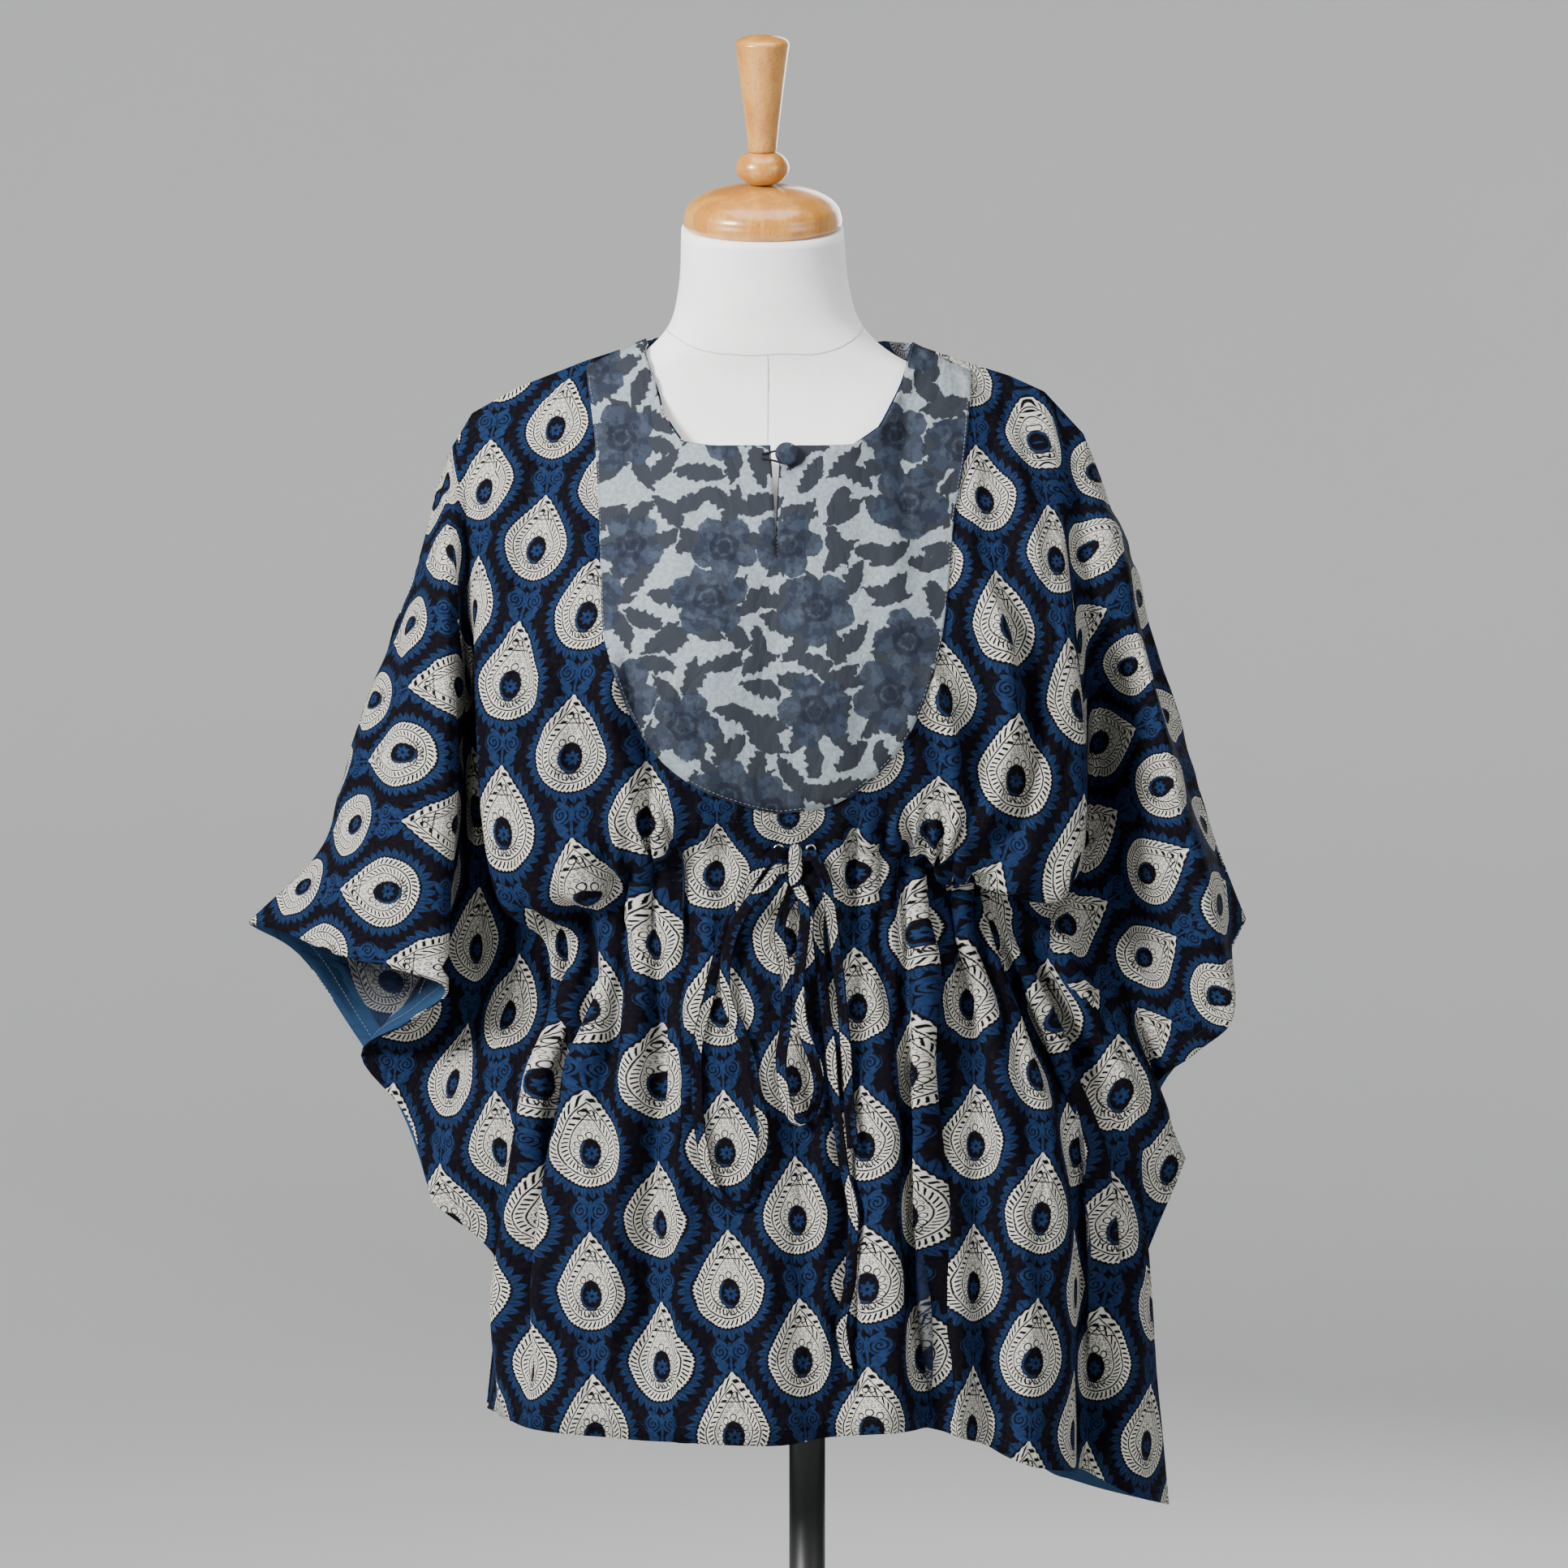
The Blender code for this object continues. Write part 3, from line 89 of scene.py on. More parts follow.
# ---- dress form: half width, front and back depth and the place of the section's centre, at each height ----
FORM_SECTIONS = (
    # z      half   front  back   centre x, y
    (0.720, 0.163, 0.105, 0.113, -0.012, 0.000),
    (0.800, 0.165, 0.106, 0.117, -0.014, 0.000),
    (0.900, 0.157, 0.100, 0.105, -0.016, 0.000),
    (1.000, 0.126, 0.087, 0.082, -0.018, 0.000),
    (1.040, 0.124, 0.086, 0.080, -0.019, 0.000),
    (1.100, 0.134, 0.106, 0.086, -0.020, 0.000),
    (1.165, 0.150, 0.126, 0.094, -0.021, 0.000),
    (1.230, 0.164, 0.110, 0.100, -0.022, 0.000),
    (1.286, 0.181, 0.080, 0.098, -0.023, 0.002),
    (1.322, 0.181, 0.058, 0.080, -0.023, 0.003),
    (1.344, 0.160, 0.050, 0.068, -0.024, 0.002),
    (1.360, 0.124, 0.048, 0.062, -0.026, 0.000),
    (1.376, 0.088, 0.050, 0.058, -0.028, -0.003),
    (1.396, 0.067, 0.052, 0.057, -0.029, -0.006),
    (1.422, 0.059, 0.054, 0.056, -0.030, -0.012),
    (1.462, 0.056, 0.055, 0.055, -0.031, -0.020),
)

# ---- neckline, shoulder and sleeve top, from the centre front outwards: x, y, z in mm ----
TOP_RIGHT = (
    (0, -90, 1307), (28, -88, 1307), (52, -83, 1308), (71, -68, 1322), (85, -44, 1350), (94, -12, 1383),
    (127, -8, 1372), (162, -7, 1361), (186, -8, 1350), (213, -8, 1321), (226, -8, 1288), (244, -8, 1231),
    (266, -8, 1162), (288, -8, 1092), (305, -6, 1038), (326, -4, 984),
)
TOP_LEFT = (
    (0, -90, 1307), (-42, -87, 1307), (-63, -76, 1311), (-77, -56, 1333), (-88, -12, 1385),
    (-132, -8, 1371), (-178, -8, 1353), (-210, -8, 1335), (-226, -8, 1308), (-244, -8, 1255),
    (-252, -8, 1206), (-266, -8, 1176), (-290, -8, 1115), (-300, -6, 1077), (-314, -4, 1035), (-366, 0, 981),
)

# ---- folds of the front, viewer's left to right ----
# start: distance in mm from the centre front along the neckline, shoulder and sleeve top (left is negative).
# Then the fold line's stations x, y, z, with tie on the drawstring and end on the hem, side or cuff edge.
FRONT_FOLDS = (
    # name, start, chest, bag, lip,
    # tie, hip, end
    ("sleeve_top_l", -358, (-247, -8, 1233), (-266, -8, 1176), (-290, -8, 1115),
     (-300, -6, 1077), (-314, -4, 1035), (-366, 0, 981)),
    ("sleeve_dip_l", -349, (-243, -30, 1225), (-258, -34, 1165), (-277, -36, 1105),
     (-287, -36, 1070), (-305, -36, 1025), (-340, -24, 976)),
    ("sleeve_face_l", -340, (-234, -58, 1222), (-246, -66, 1160), (-259, -72, 1100),
     (-268, -76, 1060), (-281, -78, 1010), (-298, -72, 962)),
    ("sleeve_edge_l", -331, (-224, -70, 1225), (-222, -86, 1150), (-222, -92, 1085),
     (-224, -94, 1040), (-225, -96, 990), (-223, -94, 941)),
    ("valley_out_l", -323, (-217, -70, 1215), (-214, -48, 1140), (-215, -38, 1080),
     (-218, -36, 1030), (-228, -36, 975), (-252, -42, 915)),
    ("valley_l", -316, (-213, -62, 1210), (-211, -16, 1130), (-211, -4, 1070),
     (-216, 0, 1015), (-238, 0, 950), (-288, 0, 889)),
    ("under_l", -309, (-210, -56, 1205), (-207, -8, 1120), (-205, 0, 1050),
     (-205, 2, 990), (-215, 4, 920), (-256, 4, 846)),
    ("flap_l", -302, (-207, -62, 1200), (-203, -30, 1115), (-196, -24, 1040),
     (-178, -26, 985), (-200, -40, 880), (-237, -18, 789)),
    ("side_mid_l", -295, (-205, -68, 1197), (-202, -44, 1112), (-193, -32, 1032),
     (-172, -30, 981), (-184, -48, 865), (-190, -20, 745)),
    ("side_l", -288, (-203, -74, 1194), (-201, -60, 1110), (-190, -42, 1025),
     (-166, -34, 978), (-178, -52, 850), (-199, -20, 648)),
    ("drape_l", -278, (-196, -84, 1190), (-201, -82, 1100), (-186, -74, 1000),
     (-154, -46, 972), (-160, -72, 850), (-184, -64, 646)),
    ("skirt_a_l", -250, (-172, -98, 1180), (-176, -100, 1090), (-164, -92, 1000),
     (-140, -58, 975), (-146, -78, 850), (-168, -92, 643)),
    ("skirt_b_l", -219, (-140, -112, 1172), (-143, -110, 1085), (-136, -99, 1010),
     (-122, -72, 992), (-128, -100, 850), (-142, -110, 641)),
    ("skirt_c_l", -190, (-108, -122, 1165), (-110, -116, 1078), (-104, -106, 1030),
     (-95, -86, 1014), (-100, -104, 850), (-113, -112, 639)),
    ("neck_l", -169, (-90, -127, 1162), (-90, -119, 1077), (-85, -109, 1040),
     (-78, -91, 1022), (-80, -108, 850), (-90, -121, 638)),
    ("skirt_d_l", -95, (-72, -131, 1160), (-70, -121, 1076), (-66, -112, 1048),
     (-60, -95, 1028), (-60, -112, 850), (-66, -130, 638)),
    ("skirt_e_l", -36, (-34, -135, 1160), (-33, -123, 1076), (-32, -113, 1056),
     (-30, -99, 1034), (-28, -116, 850), (-30, -138, 637)),
    ("centre", 0, (0, -133, 1160), (0, -122, 1076), (0, -112, 1058),
     (0, -100, 1035), (2, -117, 850), (4, -139, 637)),
    ("skirt_e_r", 36, (34, -135, 1160), (32, -123, 1076), (31, -112, 1056),
     (27, -99, 1034), (30, -110, 850), (33, -122, 640)),
    ("skirt_d_r", 88, (66, -131, 1160), (60, -120, 1076), (54, -111, 1053),
     (48, -95, 1032), (62, -116, 850), (74, -140, 645)),
    ("neck_r", 167, (90, -126, 1162), (80, -117, 1076), (72, -106, 1048),
     (65, -90, 1030), (80, -106, 850), (92, -124, 645)),
    ("skirt_c_r", 182, (106, -121, 1165), (94, -113, 1076), (86, -102, 1044),
     (78, -85, 1028), (94, -96, 850), (105, -108, 645)),
    ("skirt_b_r", 211, (136, -110, 1172), (120, -106, 1078), (108, -93, 1036),
     (97, -73, 1024), (114, -104, 850), (122, -124, 641)),
    ("skirt_a_r", 237, (164, -100, 1180), (152, -104, 1082), (136, -92, 1022),
     (113, -62, 1020), (132, -86, 850), (142, -98, 632)),
    ("face_r", 256, (182, -92, 1186), (182, -102, 1088), (166, -93, 1008),
     (126, -52, 1016), (164, -92, 850), (170, -112, 620)),
    ("drape_r", 272, (197, -86, 1190), (207, -90, 1092), (194, -82, 1003),
     (138, -42, 1010), (188, -84, 840), (198, -90, 613)),
    ("valley_in_r", 280, (203, -76, 1191), (212, -54, 1095), (202, -42, 1010),
     (150, -32, 1000), (204, -40, 835), (213, -34, 606)),
    ("skirt_edge_r", 286, (207, -64, 1193), (215, -20, 1098), (208, -10, 1020),
     (166, -24, 988), (228, -46, 825), (242, -48, 592)),
    ("side_r", 292, (210, -56, 1195), (217, -4, 1100), (212, 4, 1030),
     (182, -18, 980), (244, -30, 812), (272, -4, 578)),
    ("side_mid_r", 297, (212, -54, 1196), (219, 0, 1102), (214, 5, 1030),
     (190, -20, 974), (250, -24, 846), (251, -10, 722)),
    ("flap_r", 302, (214, -54, 1198), (221, 2, 1104), (216, 6, 1030),
     (200, -24, 968), (258, -18, 872), (284, -4, 818)),
    ("under_r", 309, (219, -58, 1202), (228, -8, 1120), (229, 0, 1050),
     (230, 2, 985), (252, 2, 920), (264, 4, 866)),
    ("valley_out_r", 318, (226, -62, 1210), (240, -38, 1136), (250, -44, 1075),
     (258, -44, 1015), (274, -34, 950), (290, -24, 892)),
    ("sleeve_edge_r", 330, (236, -56, 1224), (254, -64, 1160), (269, -68, 1100),
     (283, -70, 1040), (299, -66, 975), (313, -58, 919)),
    ("sleeve_dip_r", 342, (243, -24, 1222), (259, -26, 1160), (275, -28, 1105),
     (287, -26, 1060), (302, -26, 1015), (314, -24, 974)),
    ("sleeve_top_r", 356, (250, -8, 1212), (266, -8, 1162), (288, -8, 1092),
     (297, -7, 1064), (305, -6, 1038), (326, -4, 984)),
)

# ---- folds of the back, the same way; its side seams end where the front's do ----
BACK_FOLDS = (
    # name, start, chest, bag, lip,
    # tie, hip, end
    ("sleeve_a_l", -299, (-238, 30, 1222), (-250, 40, 1165), (-268, 46, 1105),
     (-280, 48, 1060), (-298, 46, 1010), (-334, 34, 958)),
    ("sleeve_b_l", -283, (-226, 52, 1215), (-230, 62, 1145), (-240, 70, 1080),
     (-252, 74, 1030), (-270, 72, 975), (-300, 60, 905)),
    ("valley_l", -268, (-214, 40, 1205), (-214, 46, 1125), (-216, 50, 1055),
     (-222, 50, 1000), (-236, 46, 930), (-264, 40, 850)),
    ("flap_l", -258, (-207, 30, 1195), (-205, 32, 1110), (-200, 24, 1035),
     (-190, 12, 985), (-206, 8, 885), (-237, -18, 789)),
    ("side_mid_l", -252, (-206, 36, 1193), (-203, 40, 1108), (-196, 32, 1026),
     (-180, 16, 980), (-186, 4, 865), (-190, -20, 745)),
    ("side_l", -246, (-204, 44, 1191), (-200, 48, 1104), (-190, 40, 1018),
     (-168, 22, 976), (-176, 4, 850), (-199, -20, 648)),
    ("drape_l", -235, (-196, 72, 1188), (-196, 82, 1100), (-182, 74, 1005),
     (-154, 44, 976), (-172, 60, 846), (-194, 62, 634)),
    ("skirt_a_l", -197, (-158, 102, 1182), (-158, 106, 1088), (-148, 96, 1012),
     (-124, 70, 992), (-142, 104, 848), (-162, 108, 634)),
    ("skirt_b_l", -148, (-110, 112, 1180), (-108, 114, 1082), (-102, 104, 1030),
     (-88, 84, 1008), (-100, 110, 846), (-112, 118, 618)),
    ("skirt_c_l", -50, (-54, 113, 1180), (-53, 116, 1080), (-50, 108, 1042),
     (-43, 92, 1018), (-52, 126, 848), (-66, 140, 601)),
    ("centre", 0, (0, 110, 1180), (0, 115, 1080), (0, 106, 1046),
     (0, 92, 1022), (0, 118, 850), (0, 124, 616)),
    ("skirt_c_r", 50, (54, 113, 1180), (53, 116, 1080), (49, 108, 1044),
     (41, 92, 1022), (50, 126, 848), (56, 138, 622)),
    ("skirt_b_r", 146, (110, 112, 1182), (107, 114, 1084), (98, 103, 1036),
     (82, 84, 1018), (98, 110, 845), (108, 116, 616)),
    ("skirt_a_r", 199, (160, 102, 1186), (158, 106, 1090), (142, 94, 1022),
     (112, 68, 1014), (144, 108, 842), (164, 112, 600)),
    ("drape_r", 243, (198, 74, 1192), (202, 84, 1096), (190, 76, 1010),
     (140, 42, 1004), (188, 64, 838), (212, 62, 585)),
    ("side_r", 250, (206, 46, 1194), (210, 54, 1100), (206, 42, 1020),
     (178, 22, 988), (240, 22, 815), (272, -4, 578)),
    ("side_mid_r", 257, (209, 40, 1196), (214, 48, 1104), (213, 38, 1030),
     (192, 18, 992), (244, 16, 850), (251, -10, 722)),
    ("flap_r", 264, (212, 36, 1198), (218, 44, 1110), (221, 40, 1035),
     (206, 22, 988), (250, 26, 885), (284, -4, 818)),
    ("valley_r", 274, (214, 40, 1206), (222, 46, 1125), (232, 48, 1060),
     (240, 48, 1000), (252, 46, 935), (268, 42, 858)),
    ("sleeve_b_r", 288, (232, 50, 1218), (246, 60, 1150), (258, 66, 1090),
     (268, 68, 1035), (282, 64, 975), (300, 52, 902)),
    ("sleeve_a_r", 303, (244, 28, 1224), (260, 36, 1165), (277, 40, 1108),
     (288, 40, 1064), (300, 36, 1020), (316, 28, 955)),
)

TOP, CHEST, BAG, LIP, TIE, HIP, END = range(7)  # stations of a fold

FINE = 2
FRONT_ROWS = tuple(n * 2 * FINE for n in (6, 3, 3, 4, 4, 3))
BACK_ROWS = tuple(n * 2 * FINE for n in (5, 2, 2, 3, 3, 3))
GATHER_COLUMNS = 6 * FINE
DEEP_GATHER = 2.6
PLAIN_COLUMNS = 3 * FINE

# ---- gathers on the drawstring: height of the pleats in mm at places across, from left to right ----
FRONT_GATHERS = dict(first="side_l", last="valley_in_r", pleats=16, up=1.7, down=1.15,
                     height=((0.0, 5.0), (0.12, 6.0), (0.30, 4.5), (0.42, 1.6),
                             (0.58, 1.5), (0.72, 3.0), (0.85, 6.0), (1.0, 5.0)))
BACK_GATHERS = dict(first="drape_l", last="drape_r", pleats=10, up=1.6, down=1.2,
                    height=((0.0, 5.0), (0.2, 6.0), (0.5, 4.0), (0.8, 6.0), (1.0, 5.0)))

# ---- bib yoke: its outline from the centre front, x and z in mm ----
YOKE_RIGHT = ((135, 1362), (129, 1301), (121, 1258), (118, 1225), (110, 1170), (96, 1126), (79, 1096),
              (42, 1066), (4, 1059))
YOKE_LEFT = ((-130, 1366), (-122, 1302), (-118, 1225), (-113, 1169), (-92, 1115), (-58, 1079), (-14, 1062),
             (4, 1059))


def smooth(x):
    """Ease from 0 to 1."""
    x = min(max(x, 0.0), 1.0)
    return x * x * (3 - 2 * x)


def table(rows, x):
    """Value at x of a short table of (x, value) rows, eased between them."""
    for (x0, v0), (x1, v1) in zip(rows, rows[1:]):
        if x <= x1:
            return v0 + (v1 - v0) * smooth((x - x0) / (x1 - x0))
    return rows[-1][1]


def nearest(values, value):
    """Number of the value in a list that is nearest to a given one."""
    return int(np.argmin(np.abs(np.array(values) - value)))


def run_of(line):
    """Length along a line of points up to each of them."""
    return np.concatenate([[0], np.cumsum(np.linalg.norm(np.diff(line, axis=0), axis=1))])


def points_at(line, run, places):
    """Points of a line at given lengths along it."""
    return np.stack([np.interp(places, run, line[:, k]) for k in range(line.shape[1])], axis=1)


def knots(points):
    """Centripetal parameter of each control point."""
    steps = [max(np.linalg.norm(b - a), 1e-6) ** 0.5 for a, b in zip(points, points[1:])]
    return np.concatenate([[0.0], np.cumsum(steps)])


def slopes(points, t):
    """Catmull-Rom slope at each control point for uneven knots."""
    chord = [(b - a) / (tb - ta) for a, b, ta, tb in zip(points, points[1:], t, t[1:])]
    inner = [(c0 * (t2 - t1) + c1 * (t1 - t0)) / (t2 - t0)
             for c0, c1, t0, t1, t2 in zip(chord, chord[1:], t, t[1:], t[2:])]
    return [chord[0]] + inner + [chord[-1]]


def hermite(p0, p1, m0, m1, span, f):
    """Cubic between two points, f from 0 to 1, slopes given over the span of their knots."""
    f2, f3 = f * f, f * f * f
    return (p0 * (2 * f3 - 3 * f2 + 1) + m0 * span * (f3 - 2 * f2 + f)
            + p1 * (3 * f2 - 2 * f3) + m1 * span * (f3 - f2))


def curve(points, f_list):
    """Points of a smooth curve at control-point numbers such as 2.5."""
    points = [np.array(p, float) for p in points]
    t = knots(points)
    m = slopes(points, t)
    out = []
    for f in f_list:
        i = min(int(f), len(points) - 2)
        out.append(hermite(points[i], points[i + 1], m[i], m[i + 1], t[i + 1] - t[i], f - i))
    return out


FINE_STEPS = 40  # between two control points


def even(points, step):
    """A smooth curve through the points, resampled at an even step."""
    fine = np.array(curve(points, np.linspace(0, len(points) - 1, FINE_STEPS * (len(points) - 1) + 1)))
    run = run_of(fine)
    count = max(int(round(run[-1] / step)), 2)
    return list(points_at(fine, run, np.linspace(0, run[-1], count + 1)))


# ---- the dress form's surface ----

FORM_POWER = 2.25  # squareness of a section
FORM_SIDES = 96
FORM_STEPS = 5


def form_rows(steps):
    """Form sections on smooth curves between the measured ones."""
    places = np.linspace(0, len(FORM_SECTIONS) - 1, (len(FORM_SECTIONS) - 1) * steps + 1)
    return np.array(curve(FORM_SECTIONS, places))


def form_point(row, angle):
    """A point of a section's outline, at an angle from +X towards the back."""
    z, half, front, back, cx, cy = row
    c, s = math.cos(angle), math.sin(angle)
    power = 2 / FORM_POWER
    x = half * math.copysign(abs(c) ** power, c)
    depth = back if s > 0 else front
    return np.array([cx + x, cy + depth * math.copysign(abs(s) ** power, s), z])


def form_rings():
    """The torso's rings of points, the top ones leaning more and more with the neck."""
    sections = form_rows(FORM_STEPS)
    angles = [2 * math.pi * k / FORM_SIDES for k in range(FORM_SIDES)]
    rings = np.array([[form_point(row, angle) for angle in angles] for row in sections])
    for step in range(FORM_STEPS):
        slope = math.tan(NECK_LEAN) * (1 - step / FORM_STEPS)
        rings[-1 - step, :, 2] += (rings[-1 - step, :, 1] - sections[-1 - step][5]) * slope
    return rings


def ring_tree(rings):
    """A search tree over rings of points."""
    count, sides = rings.shape[:2]
    faces = []
    for low, k in np.ndindex(count - 1, sides):
        n = (k + 1) % sides
        faces.append((low * sides + k, low * sides + n, (low + 1) * sides + n, (low + 1) * sides + k))
    return BVHTree.FromPolygons([Vector(p) for p in rings.reshape(-1, 3)], faces)


CLEAR_REACH = 0.06  # how far from the form a point is still looked at
CLEAR_SLANT = 0.8  # a point whose height is a smaller share of its distance lies beside the form
MIDDLE_SHARE = 0.8  # of the clearance, halfway between two points


def push_out(tree, p, clear):
    """How far and which way a point has to move to stand clear of the form."""
    place, normal, _, distance = tree.find_nearest(Vector(p))
    height = (Vector(p) - place).dot(normal)
    beside = abs(height) < distance * CLEAR_SLANT
    if distance > CLEAR_REACH or beside:
        return np.zeros(3)
    return np.array(normal) * max(clear - height, 0.0)


def drape_over(grid, tree, clear, rounds):
    """Lift a panel's points until it lies clear over what carries it, also halfway between them."""
    rows, columns = grid.shape[:2]
    for _ in range(rounds):
        for r in range(rows):
            for c in range(columns):
                grid[r, c] += push_out(tree, grid[r, c], clear)
        for r in range(rows - 1):
            for c in range(columns - 1):
                cell = grid[r:r + 2, c:c + 2]
                for middle in (cell.mean(axis=(0, 1)), cell[:, 0].mean(axis=0), cell[0].mean(axis=0)):
                    cell += push_out(tree, middle, clear * MIDDLE_SHARE)


# ---- cloth panels ----

PULL_START = 0.3  # stations past the hip where the corners begin to pull
GATHER_FADE = 1.5  # how steeply the gathers fade away from the drawstring
GATHER_END = 0.04  # share of their width over which the gathers begin and end


def metres(p):
    """A garment station in the part's frame."""
    return np.array([GARMENT_X + p[0] * MM, p[1] * MM, p[2] * MM])


def on_line(points, distance):
    """Point at a distance in mm along a broken line."""
    points = [np.array(p, float) for p in points]
    for a, b in zip(points, points[1:]):
        length = np.linalg.norm(b - a)
        if distance <= length or b is points[-1]:
            return a + (b - a) * min(distance / length, 1.0)
        distance -= length


def top_point(start, left_line, right_line):
    """Where a fold starts on the neckline, shoulder or sleeve top."""
    return on_line(left_line if start < 0 else right_line, abs(start))


def fold_line(row, left_line, right_line):
    """A fold's control points in metres, from the top to the end."""
    start, *stations = row[1:]
    return [metres(top_point(start, left_line, right_line))] + [metres(s) for s in stations]


def row_places(counts):
    """Station numbers of the grid's rows."""
    places = [0.0]
    for station, count in enumerate(counts):
        places += [station + (k + 1) / count for k in range(count)]
    return places


def column_places(names, gathers):
    """Fold numbers of the grid's columns, closer together where the gathers are deep."""
    first, last = names.index(gathers["first"]), names.index(gathers["last"])
    places = [0.0]
    for fold in range(len(names) - 1):
        f = (fold + 0.5 - first) / (last - first)
        deep = 0 < f < 1 and table(gathers["height"], f) > DEEP_GATHER
        count = GATHER_COLUMNS if deep else PLAIN_COLUMNS
        places += [fold + (k + 1) / count for k in range(count)]
    return places


def corner_weight(place):
    """How far the cloth's corners pull the rows near the end straight."""
    return smooth((place - HIP - PULL_START) / (END - HIP - PULL_START))


def across(points, corners, places, pull):
    """A row of cloth points through one point of each fold."""
    t = knots(points)
    m = slopes(points, t)
    chord = [(b - a) / (tb - ta) for a, b, ta, tb in zip(points, points[1:], t, t[1:])]
    out = []
    for f in places:
        i = min(int(f), len(points) - 2)
        m0 = m[i] + (chord[i] - m[i]) * pull if i in corners else m[i]
        m1 = m[i + 1] + (chord[i] - m[i + 1]) * pull if i + 1 in corners else m[i + 1]
        out.append(hermite(points[i], points[i + 1], m0, m1, t[i + 1] - t[i], f - i))
    return out


def normals(grid):
    """Unit normals of a grid of points, pointing away from the wearer."""
    down = np.gradient(grid, axis=0)
    right = np.gradient(grid, axis=1)
    n = np.cross(down, right)
    return n / np.maximum(np.linalg.norm(n, axis=2, keepdims=True), 1e-9)


TOP_BEND = 0.75  # stations over which the upper edge's shape fades into the folds


def gather_wave(gathers, first, last, fold_place, row_place):
    """Height in metres of the gathers at a place on the panel."""
    f = (fold_place - first) / (last - first)
    if not 0 < f < 1:
        return 0.0
    reach = gathers["up"] if row_place < TIE else gathers["down"]
    fade = math.exp(-(((row_place - TIE) / reach * GATHER_FADE) ** 2))
    ends = smooth(f / GATHER_END) * smooth((1 - f) / GATHER_END)
    height = table(gathers["height"], f) * MM * fade * ends
    return height * math.cos(2 * math.pi * gathers["pleats"] * f)


def follow_top(grid, starts, left_line, right_line, row_list, column_list):
    """Bend the first rows so that the upper edge runs along the neckline, shoulder and sleeve top."""
    for c, place in enumerate(column_list):
        i = min(int(place), len(starts) - 2)
        start = starts[i] + (starts[i + 1] - starts[i]) * (place - i)
        shift = metres(top_point(start, left_line, right_line)) - grid[0, c]
        for r, row_place in enumerate(row_list):
            grid[r, c] += shift * (1 - smooth(row_place / TOP_BEND))


def panel(folds, left_line, right_line, gathers, rows, outward):
    """Grid of points of a panel: rows from top to end, columns from the viewer's left to right."""
    names = [row[0] for row in folds]
    corners = [i for i, n in enumerate(names) if n in ("flap_l", "side_l", "flap_r", "side_r")]
    row_list = row_places(rows)
    column_list = column_places(names, gathers)
    lines = [curve(fold_line(row, left_line, right_line), row_list) for row in folds]
    first, last = names.index(gathers["first"]), names.index(gathers["last"])
    grid = np.array([across([line[r] for line in lines], corners, column_list, corner_weight(place))
                     for r, place in enumerate(row_list)])
    follow_top(grid, [row[1] for row in folds], left_line, right_line, row_list, column_list)
    n = normals(grid) * outward
    for r, row_place in enumerate(row_list):
        for c, fold_place in enumerate(column_list):
            grid[r, c] += n[r, c] * gather_wave(gathers, first, last, fold_place, row_place)
    return grid, row_list, column_list


SEAM_SHIFT_TOP = 0.00065  # half the distance between the middles of front and back at the shoulder
SEAM_SHIFT_SIDE = 0.00080  # the same at the side seams, which turn a sharper corner


def sew_edges(grid, names, column_list, toward):
    """Draw a panel's shoulder and side edges back from the seam they share with the other panel."""
    grid[1:, 0, 1] += toward * SEAM_SHIFT_SIDE
    grid[1:, -1, 1] += toward * SEAM_SHIFT_SIDE
    grid[0, :, 1] += toward * SEAM_SHIFT_TOP
    for first, last in (("flap_l", "side_l"), ("side_r", "flap_r")):
        for c, place in enumerate(column_list):
            if names.index(first) <= place <= names.index(last):
                grid[-1, c, 1] += toward * SEAM_SHIFT_SIDE


def back_top(front_line, neck):
    """The back's upper edge: its own neckline, then the front's shoulder and sleeve top."""
    shoulder = next(i for i, p in enumerate(front_line) if p[2] > NECK_POINT_LOW)
    return neck + front_line[shoulder:]


BACK_NECK_RIGHT = ((0, 68, 1377), (41, 59, 1382), (74, 32, 1389))
BACK_NECK_LEFT = ((0, 68, 1377), (-39, 59, 1382), (-70, 32, 1390))
BACK_TOP_START_L = -314  # where the front's outermost folds start, measured along the back's own upper edge
BACK_TOP_START_R = 318
NECK_POINT_LOW = 1380  # mm, below the points where the shoulders meet the neckline


def back_folds():
    """The back's folds with the sleeve tops that it shares with the front."""
    top_l = ("sleeve_top_l", BACK_TOP_START_L) + FRONT_FOLDS[0][2:]
    top_r = ("sleeve_top_r", BACK_TOP_START_R) + FRONT_FOLDS[-1][2:]
    return (top_l,) + BACK_FOLDS + (top_r,)


# ---- the flat pattern of a panel ----
# The print lies on the cloth as it was cut: each panel is flattened, and the sleeves turned back to level.

# angle in degrees, the fold's top as (station down, fold), then the folds down which the turned part ends
FRONT_TURNS = (
    (-62, (0.7, "sleeve_edge_l"), ((TOP, "sleeve_edge_l"), (CHEST, "valley_out_l"), (END, "valley_out_l"))),
    (54, (0.5, "drape_r"), ((TOP, "drape_r"), (CHEST, "valley_in_r"), (LIP, "valley_in_r"),
                            (TIE, "side_mid_r"), (HIP, "under_r"), (END, "under_r"))),
)
BACK_TURNS = (
    (-50, (0.6, "sleeve_b_l"), ((TOP, "sleeve_b_l"), (CHEST, "valley_l"), (END, "valley_l"))),
    (50, (0.6, "valley_r"), ((TOP, "sleeve_b_r"), (CHEST, "valley_r"), (END, "valley_r"))),
)
TURN_WIDE, TURN_NARROW = 3.5, 0.5  # folds over which the turn fades, at the top and from the chest down
PRINT_SHIFT = (-0.017, 0.004)
FLAT_STEP = 4  # rows and columns of the fine cloth to one of the flattened one
FLAT_ROUNDS = 20


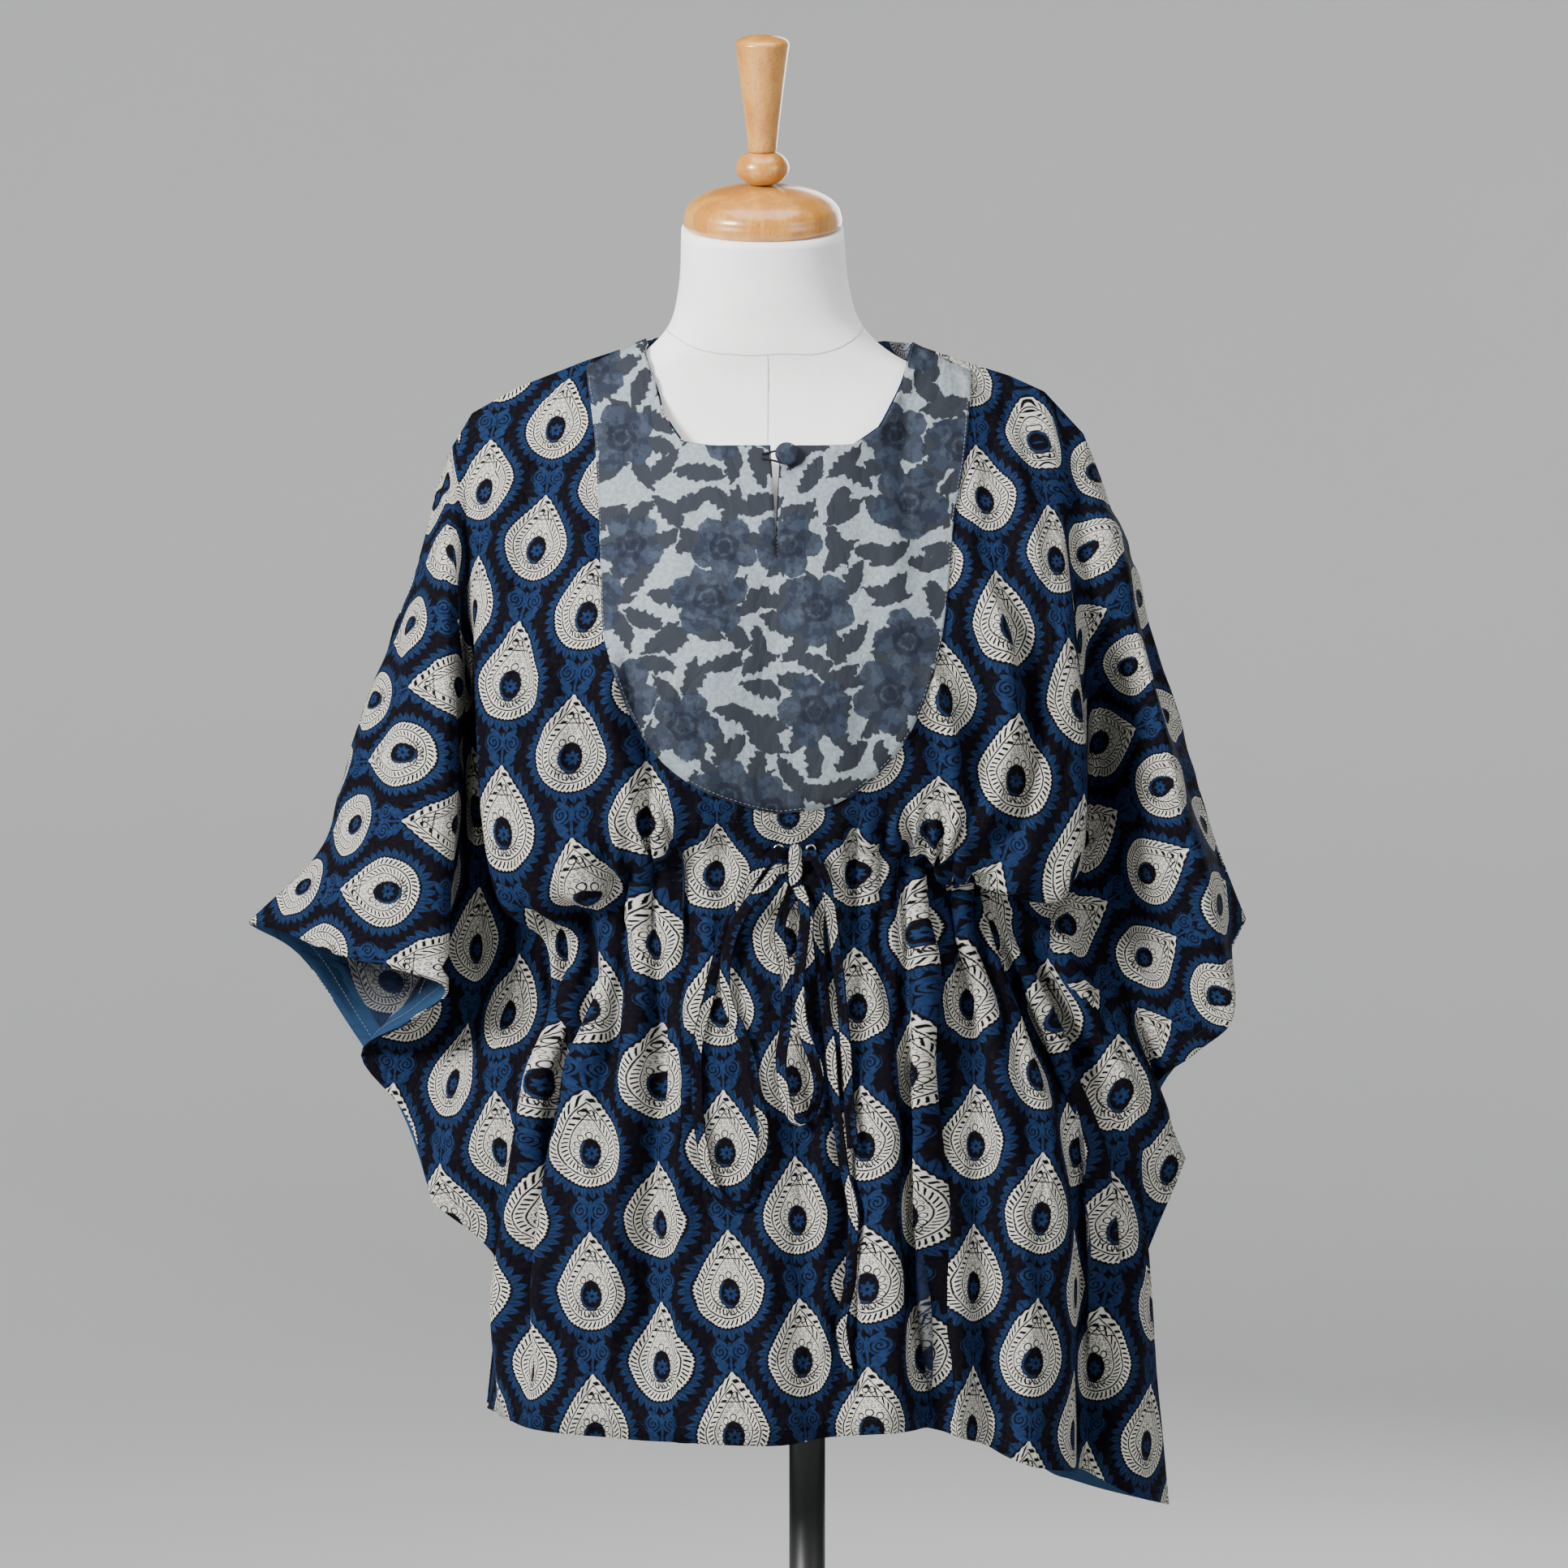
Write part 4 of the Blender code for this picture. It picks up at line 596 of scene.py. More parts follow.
def grid_faces(rows, columns):
    return [(r * columns + c, (r + 1) * columns + c, (r + 1) * columns + c + 1, r * columns + c + 1)
            for r in range(rows - 1) for c in range(columns - 1)]


def cell_areas(grid):
    down, right = grid[1:, :-1] - grid[:-1, :-1], grid[:-1, 1:] - grid[:-1, :-1]
    if grid.shape[2] == 2:
        return down[..., 0] * right[..., 1] - down[..., 1] * right[..., 0]
    return np.linalg.norm(np.cross(down, right), axis=2)


def coarse(count):
    """Every few rows or columns of a fine grid, with the last."""
    return sorted(set(range(0, count, FLAT_STEP)) | {count - 1})


def flatten(grid):
    """Flat coordinates in metres of a grid of cloth points, laid out with as little stretch as can be."""
    keep_r, keep_c = coarse(grid.shape[0]), coarse(grid.shape[1])
    small = grid[np.ix_(keep_r, keep_c)]
    rows, columns = small.shape[:2]
    mesh = bpy.data.meshes.new("flat")
    mesh.from_pydata([tuple(p) for p in small.reshape(-1, 3)], [], grid_faces(rows, columns))
    mesh.uv_layers.new(name="UVMap")
    obj = bpy.data.objects.new("flat", mesh)
    bpy.context.scene.collection.objects.link(obj)
    bpy.context.view_layer.objects.active = obj
    for other in bpy.data.objects:
        other.select_set(other is obj)
    bpy.ops.object.mode_set(mode="EDIT")
    bpy.ops.mesh.select_all(action="SELECT")
    bpy.ops.uv.unwrap(method="MINIMUM_STRETCH", margin=0, iterations=FLAT_ROUNDS, no_flip=True)
    bpy.ops.object.mode_set(mode="OBJECT")
    uv = np.zeros((rows * columns, 2))
    places = np.zeros(len(mesh.loops) * 2)
    mesh.uv_layers[0].uv.foreach_get("vector", places)
    corner = np.zeros(len(mesh.loops), int)
    mesh.loops.foreach_get("vertex_index", corner)
    uv[corner] = places.reshape(-1, 2)
    uv = uv.reshape(rows, columns, 2)
    bpy.data.objects.remove(obj)
    bpy.data.meshes.remove(mesh)
    uv *= math.sqrt(cell_areas(small).sum() / np.abs(cell_areas(uv)).sum())
    wide = np.stack([points_at(line, keep_c, np.arange(grid.shape[1])) for line in uv])
    columns = [points_at(wide[:, c], keep_r, np.arange(grid.shape[0])) for c in range(grid.shape[1])]
    return np.stack(columns, axis=1)


def level(uv, grid):
    """Turn a flat pattern so that its centre line hangs straight down from x 0 and x grows to the right."""
    centre = nearest(grid[0, :, 0], GARMENT_X)
    uv = uv - uv[0, centre]
    down = uv[-1, centre]
    turn = math.atan2(-down[0], -down[1])
    c, s = math.cos(turn), math.sin(turn)
    uv = uv @ np.array([[c, -s], [s, c]]).T
    if uv[-1, -1, 0] < uv[-1, 0, 0]:
        uv[..., 0] *= -1
    uv[..., 1] += grid[0, centre, 2]
    return uv + PRINT_SHIFT


def turn_about(points, pivot, angles):
    """Turn flat points about one of them."""
    c, s = np.cos(angles), np.sin(angles)
    x, y = (points - pivot).T
    return np.stack([x * c - y * s, x * s + y * c], axis=1) + pivot


def turn_sleeves(uv, names, row_list, column_list, turns):
    """Turn each sleeve of a flat pattern about the top of the fold that parts it from the body.

    Gives the pattern twice, for the cells this side of the turn's line and for those past it, and which cells
    those are.
    """
    near, past_line = uv.copy(), uv.copy()
    cells = np.zeros((len(row_list) - 1, len(column_list) - 1), bool)
    for angle, (down, name), line in turns:
        row = nearest(row_list, down)
        column = nearest(column_list, names.index(name))
        ends = [(place, names.index(fold)) for place, fold in line]
        outward = -1 if names.index(name) < len(names) / 2 else 1
        past = []
        for r, place in enumerate(row_list):
            past.append((np.array(column_list) - table(ends, place)) * outward)
            wide = TURN_NARROW + (TURN_WIDE - TURN_NARROW) * (1 - smooth(place / CHEST))
            eased = np.array([smooth(p / wide + 0.5) for p in past[-1]])
            moved = turn_about(uv[r], uv[row, column], np.radians(angle) * (eased if place < CHEST else 1.0))
            if place < CHEST:
                near[r, eased > 0] = moved[eased > 0]
            past_line[r, past[-1] > -wide] = moved[past[-1] > -wide]
        past = np.array(past)
        cells |= (past[1:, 1:] + past[1:, :-1] + past[:-1, 1:] + past[:-1, :-1]) > 0
    return np.stack([near, past_line]), cells.astype(int)


# ---- creases that are pressed into the panels, besides the folds of the tables ----
# height in mm (out of the cloth), half width in mm, then the crease's x, z in mm.
FRONT_CREASES = (
    ("body_ridge_l", 8, 8, ((-162, 1190), (-153, 1142), (-148, 1105), (-150, 1062))),
    ("body_valley_l", -5, 7, ((-175, 1180), (-168, 1142), (-162, 1095))),
    ("chest_valley_l", -10.5, 6, ((-103, 1180), (-96, 1130), (-84, 1085), (-86, 1040))),
    ("chest_ridge_l", 9, 6.5, ((-116, 1170), (-110, 1120), (-100, 1080), (-98, 1040))),
    ("shoulder_l", 8, 9, ((-168, 1340), (-178, 1290), (-184, 1230), (-176, 1160))),
    ("shoulder_r", 8, 9, ((150, 1345), (160, 1300), (172, 1250), (178, 1190))),
    ("neck_pull_l", 4, 7, ((-132, 1340), (-136, 1290), (-132, 1240), (-124, 1190))),
    ("neck_pull_r", 4, 7, ((134, 1330), (136, 1280), (130, 1230), (124, 1180))),
    ("bag_ridge_r", 12, 8, ((128, 1240), (150, 1180), (158, 1116), (148, 1066), (124, 1026))),
    ("bag_valley_r", -11.5, 7, ((146, 1230), (167, 1172), (175, 1112), (166, 1060), (142, 1020))),
    ("chest_ridge_r", 10.5, 6, ((100, 1170), (116, 1112), (121, 1060), (114, 1026))),
    ("puff_l", 7, 11, ((-146, 1030), (-132, 1010), (-116, 1000))),
    ("puff_l_b", 5, 8, ((-150, 1060), (-134, 1040), (-116, 1026))),
    ("pleat_l_a", 8, 4, ((-112, 1082), (-106, 1050), (-104, 1012), (-110, 970))),
    ("pleat_l_b", 9, 4.5, ((-100, 1088), (-93, 1050), (-90, 1010), (-94, 960))),
    ("pleat_l_c", 8, 4, ((-86, 1086), (-79, 1050), (-77, 1006), (-80, 960))),
    ("pleat_l_d", 6.5, 4.5, ((-72, 1080), (-66, 1044), (-64, 1000), (-66, 950))),
    ("pleat_l_e", 4, 5, ((-52, 1070), (-48, 1036), (-47, 990), (-50, 940))),
    ("pleat_mid_a", 4.5, 6, ((-26, 1066), (-24, 1030), (-26, 970))),
    ("pleat_mid_b", 4.5, 6, ((-6, 1062), (-8, 1026), (-10, 970))),
    ("pleat_mid_c", 4.5, 6, ((44, 1066), (43, 1030), (46, 970))),
    ("pleat_mid_d", 5.5, 5, ((64, 1068), (62, 1034), (66, 980))),
    ("pleat_mid_valley", -6, 5, ((53, 1070), (51, 1034), (52, 985), (50, 930))),
    ("pleat_r_a", 6.5, 4, ((84, 1080), (80, 1040), (82, 990), (84, 940))),
    ("pleat_r_b", 9, 3.6, ((97, 1078), (94, 1040), (95, 985), (99, 930))),
    ("pleat_r_c", 10.5, 3.6, ((108, 1076), (105, 1040), (106, 985), (110, 930))),
    ("pleat_r_d", 10.5, 3.6, ((120, 1072), (116, 1036), (116, 985), (120, 935))),
    ("pleat_r_e", 8, 4, ((132, 1064), (127, 1030), (126, 990), (132, 950))),
    ("skirt_ridge_l_a", 15.5, 7,
     ((-106, 1000), (-112, 960), (-121, 905), (-140, 838), (-152, 751), (-158, 640))),
    ("skirt_valley_l", -13, 6, ((-114, 985), (-128, 925), (-150, 850), (-165, 770), (-172, 640))),
    ("skirt_ridge_l_b", 12, 6,
     ((-122, 985), (-136, 945), (-160, 878), (-173, 803), (-181, 740), (-185, 640))),
    ("skirt_ridge_l_c", 10.5, 8, ((-92, 980), (-97, 900), (-104, 810), (-110, 720), (-112, 640))),
    ("skirt_valley_l_c", -10.5, 7, ((-78, 970), (-80, 890), (-84, 800), (-88, 700), (-89, 640))),
    ("skirt_ridge_l_d", 8.5, 9, ((-62, 970), (-62, 880), (-62, 780), (-61, 640))),
    ("skirt_middle", 12, 7, ((24, 960), (31, 883), (33, 760), (31, 640))),
    ("skirt_middle_valley", -12, 6, ((38, 960), (46, 883), (48, 760), (47, 640))),
    ("skirt_left_of_middle", 8.5, 9, ((-12, 950), (-8, 860), (-6, 740), (-6, 640))),
    ("skirt_long_r", 16, 5.5, ((99, 1010), (100, 950), (103, 850), (103, 740), (104, 640))),
    ("skirt_long_r_valley", -13, 6, ((113, 980), (114, 900), (117, 800), (118, 640))),
    ("skirt_soft_r", 9.5, 8, ((70, 960), (74, 860), (76, 740), (77, 640))),
    ("flap_ridge_r_a", 14, 8, ((133, 1009), (162, 966), (192, 902), (214, 793), (222, 640))),
    ("flap_valley_r", -12, 7, ((142, 1004), (178, 960), (210, 894), (234, 806), (244, 700))),
    ("flap_ridge_r_b", 11, 7, ((150, 1008), (192, 962), (228, 892), (262, 826))),
    ("flap_line_r", 8, 7, ((126, 990), (142, 930), (156, 850), (168, 740), (172, 640))),
    ("below_slit", -2.5, 7, ((1, 1222), (0, 1190), (2, 1150))),
    ("beside_slit_l", 3.0, 9, ((-10, 1300), (-11, 1262), (-9, 1225))),
    ("beside_slit_r", 2.5, 8, ((8, 1290), (9, 1255), (8, 1222))),
    ("yoke_soft_l", 3, 11, ((-60, 1290), (-68, 1230), (-70, 1170))),
    ("yoke_soft_l_b", 2.5, 9, ((-36, 1230), (-40, 1180), (-38, 1120))),
    ("yoke_soft_r", 3.5, 11, ((70, 1290), (78, 1220), (80, 1160))),
    ("yoke_soft_r_b", 2.5, 9, ((34, 1200), (40, 1150), (38, 1110))),
    ("sleeve_small_l", 6, 7, ((-262, 1175), (-278, 1110), (-290, 1078), (-304, 1042))),
    ("sleeve_soft_l", 4, 12, ((-236, 1230), (-246, 1160), (-252, 1080), (-262, 1010))),
    ("sleeve_crease_r", -6, 8, ((242, 1230), (262, 1140), (280, 1060), (288, 1004))),
    ("sleeve_crease_r_b", 5, 9, ((228, 1300), (252, 1200), (276, 1100), (296, 1020), (304, 960))),
)
CREASE_END = 0.25  # share of a crease's length over which it rises from the flat
EASE_TOP = 0.5  # stations over which creases fade in below the seams

# Soft waves of worn cotton: (waves per metre across, waves per metre down, height in mm, phase)
SOFT_WAVES = ((17.0, 3.3, 1.0, 0.4), (27.0, -4.1, 0.6, 1.7), (11.0, 6.2, 1.3, 2.9), (44.0, 7.0, 0.25, 4.1))
WAVE_BEND, WAVE_BEND_RATE = 0.012, 23  # how far they swing aside, and how often
CALM_ACROSS, CALM_DOWN = 17, 13  # how often they fade away


def line_distance(points, line):
    """Distance of x, z points to a broken line, and how far along it they lie, from 0 to 1."""
    best = np.full(len(points), 1e9)
    place = np.zeros(len(points))
    line = np.array(line, float)
    run = run_of(line)
    for i, (a, b) in enumerate(zip(line, line[1:])):
        t = np.clip(((points - a) @ (b - a)) / ((b - a) @ (b - a)), 0, 1)
        d = np.linalg.norm(points - a - t[:, None] * (b - a), axis=1)
        closer = d < best
        best[closer] = d[closer]
        place[closer] = ((run[i] + t * (run[i + 1] - run[i])) / run[-1])[closer]
    return best, place


def press_creases(grid, creases, row_list, outward):
    """Move a panel's points along its normals where a crease passes."""
    plan = np.stack([(grid[..., 0] - GARMENT_X) / MM, grid[..., 2] / MM], axis=-1).reshape(-1, 2)
    height = np.zeros(len(plan))
    for _, tall, wide, line in creases:
        d, place = line_distance(plan, line)
        ends = np.clip(np.minimum(place, 1 - place) / CREASE_END, 0, 1)
        ends = ends * ends * (3 - 2 * ends)
        height += tall * MM * np.exp(-(d / wide) ** 2) * ends
    height = height.reshape(grid.shape[:2])
    fade = np.array([smooth(place / EASE_TOP) for place in row_list])[:, None]
    grid += normals(grid) * outward * (height * fade)[..., None]


def wear_waves(grid, uv, row_list, outward, seed):
    """Shallow irregular waves over a whole panel."""
    height = np.zeros(grid.shape[:2])
    for across_rate, down_rate, tall, phase in SOFT_WAVES:
        bend = WAVE_BEND * np.sin(uv[..., 1] * WAVE_BEND_RATE + phase * 2 + seed)
        height += tall * np.sin(2 * math.pi * ((uv[..., 0] + bend) * across_rate + uv[..., 1] * down_rate)
                                + phase + seed)
    patches = np.sin(uv[..., 0] * CALM_ACROSS + seed) * np.sin(uv[..., 1] * CALM_DOWN + seed * 2)
    fade = np.array([smooth(place / EASE_TOP) for place in row_list])[:, None]
    grid += normals(grid) * outward * (height * MM * (0.5 + 0.5 * patches) * fade)[..., None]


# ---- panels at full detail ----

DRAPE_ROUNDS = 3


def fine_panel(folds, lines, gathers, rows, turns, creases, outward, seed, form_tree):
    """A panel's points, flat patterns, which one each cell takes, its folds' names and columns' places."""
    grid, row_list, column_list = panel(folds, *lines, gathers, rows, outward)
    names = [row[0] for row in folds]
    uv, cells = turn_sleeves(level(flatten(grid), grid), names, row_list, column_list, turns)
    press_creases(grid, creases, row_list, outward)
    wear_waves(grid, uv[0], row_list, outward, seed)
    sew_edges(grid, names, column_list, -outward)
    drape_over(grid, form_tree, FORM_CLEAR, DRAPE_ROUNDS)
    return grid, uv, cells, names, column_list


def fine_front(form_tree):
    return fine_panel(FRONT_FOLDS, (TOP_LEFT, TOP_RIGHT), FRONT_GATHERS, FRONT_ROWS, FRONT_TURNS,
                      FRONT_CREASES, 1, 0.0, form_tree)


def fine_back(form_tree):
    lines = back_top(TOP_LEFT, BACK_NECK_LEFT), back_top(TOP_RIGHT, BACK_NECK_RIGHT)
    return fine_panel(back_folds(), lines, BACK_GATHERS, BACK_ROWS, BACK_TURNS, (), -1, 2.0, form_tree)


# ---- shader graphs written as sums ----


class Wire:
    """A value in a shader graph; sums of wires become Math nodes."""

    def __init__(self, tree, socket):
        self.tree, self.socket = tree, socket

    def math(self, operation, *others):
        node = self.tree.nodes.new("ShaderNodeMath")
        node.operation = operation
        for socket, value in zip(node.inputs, (self,) + others):
            put(self.tree, socket, value)
        return Wire(self.tree, node.outputs[0])

    def __add__(self, other):
        return self.math("ADD", other)

    def __sub__(self, other):
        return self.math("SUBTRACT", other)

    def __rsub__(self, other):
        return (self * -1.0) + other

    def __mul__(self, other):
        return self.math("MULTIPLY", other)

    def __truediv__(self, other):
        return self.math("DIVIDE", other)

    __radd__, __rmul__ = __add__, __mul__

    def math_vector(self, operation, amount):
        node = self.tree.nodes.new("ShaderNodeVectorMath")
        node.operation = operation
        put(self.tree, node.inputs[0], self)
        node.inputs[1].default_value = amount
        return Wire(self.tree, node.outputs[0])

    def power(self, n):
        return self.math("MAXIMUM", 0.0).math("POWER", n)

    def high(self, other):
        return self.math("MAXIMUM", other)

    def size(self):
        return self.math("ABSOLUTE")

    def teeth(self, pitch):
        """A zigzag between 0 and 1."""
        return self.math("PINGPONG", pitch / 2) * (2 / pitch)

    def wrap(self, pitch):
        """The place in a repeat, from minus half to half of the pitch."""
        return self.math("WRAP", pitch / 2, -pitch / 2)

    def below(self, edge, soft):
        """1 where the value is under the edge, 0 above, with a soft step between."""
        node = self.tree.nodes.new("ShaderNodeMapRange")
        node.interpolation_type = "SMOOTHSTEP"
        put(self.tree, node.inputs["Value"], self)
        put(self.tree, node.inputs["From Min"], edge - soft)
        put(self.tree, node.inputs["From Max"], edge + soft)
        node.inputs["To Min"].default_value = 1.0
        node.inputs["To Max"].default_value = 0.0
        return Wire(self.tree, node.outputs[0])

    def between(self, low, high, soft):
        return self.below(high, soft) * (1.0 - self.below(low, soft))


def put(tree, socket, value):
    """Link a wire to a socket, or set the socket's own value."""
    if isinstance(value, Wire):
        tree.links.new(value.socket, socket)
    else:
        socket.default_value = value


def join(x, y, z=0.0):
    """A vector from its parts."""
    node = x.tree.nodes.new("ShaderNodeCombineXYZ")
    for socket, value in zip(node.inputs, (x, y, z)):
        put(x.tree, socket, value)
    return Wire(x.tree, node.outputs[0])


def parts(vector):
    """The x, y and z of a vector."""
    node = vector.tree.nodes.new("ShaderNodeSeparateXYZ")
    put(vector.tree, node.inputs[0], vector)
    return [Wire(vector.tree, out) for out in node.outputs]


def far(x, y):
    """Length of x, y."""
    return (x * x + y * y).math("SQRT")


def angle_of(x, y):
    """Angle from up, clockwise, in turns from -0.5 to 0.5."""
    return x.math("ARCTAN2", y) * (0.5 / math.pi)


def blend(low, high, amount):
    """One colour over another."""
    tree = amount.tree
    node = tree.nodes.new("ShaderNodeMix")
    node.data_type = "RGBA"
    put(tree, node.inputs[0], amount)
    put(tree, node.inputs[6], low)
    put(tree, node.inputs[7], high)
    return Wire(tree, node.outputs[2])


def noise(vector, scale, detail=2.0, rough=0.5):
    tree = vector.tree
    node = tree.nodes.new("ShaderNodeTexNoise")
    put(tree, node.inputs["Vector"], vector)
    node.inputs["Scale"].default_value = scale
    node.inputs["Detail"].default_value = detail
    node.inputs["Roughness"].default_value = rough
    return Wire(tree, node.outputs["Fac"])


def group(name, inputs, outputs, build):
    """A node group from its sockets' names and kinds; build makes the output wires from the input wires."""
    tree = bpy.data.node_groups.new(name, "ShaderNodeTree")
    kinds = {"value": "NodeSocketFloat", "color": "NodeSocketColor", "vector": "NodeSocketVector"}
    for side, sockets in (("INPUT", inputs), ("OUTPUT", outputs)):
        for title, kind in sockets.items():
            tree.interface.new_socket(title, in_out=side, socket_type=kinds[kind])
    ends = tree.nodes.new("NodeGroupInput"), tree.nodes.new("NodeGroupOutput")
    wires = [Wire(tree, ends[0].outputs[title]) for title in inputs]
    for title, wire in zip(outputs, build(*wires)):
        put(tree, ends[1].inputs[title], wire)
    return tree


def use(tree, node_group, **values):
    """Place a group in a graph; gives its outputs by name. Input names have _ for a space."""
    node = tree.nodes.new("ShaderNodeGroup")
    node.node_tree = node_group
    for title, value in values.items():
        put(tree, node.inputs[title.replace("_", " ")], value)
    return {out.name: Wire(tree, out) for out in node.outputs}


# ---- the main print ----
# Teardrops with a halo of leaves, and a scroll and a sprig below, half a repeat lower in every other column.

REPEAT = 95.0  # mm
DROP_HALF, DROP_ROUND, DROP_TIP = 23.5, 27.0, 39.5  # half its width, then down and up from its widest line
TIP_POWER, TIP_SLOPE = 1.45, 0.22
EYE_HALF, EYE_TALL, EYE_LOW = 7.4, 10.4, 4.0
SOFT = 0.28  # mm, how soft the ink's edge is
MOTIF_LOW = 9.0  # how far the middle of a motif with its sprig is below the widest line
NOTCHES, NOTCH_DEEP = 56, 0.9  # round the drop's edge
OUTER_STROKES, INNER_STROKES = (1.3, 4.7), (6.9, 10.1)  # bands of slanted strokes, in mm in from the edge
OUTER_COUNT, OUTER_LEAN, OUTER_WIDE = 42.0, 0.20, 0.21  # how many, how they slant, share that is dark
INNER_COUNT, INNER_LEAN, INNER_WIDE = 34.0, 0.22, 0.20
OUTER_LINE, INNER_LINE, CROSS_LINE = (5.2, 6.1), (10.6, 11.4), (19.0, 19.8)
INNER_LINE_TOP = 24.0
CURL_WIDE, CURL_TALL, CURL_LINE = 3.6, 3.4, (0.75, 1.35)
CURL_INWARD, CURL_CLEAR = 12.0, 1.45  # mm in from the edge, eye sizes off its middle
EYE_MM = 9.0  # mm to one eye size
SCALLOP_WIDE, SCALLOP_OUT, SCALLOP_LINE = 5.8, 1.8, (1.6, 2.4)
TIP_RING_SIDE, TIP_RING_UP, TIP_RING_LINE = 1.9, 24.0, (1.5, 2.3)
SCALLOPS, PETALS, LEAVES = 13.0, 7.0, 30.0  # round the eye, in its flower and round the drop
EYE_FLOWER, PETAL_LONG, PETAL_CUT, FLOWER_DOT = (0.8, 0.5), 5.2, 4.6, 1.1
CRESCENT, CRESCENT_LEAN, CRESCENT_SIDE = (0.80, 0.93), 0.35, -1.5
LEAF_ROOT, LEAF_REACH, LEAF_TAPER = 0.9, 7.6, 8.6
SCROLL_SIDE, SCROLL_LOW, SCROLL_REACH, SCROLL_PITCH = 6.6, 42.0, 6.6, 2.6
SPRIG_LEAVES = ((-36.5, 5.2, 2.0), (-49.5, 6.2, 2.2), (-54.0, 5.0, 2.0))  # height, distance aside, half width
SPRIG_LEAF_LONG, SPRIG_COS, SPRIG_SIN = 5.2, 0.82, 0.57
STEM_HALF, STEM_LOW, STEM_REACH = 0.8, 47.0, 11.0
BEYOND = 99.0  # mm, farther than any part of a motif
WOBBLE_X, WOBBLE_Y, ROUGH_EDGE = 3.0, 2.5, 0.7  # mm by which the blocks' outlines wander


def teardrop(x, y):
    """Cream and blue ink of one motif at x, y in mm from the middle of its widest line, tip up."""
    side = x.size()
    high = y.high(0.0) / DROP_TIP
    pointed = (DROP_HALF * (1.0 - high.power(TIP_POWER)) - side) * (1.0 - high * TIP_SLOPE)
    rounded = DROP_HALF - far(x, y * (DROP_HALF / DROP_ROUND))
    lower = y.below(0.0, 0.01)
    inward = rounded * lower + pointed * (1.0 - lower)  # mm in from the edge
    up = y + EYE_LOW
    turn = angle_of(x, up)
    cut = inward - (turn + 0.5).teeth(1 / NOTCHES) * NOTCH_DEEP
    drop = 1.0 - cut.below(0.0, SOFT)

    # dark lines inside: bands of slanted strokes, outlines, curls and a row of scallops round the eye
    eye = far(x / EYE_HALF, up / EYE_TALL)
    eye_dark = eye.below(1.0, 0.05)
    slant_out = (turn * OUTER_COUNT + inward * OUTER_LEAN).wrap(1.0).size()
    slant_in = (turn * INNER_COUNT - inward * INNER_LEAN).wrap(1.0).size()
    dark = slant_out.below(OUTER_WIDE, 0.07) * inward.between(*OUTER_STROKES, SOFT)
    dark = dark.high(inward.between(*OUTER_LINE, SOFT))
    dark = dark.high(slant_in.below(INNER_WIDE, 0.07) * inward.between(*INNER_STROKES, SOFT))
    dark = dark.high(inward.between(*INNER_LINE, SOFT) * y.below(INNER_LINE_TOP, 1.0))
    curl = far((x + y * 0.4).wrap(CURL_WIDE), (y + 0.9).wrap(CURL_TALL)).between(*CURL_LINE, SOFT)
    curl = curl * inward.between(CURL_INWARD, BEYOND, SOFT) * (1.0 - eye.below(CURL_CLEAR, 0.1))
    dark = dark.high(curl * 0.8)
    ring = (eye - 1.0) * EYE_MM
    scallop = far((turn * SCALLOPS).wrap(1.0) * SCALLOP_WIDE, ring - SCALLOP_OUT)
    dark = dark.high(scallop.between(*SCALLOP_LINE, SOFT) * inward.between(4.0, BEYOND, SOFT))
    dark = dark.high(y.between(*CROSS_LINE, SOFT) * inward.between(5.5, BEYOND, SOFT))
    tip_rings = far(side - TIP_RING_SIDE, y - TIP_RING_UP).between(*TIP_RING_LINE, SOFT)
    dark = dark.high(tip_rings).high(eye_dark)
    cream = drop * (1.0 - dark)

    # the eye: a crescent at its left and a flower of seven petals
    flower_turn = angle_of(x - EYE_FLOWER[0], up + EYE_FLOWER[1])
    flower_far = far(x - EYE_FLOWER[0], up + EYE_FLOWER[1])
    petals = flower_far / (PETAL_LONG - (flower_turn * PETALS).wrap(1.0).size() * PETAL_CUT)
    flower = petals.below(1.0, 0.1) * (1.0 - flower_far.below(FLOWER_DOT, SOFT))
    crescent = eye.between(*CRESCENT, 0.03) * (x + up * CRESCENT_LEAN).below(CRESCENT_SIDE, 2.0)

    # the halo: overlapping leaves all round the drop, each with a dark edge
    out = inward * -1.0
    leaf = (turn * LEAVES + out * 0.050).wrap(1.0)
    reach = LEAF_REACH - leaf.size() * LEAF_TAPER
    halo = out.between(LEAF_ROOT, reach, 0.35) * (1.0 - leaf.size().below(0.05, 0.04) * 0.75)
    halo = halo * (1.0 - (leaf.size() - 0.4).size().below(0.03, 0.03) * 0.8)

    # below it, a double scroll and a leafy sprig
    scroll_far = far(side - SCROLL_SIDE, y + SCROLL_LOW)
    scroll_turn = angle_of(side - SCROLL_SIDE, y + SCROLL_LOW)
    scroll = (scroll_far / SCROLL_PITCH + scroll_turn).wrap(1.0).size().below(0.33, 0.07)
    scroll = scroll * scroll_far.below(SCROLL_REACH, SOFT)
    sprig = scroll.high(side.below(STEM_HALF, SOFT) * (y + STEM_LOW).size().below(STEM_REACH, SOFT))
    for height, aside, half in SPRIG_LEAVES:
        along = (side - aside) * SPRIG_COS + (y - height) * SPRIG_SIN
        off = (y - height) * SPRIG_COS - (side - aside) * SPRIG_SIN
        sprig = sprig.high(far(along / SPRIG_LEAF_LONG, off / half).below(1.0, 0.08))
    blue = halo.high(sprig * out.between(LEAF_ROOT, BEYOND, 0.3))
    return cream, blue.high(flower * eye_dark).high(crescent * eye_dark)


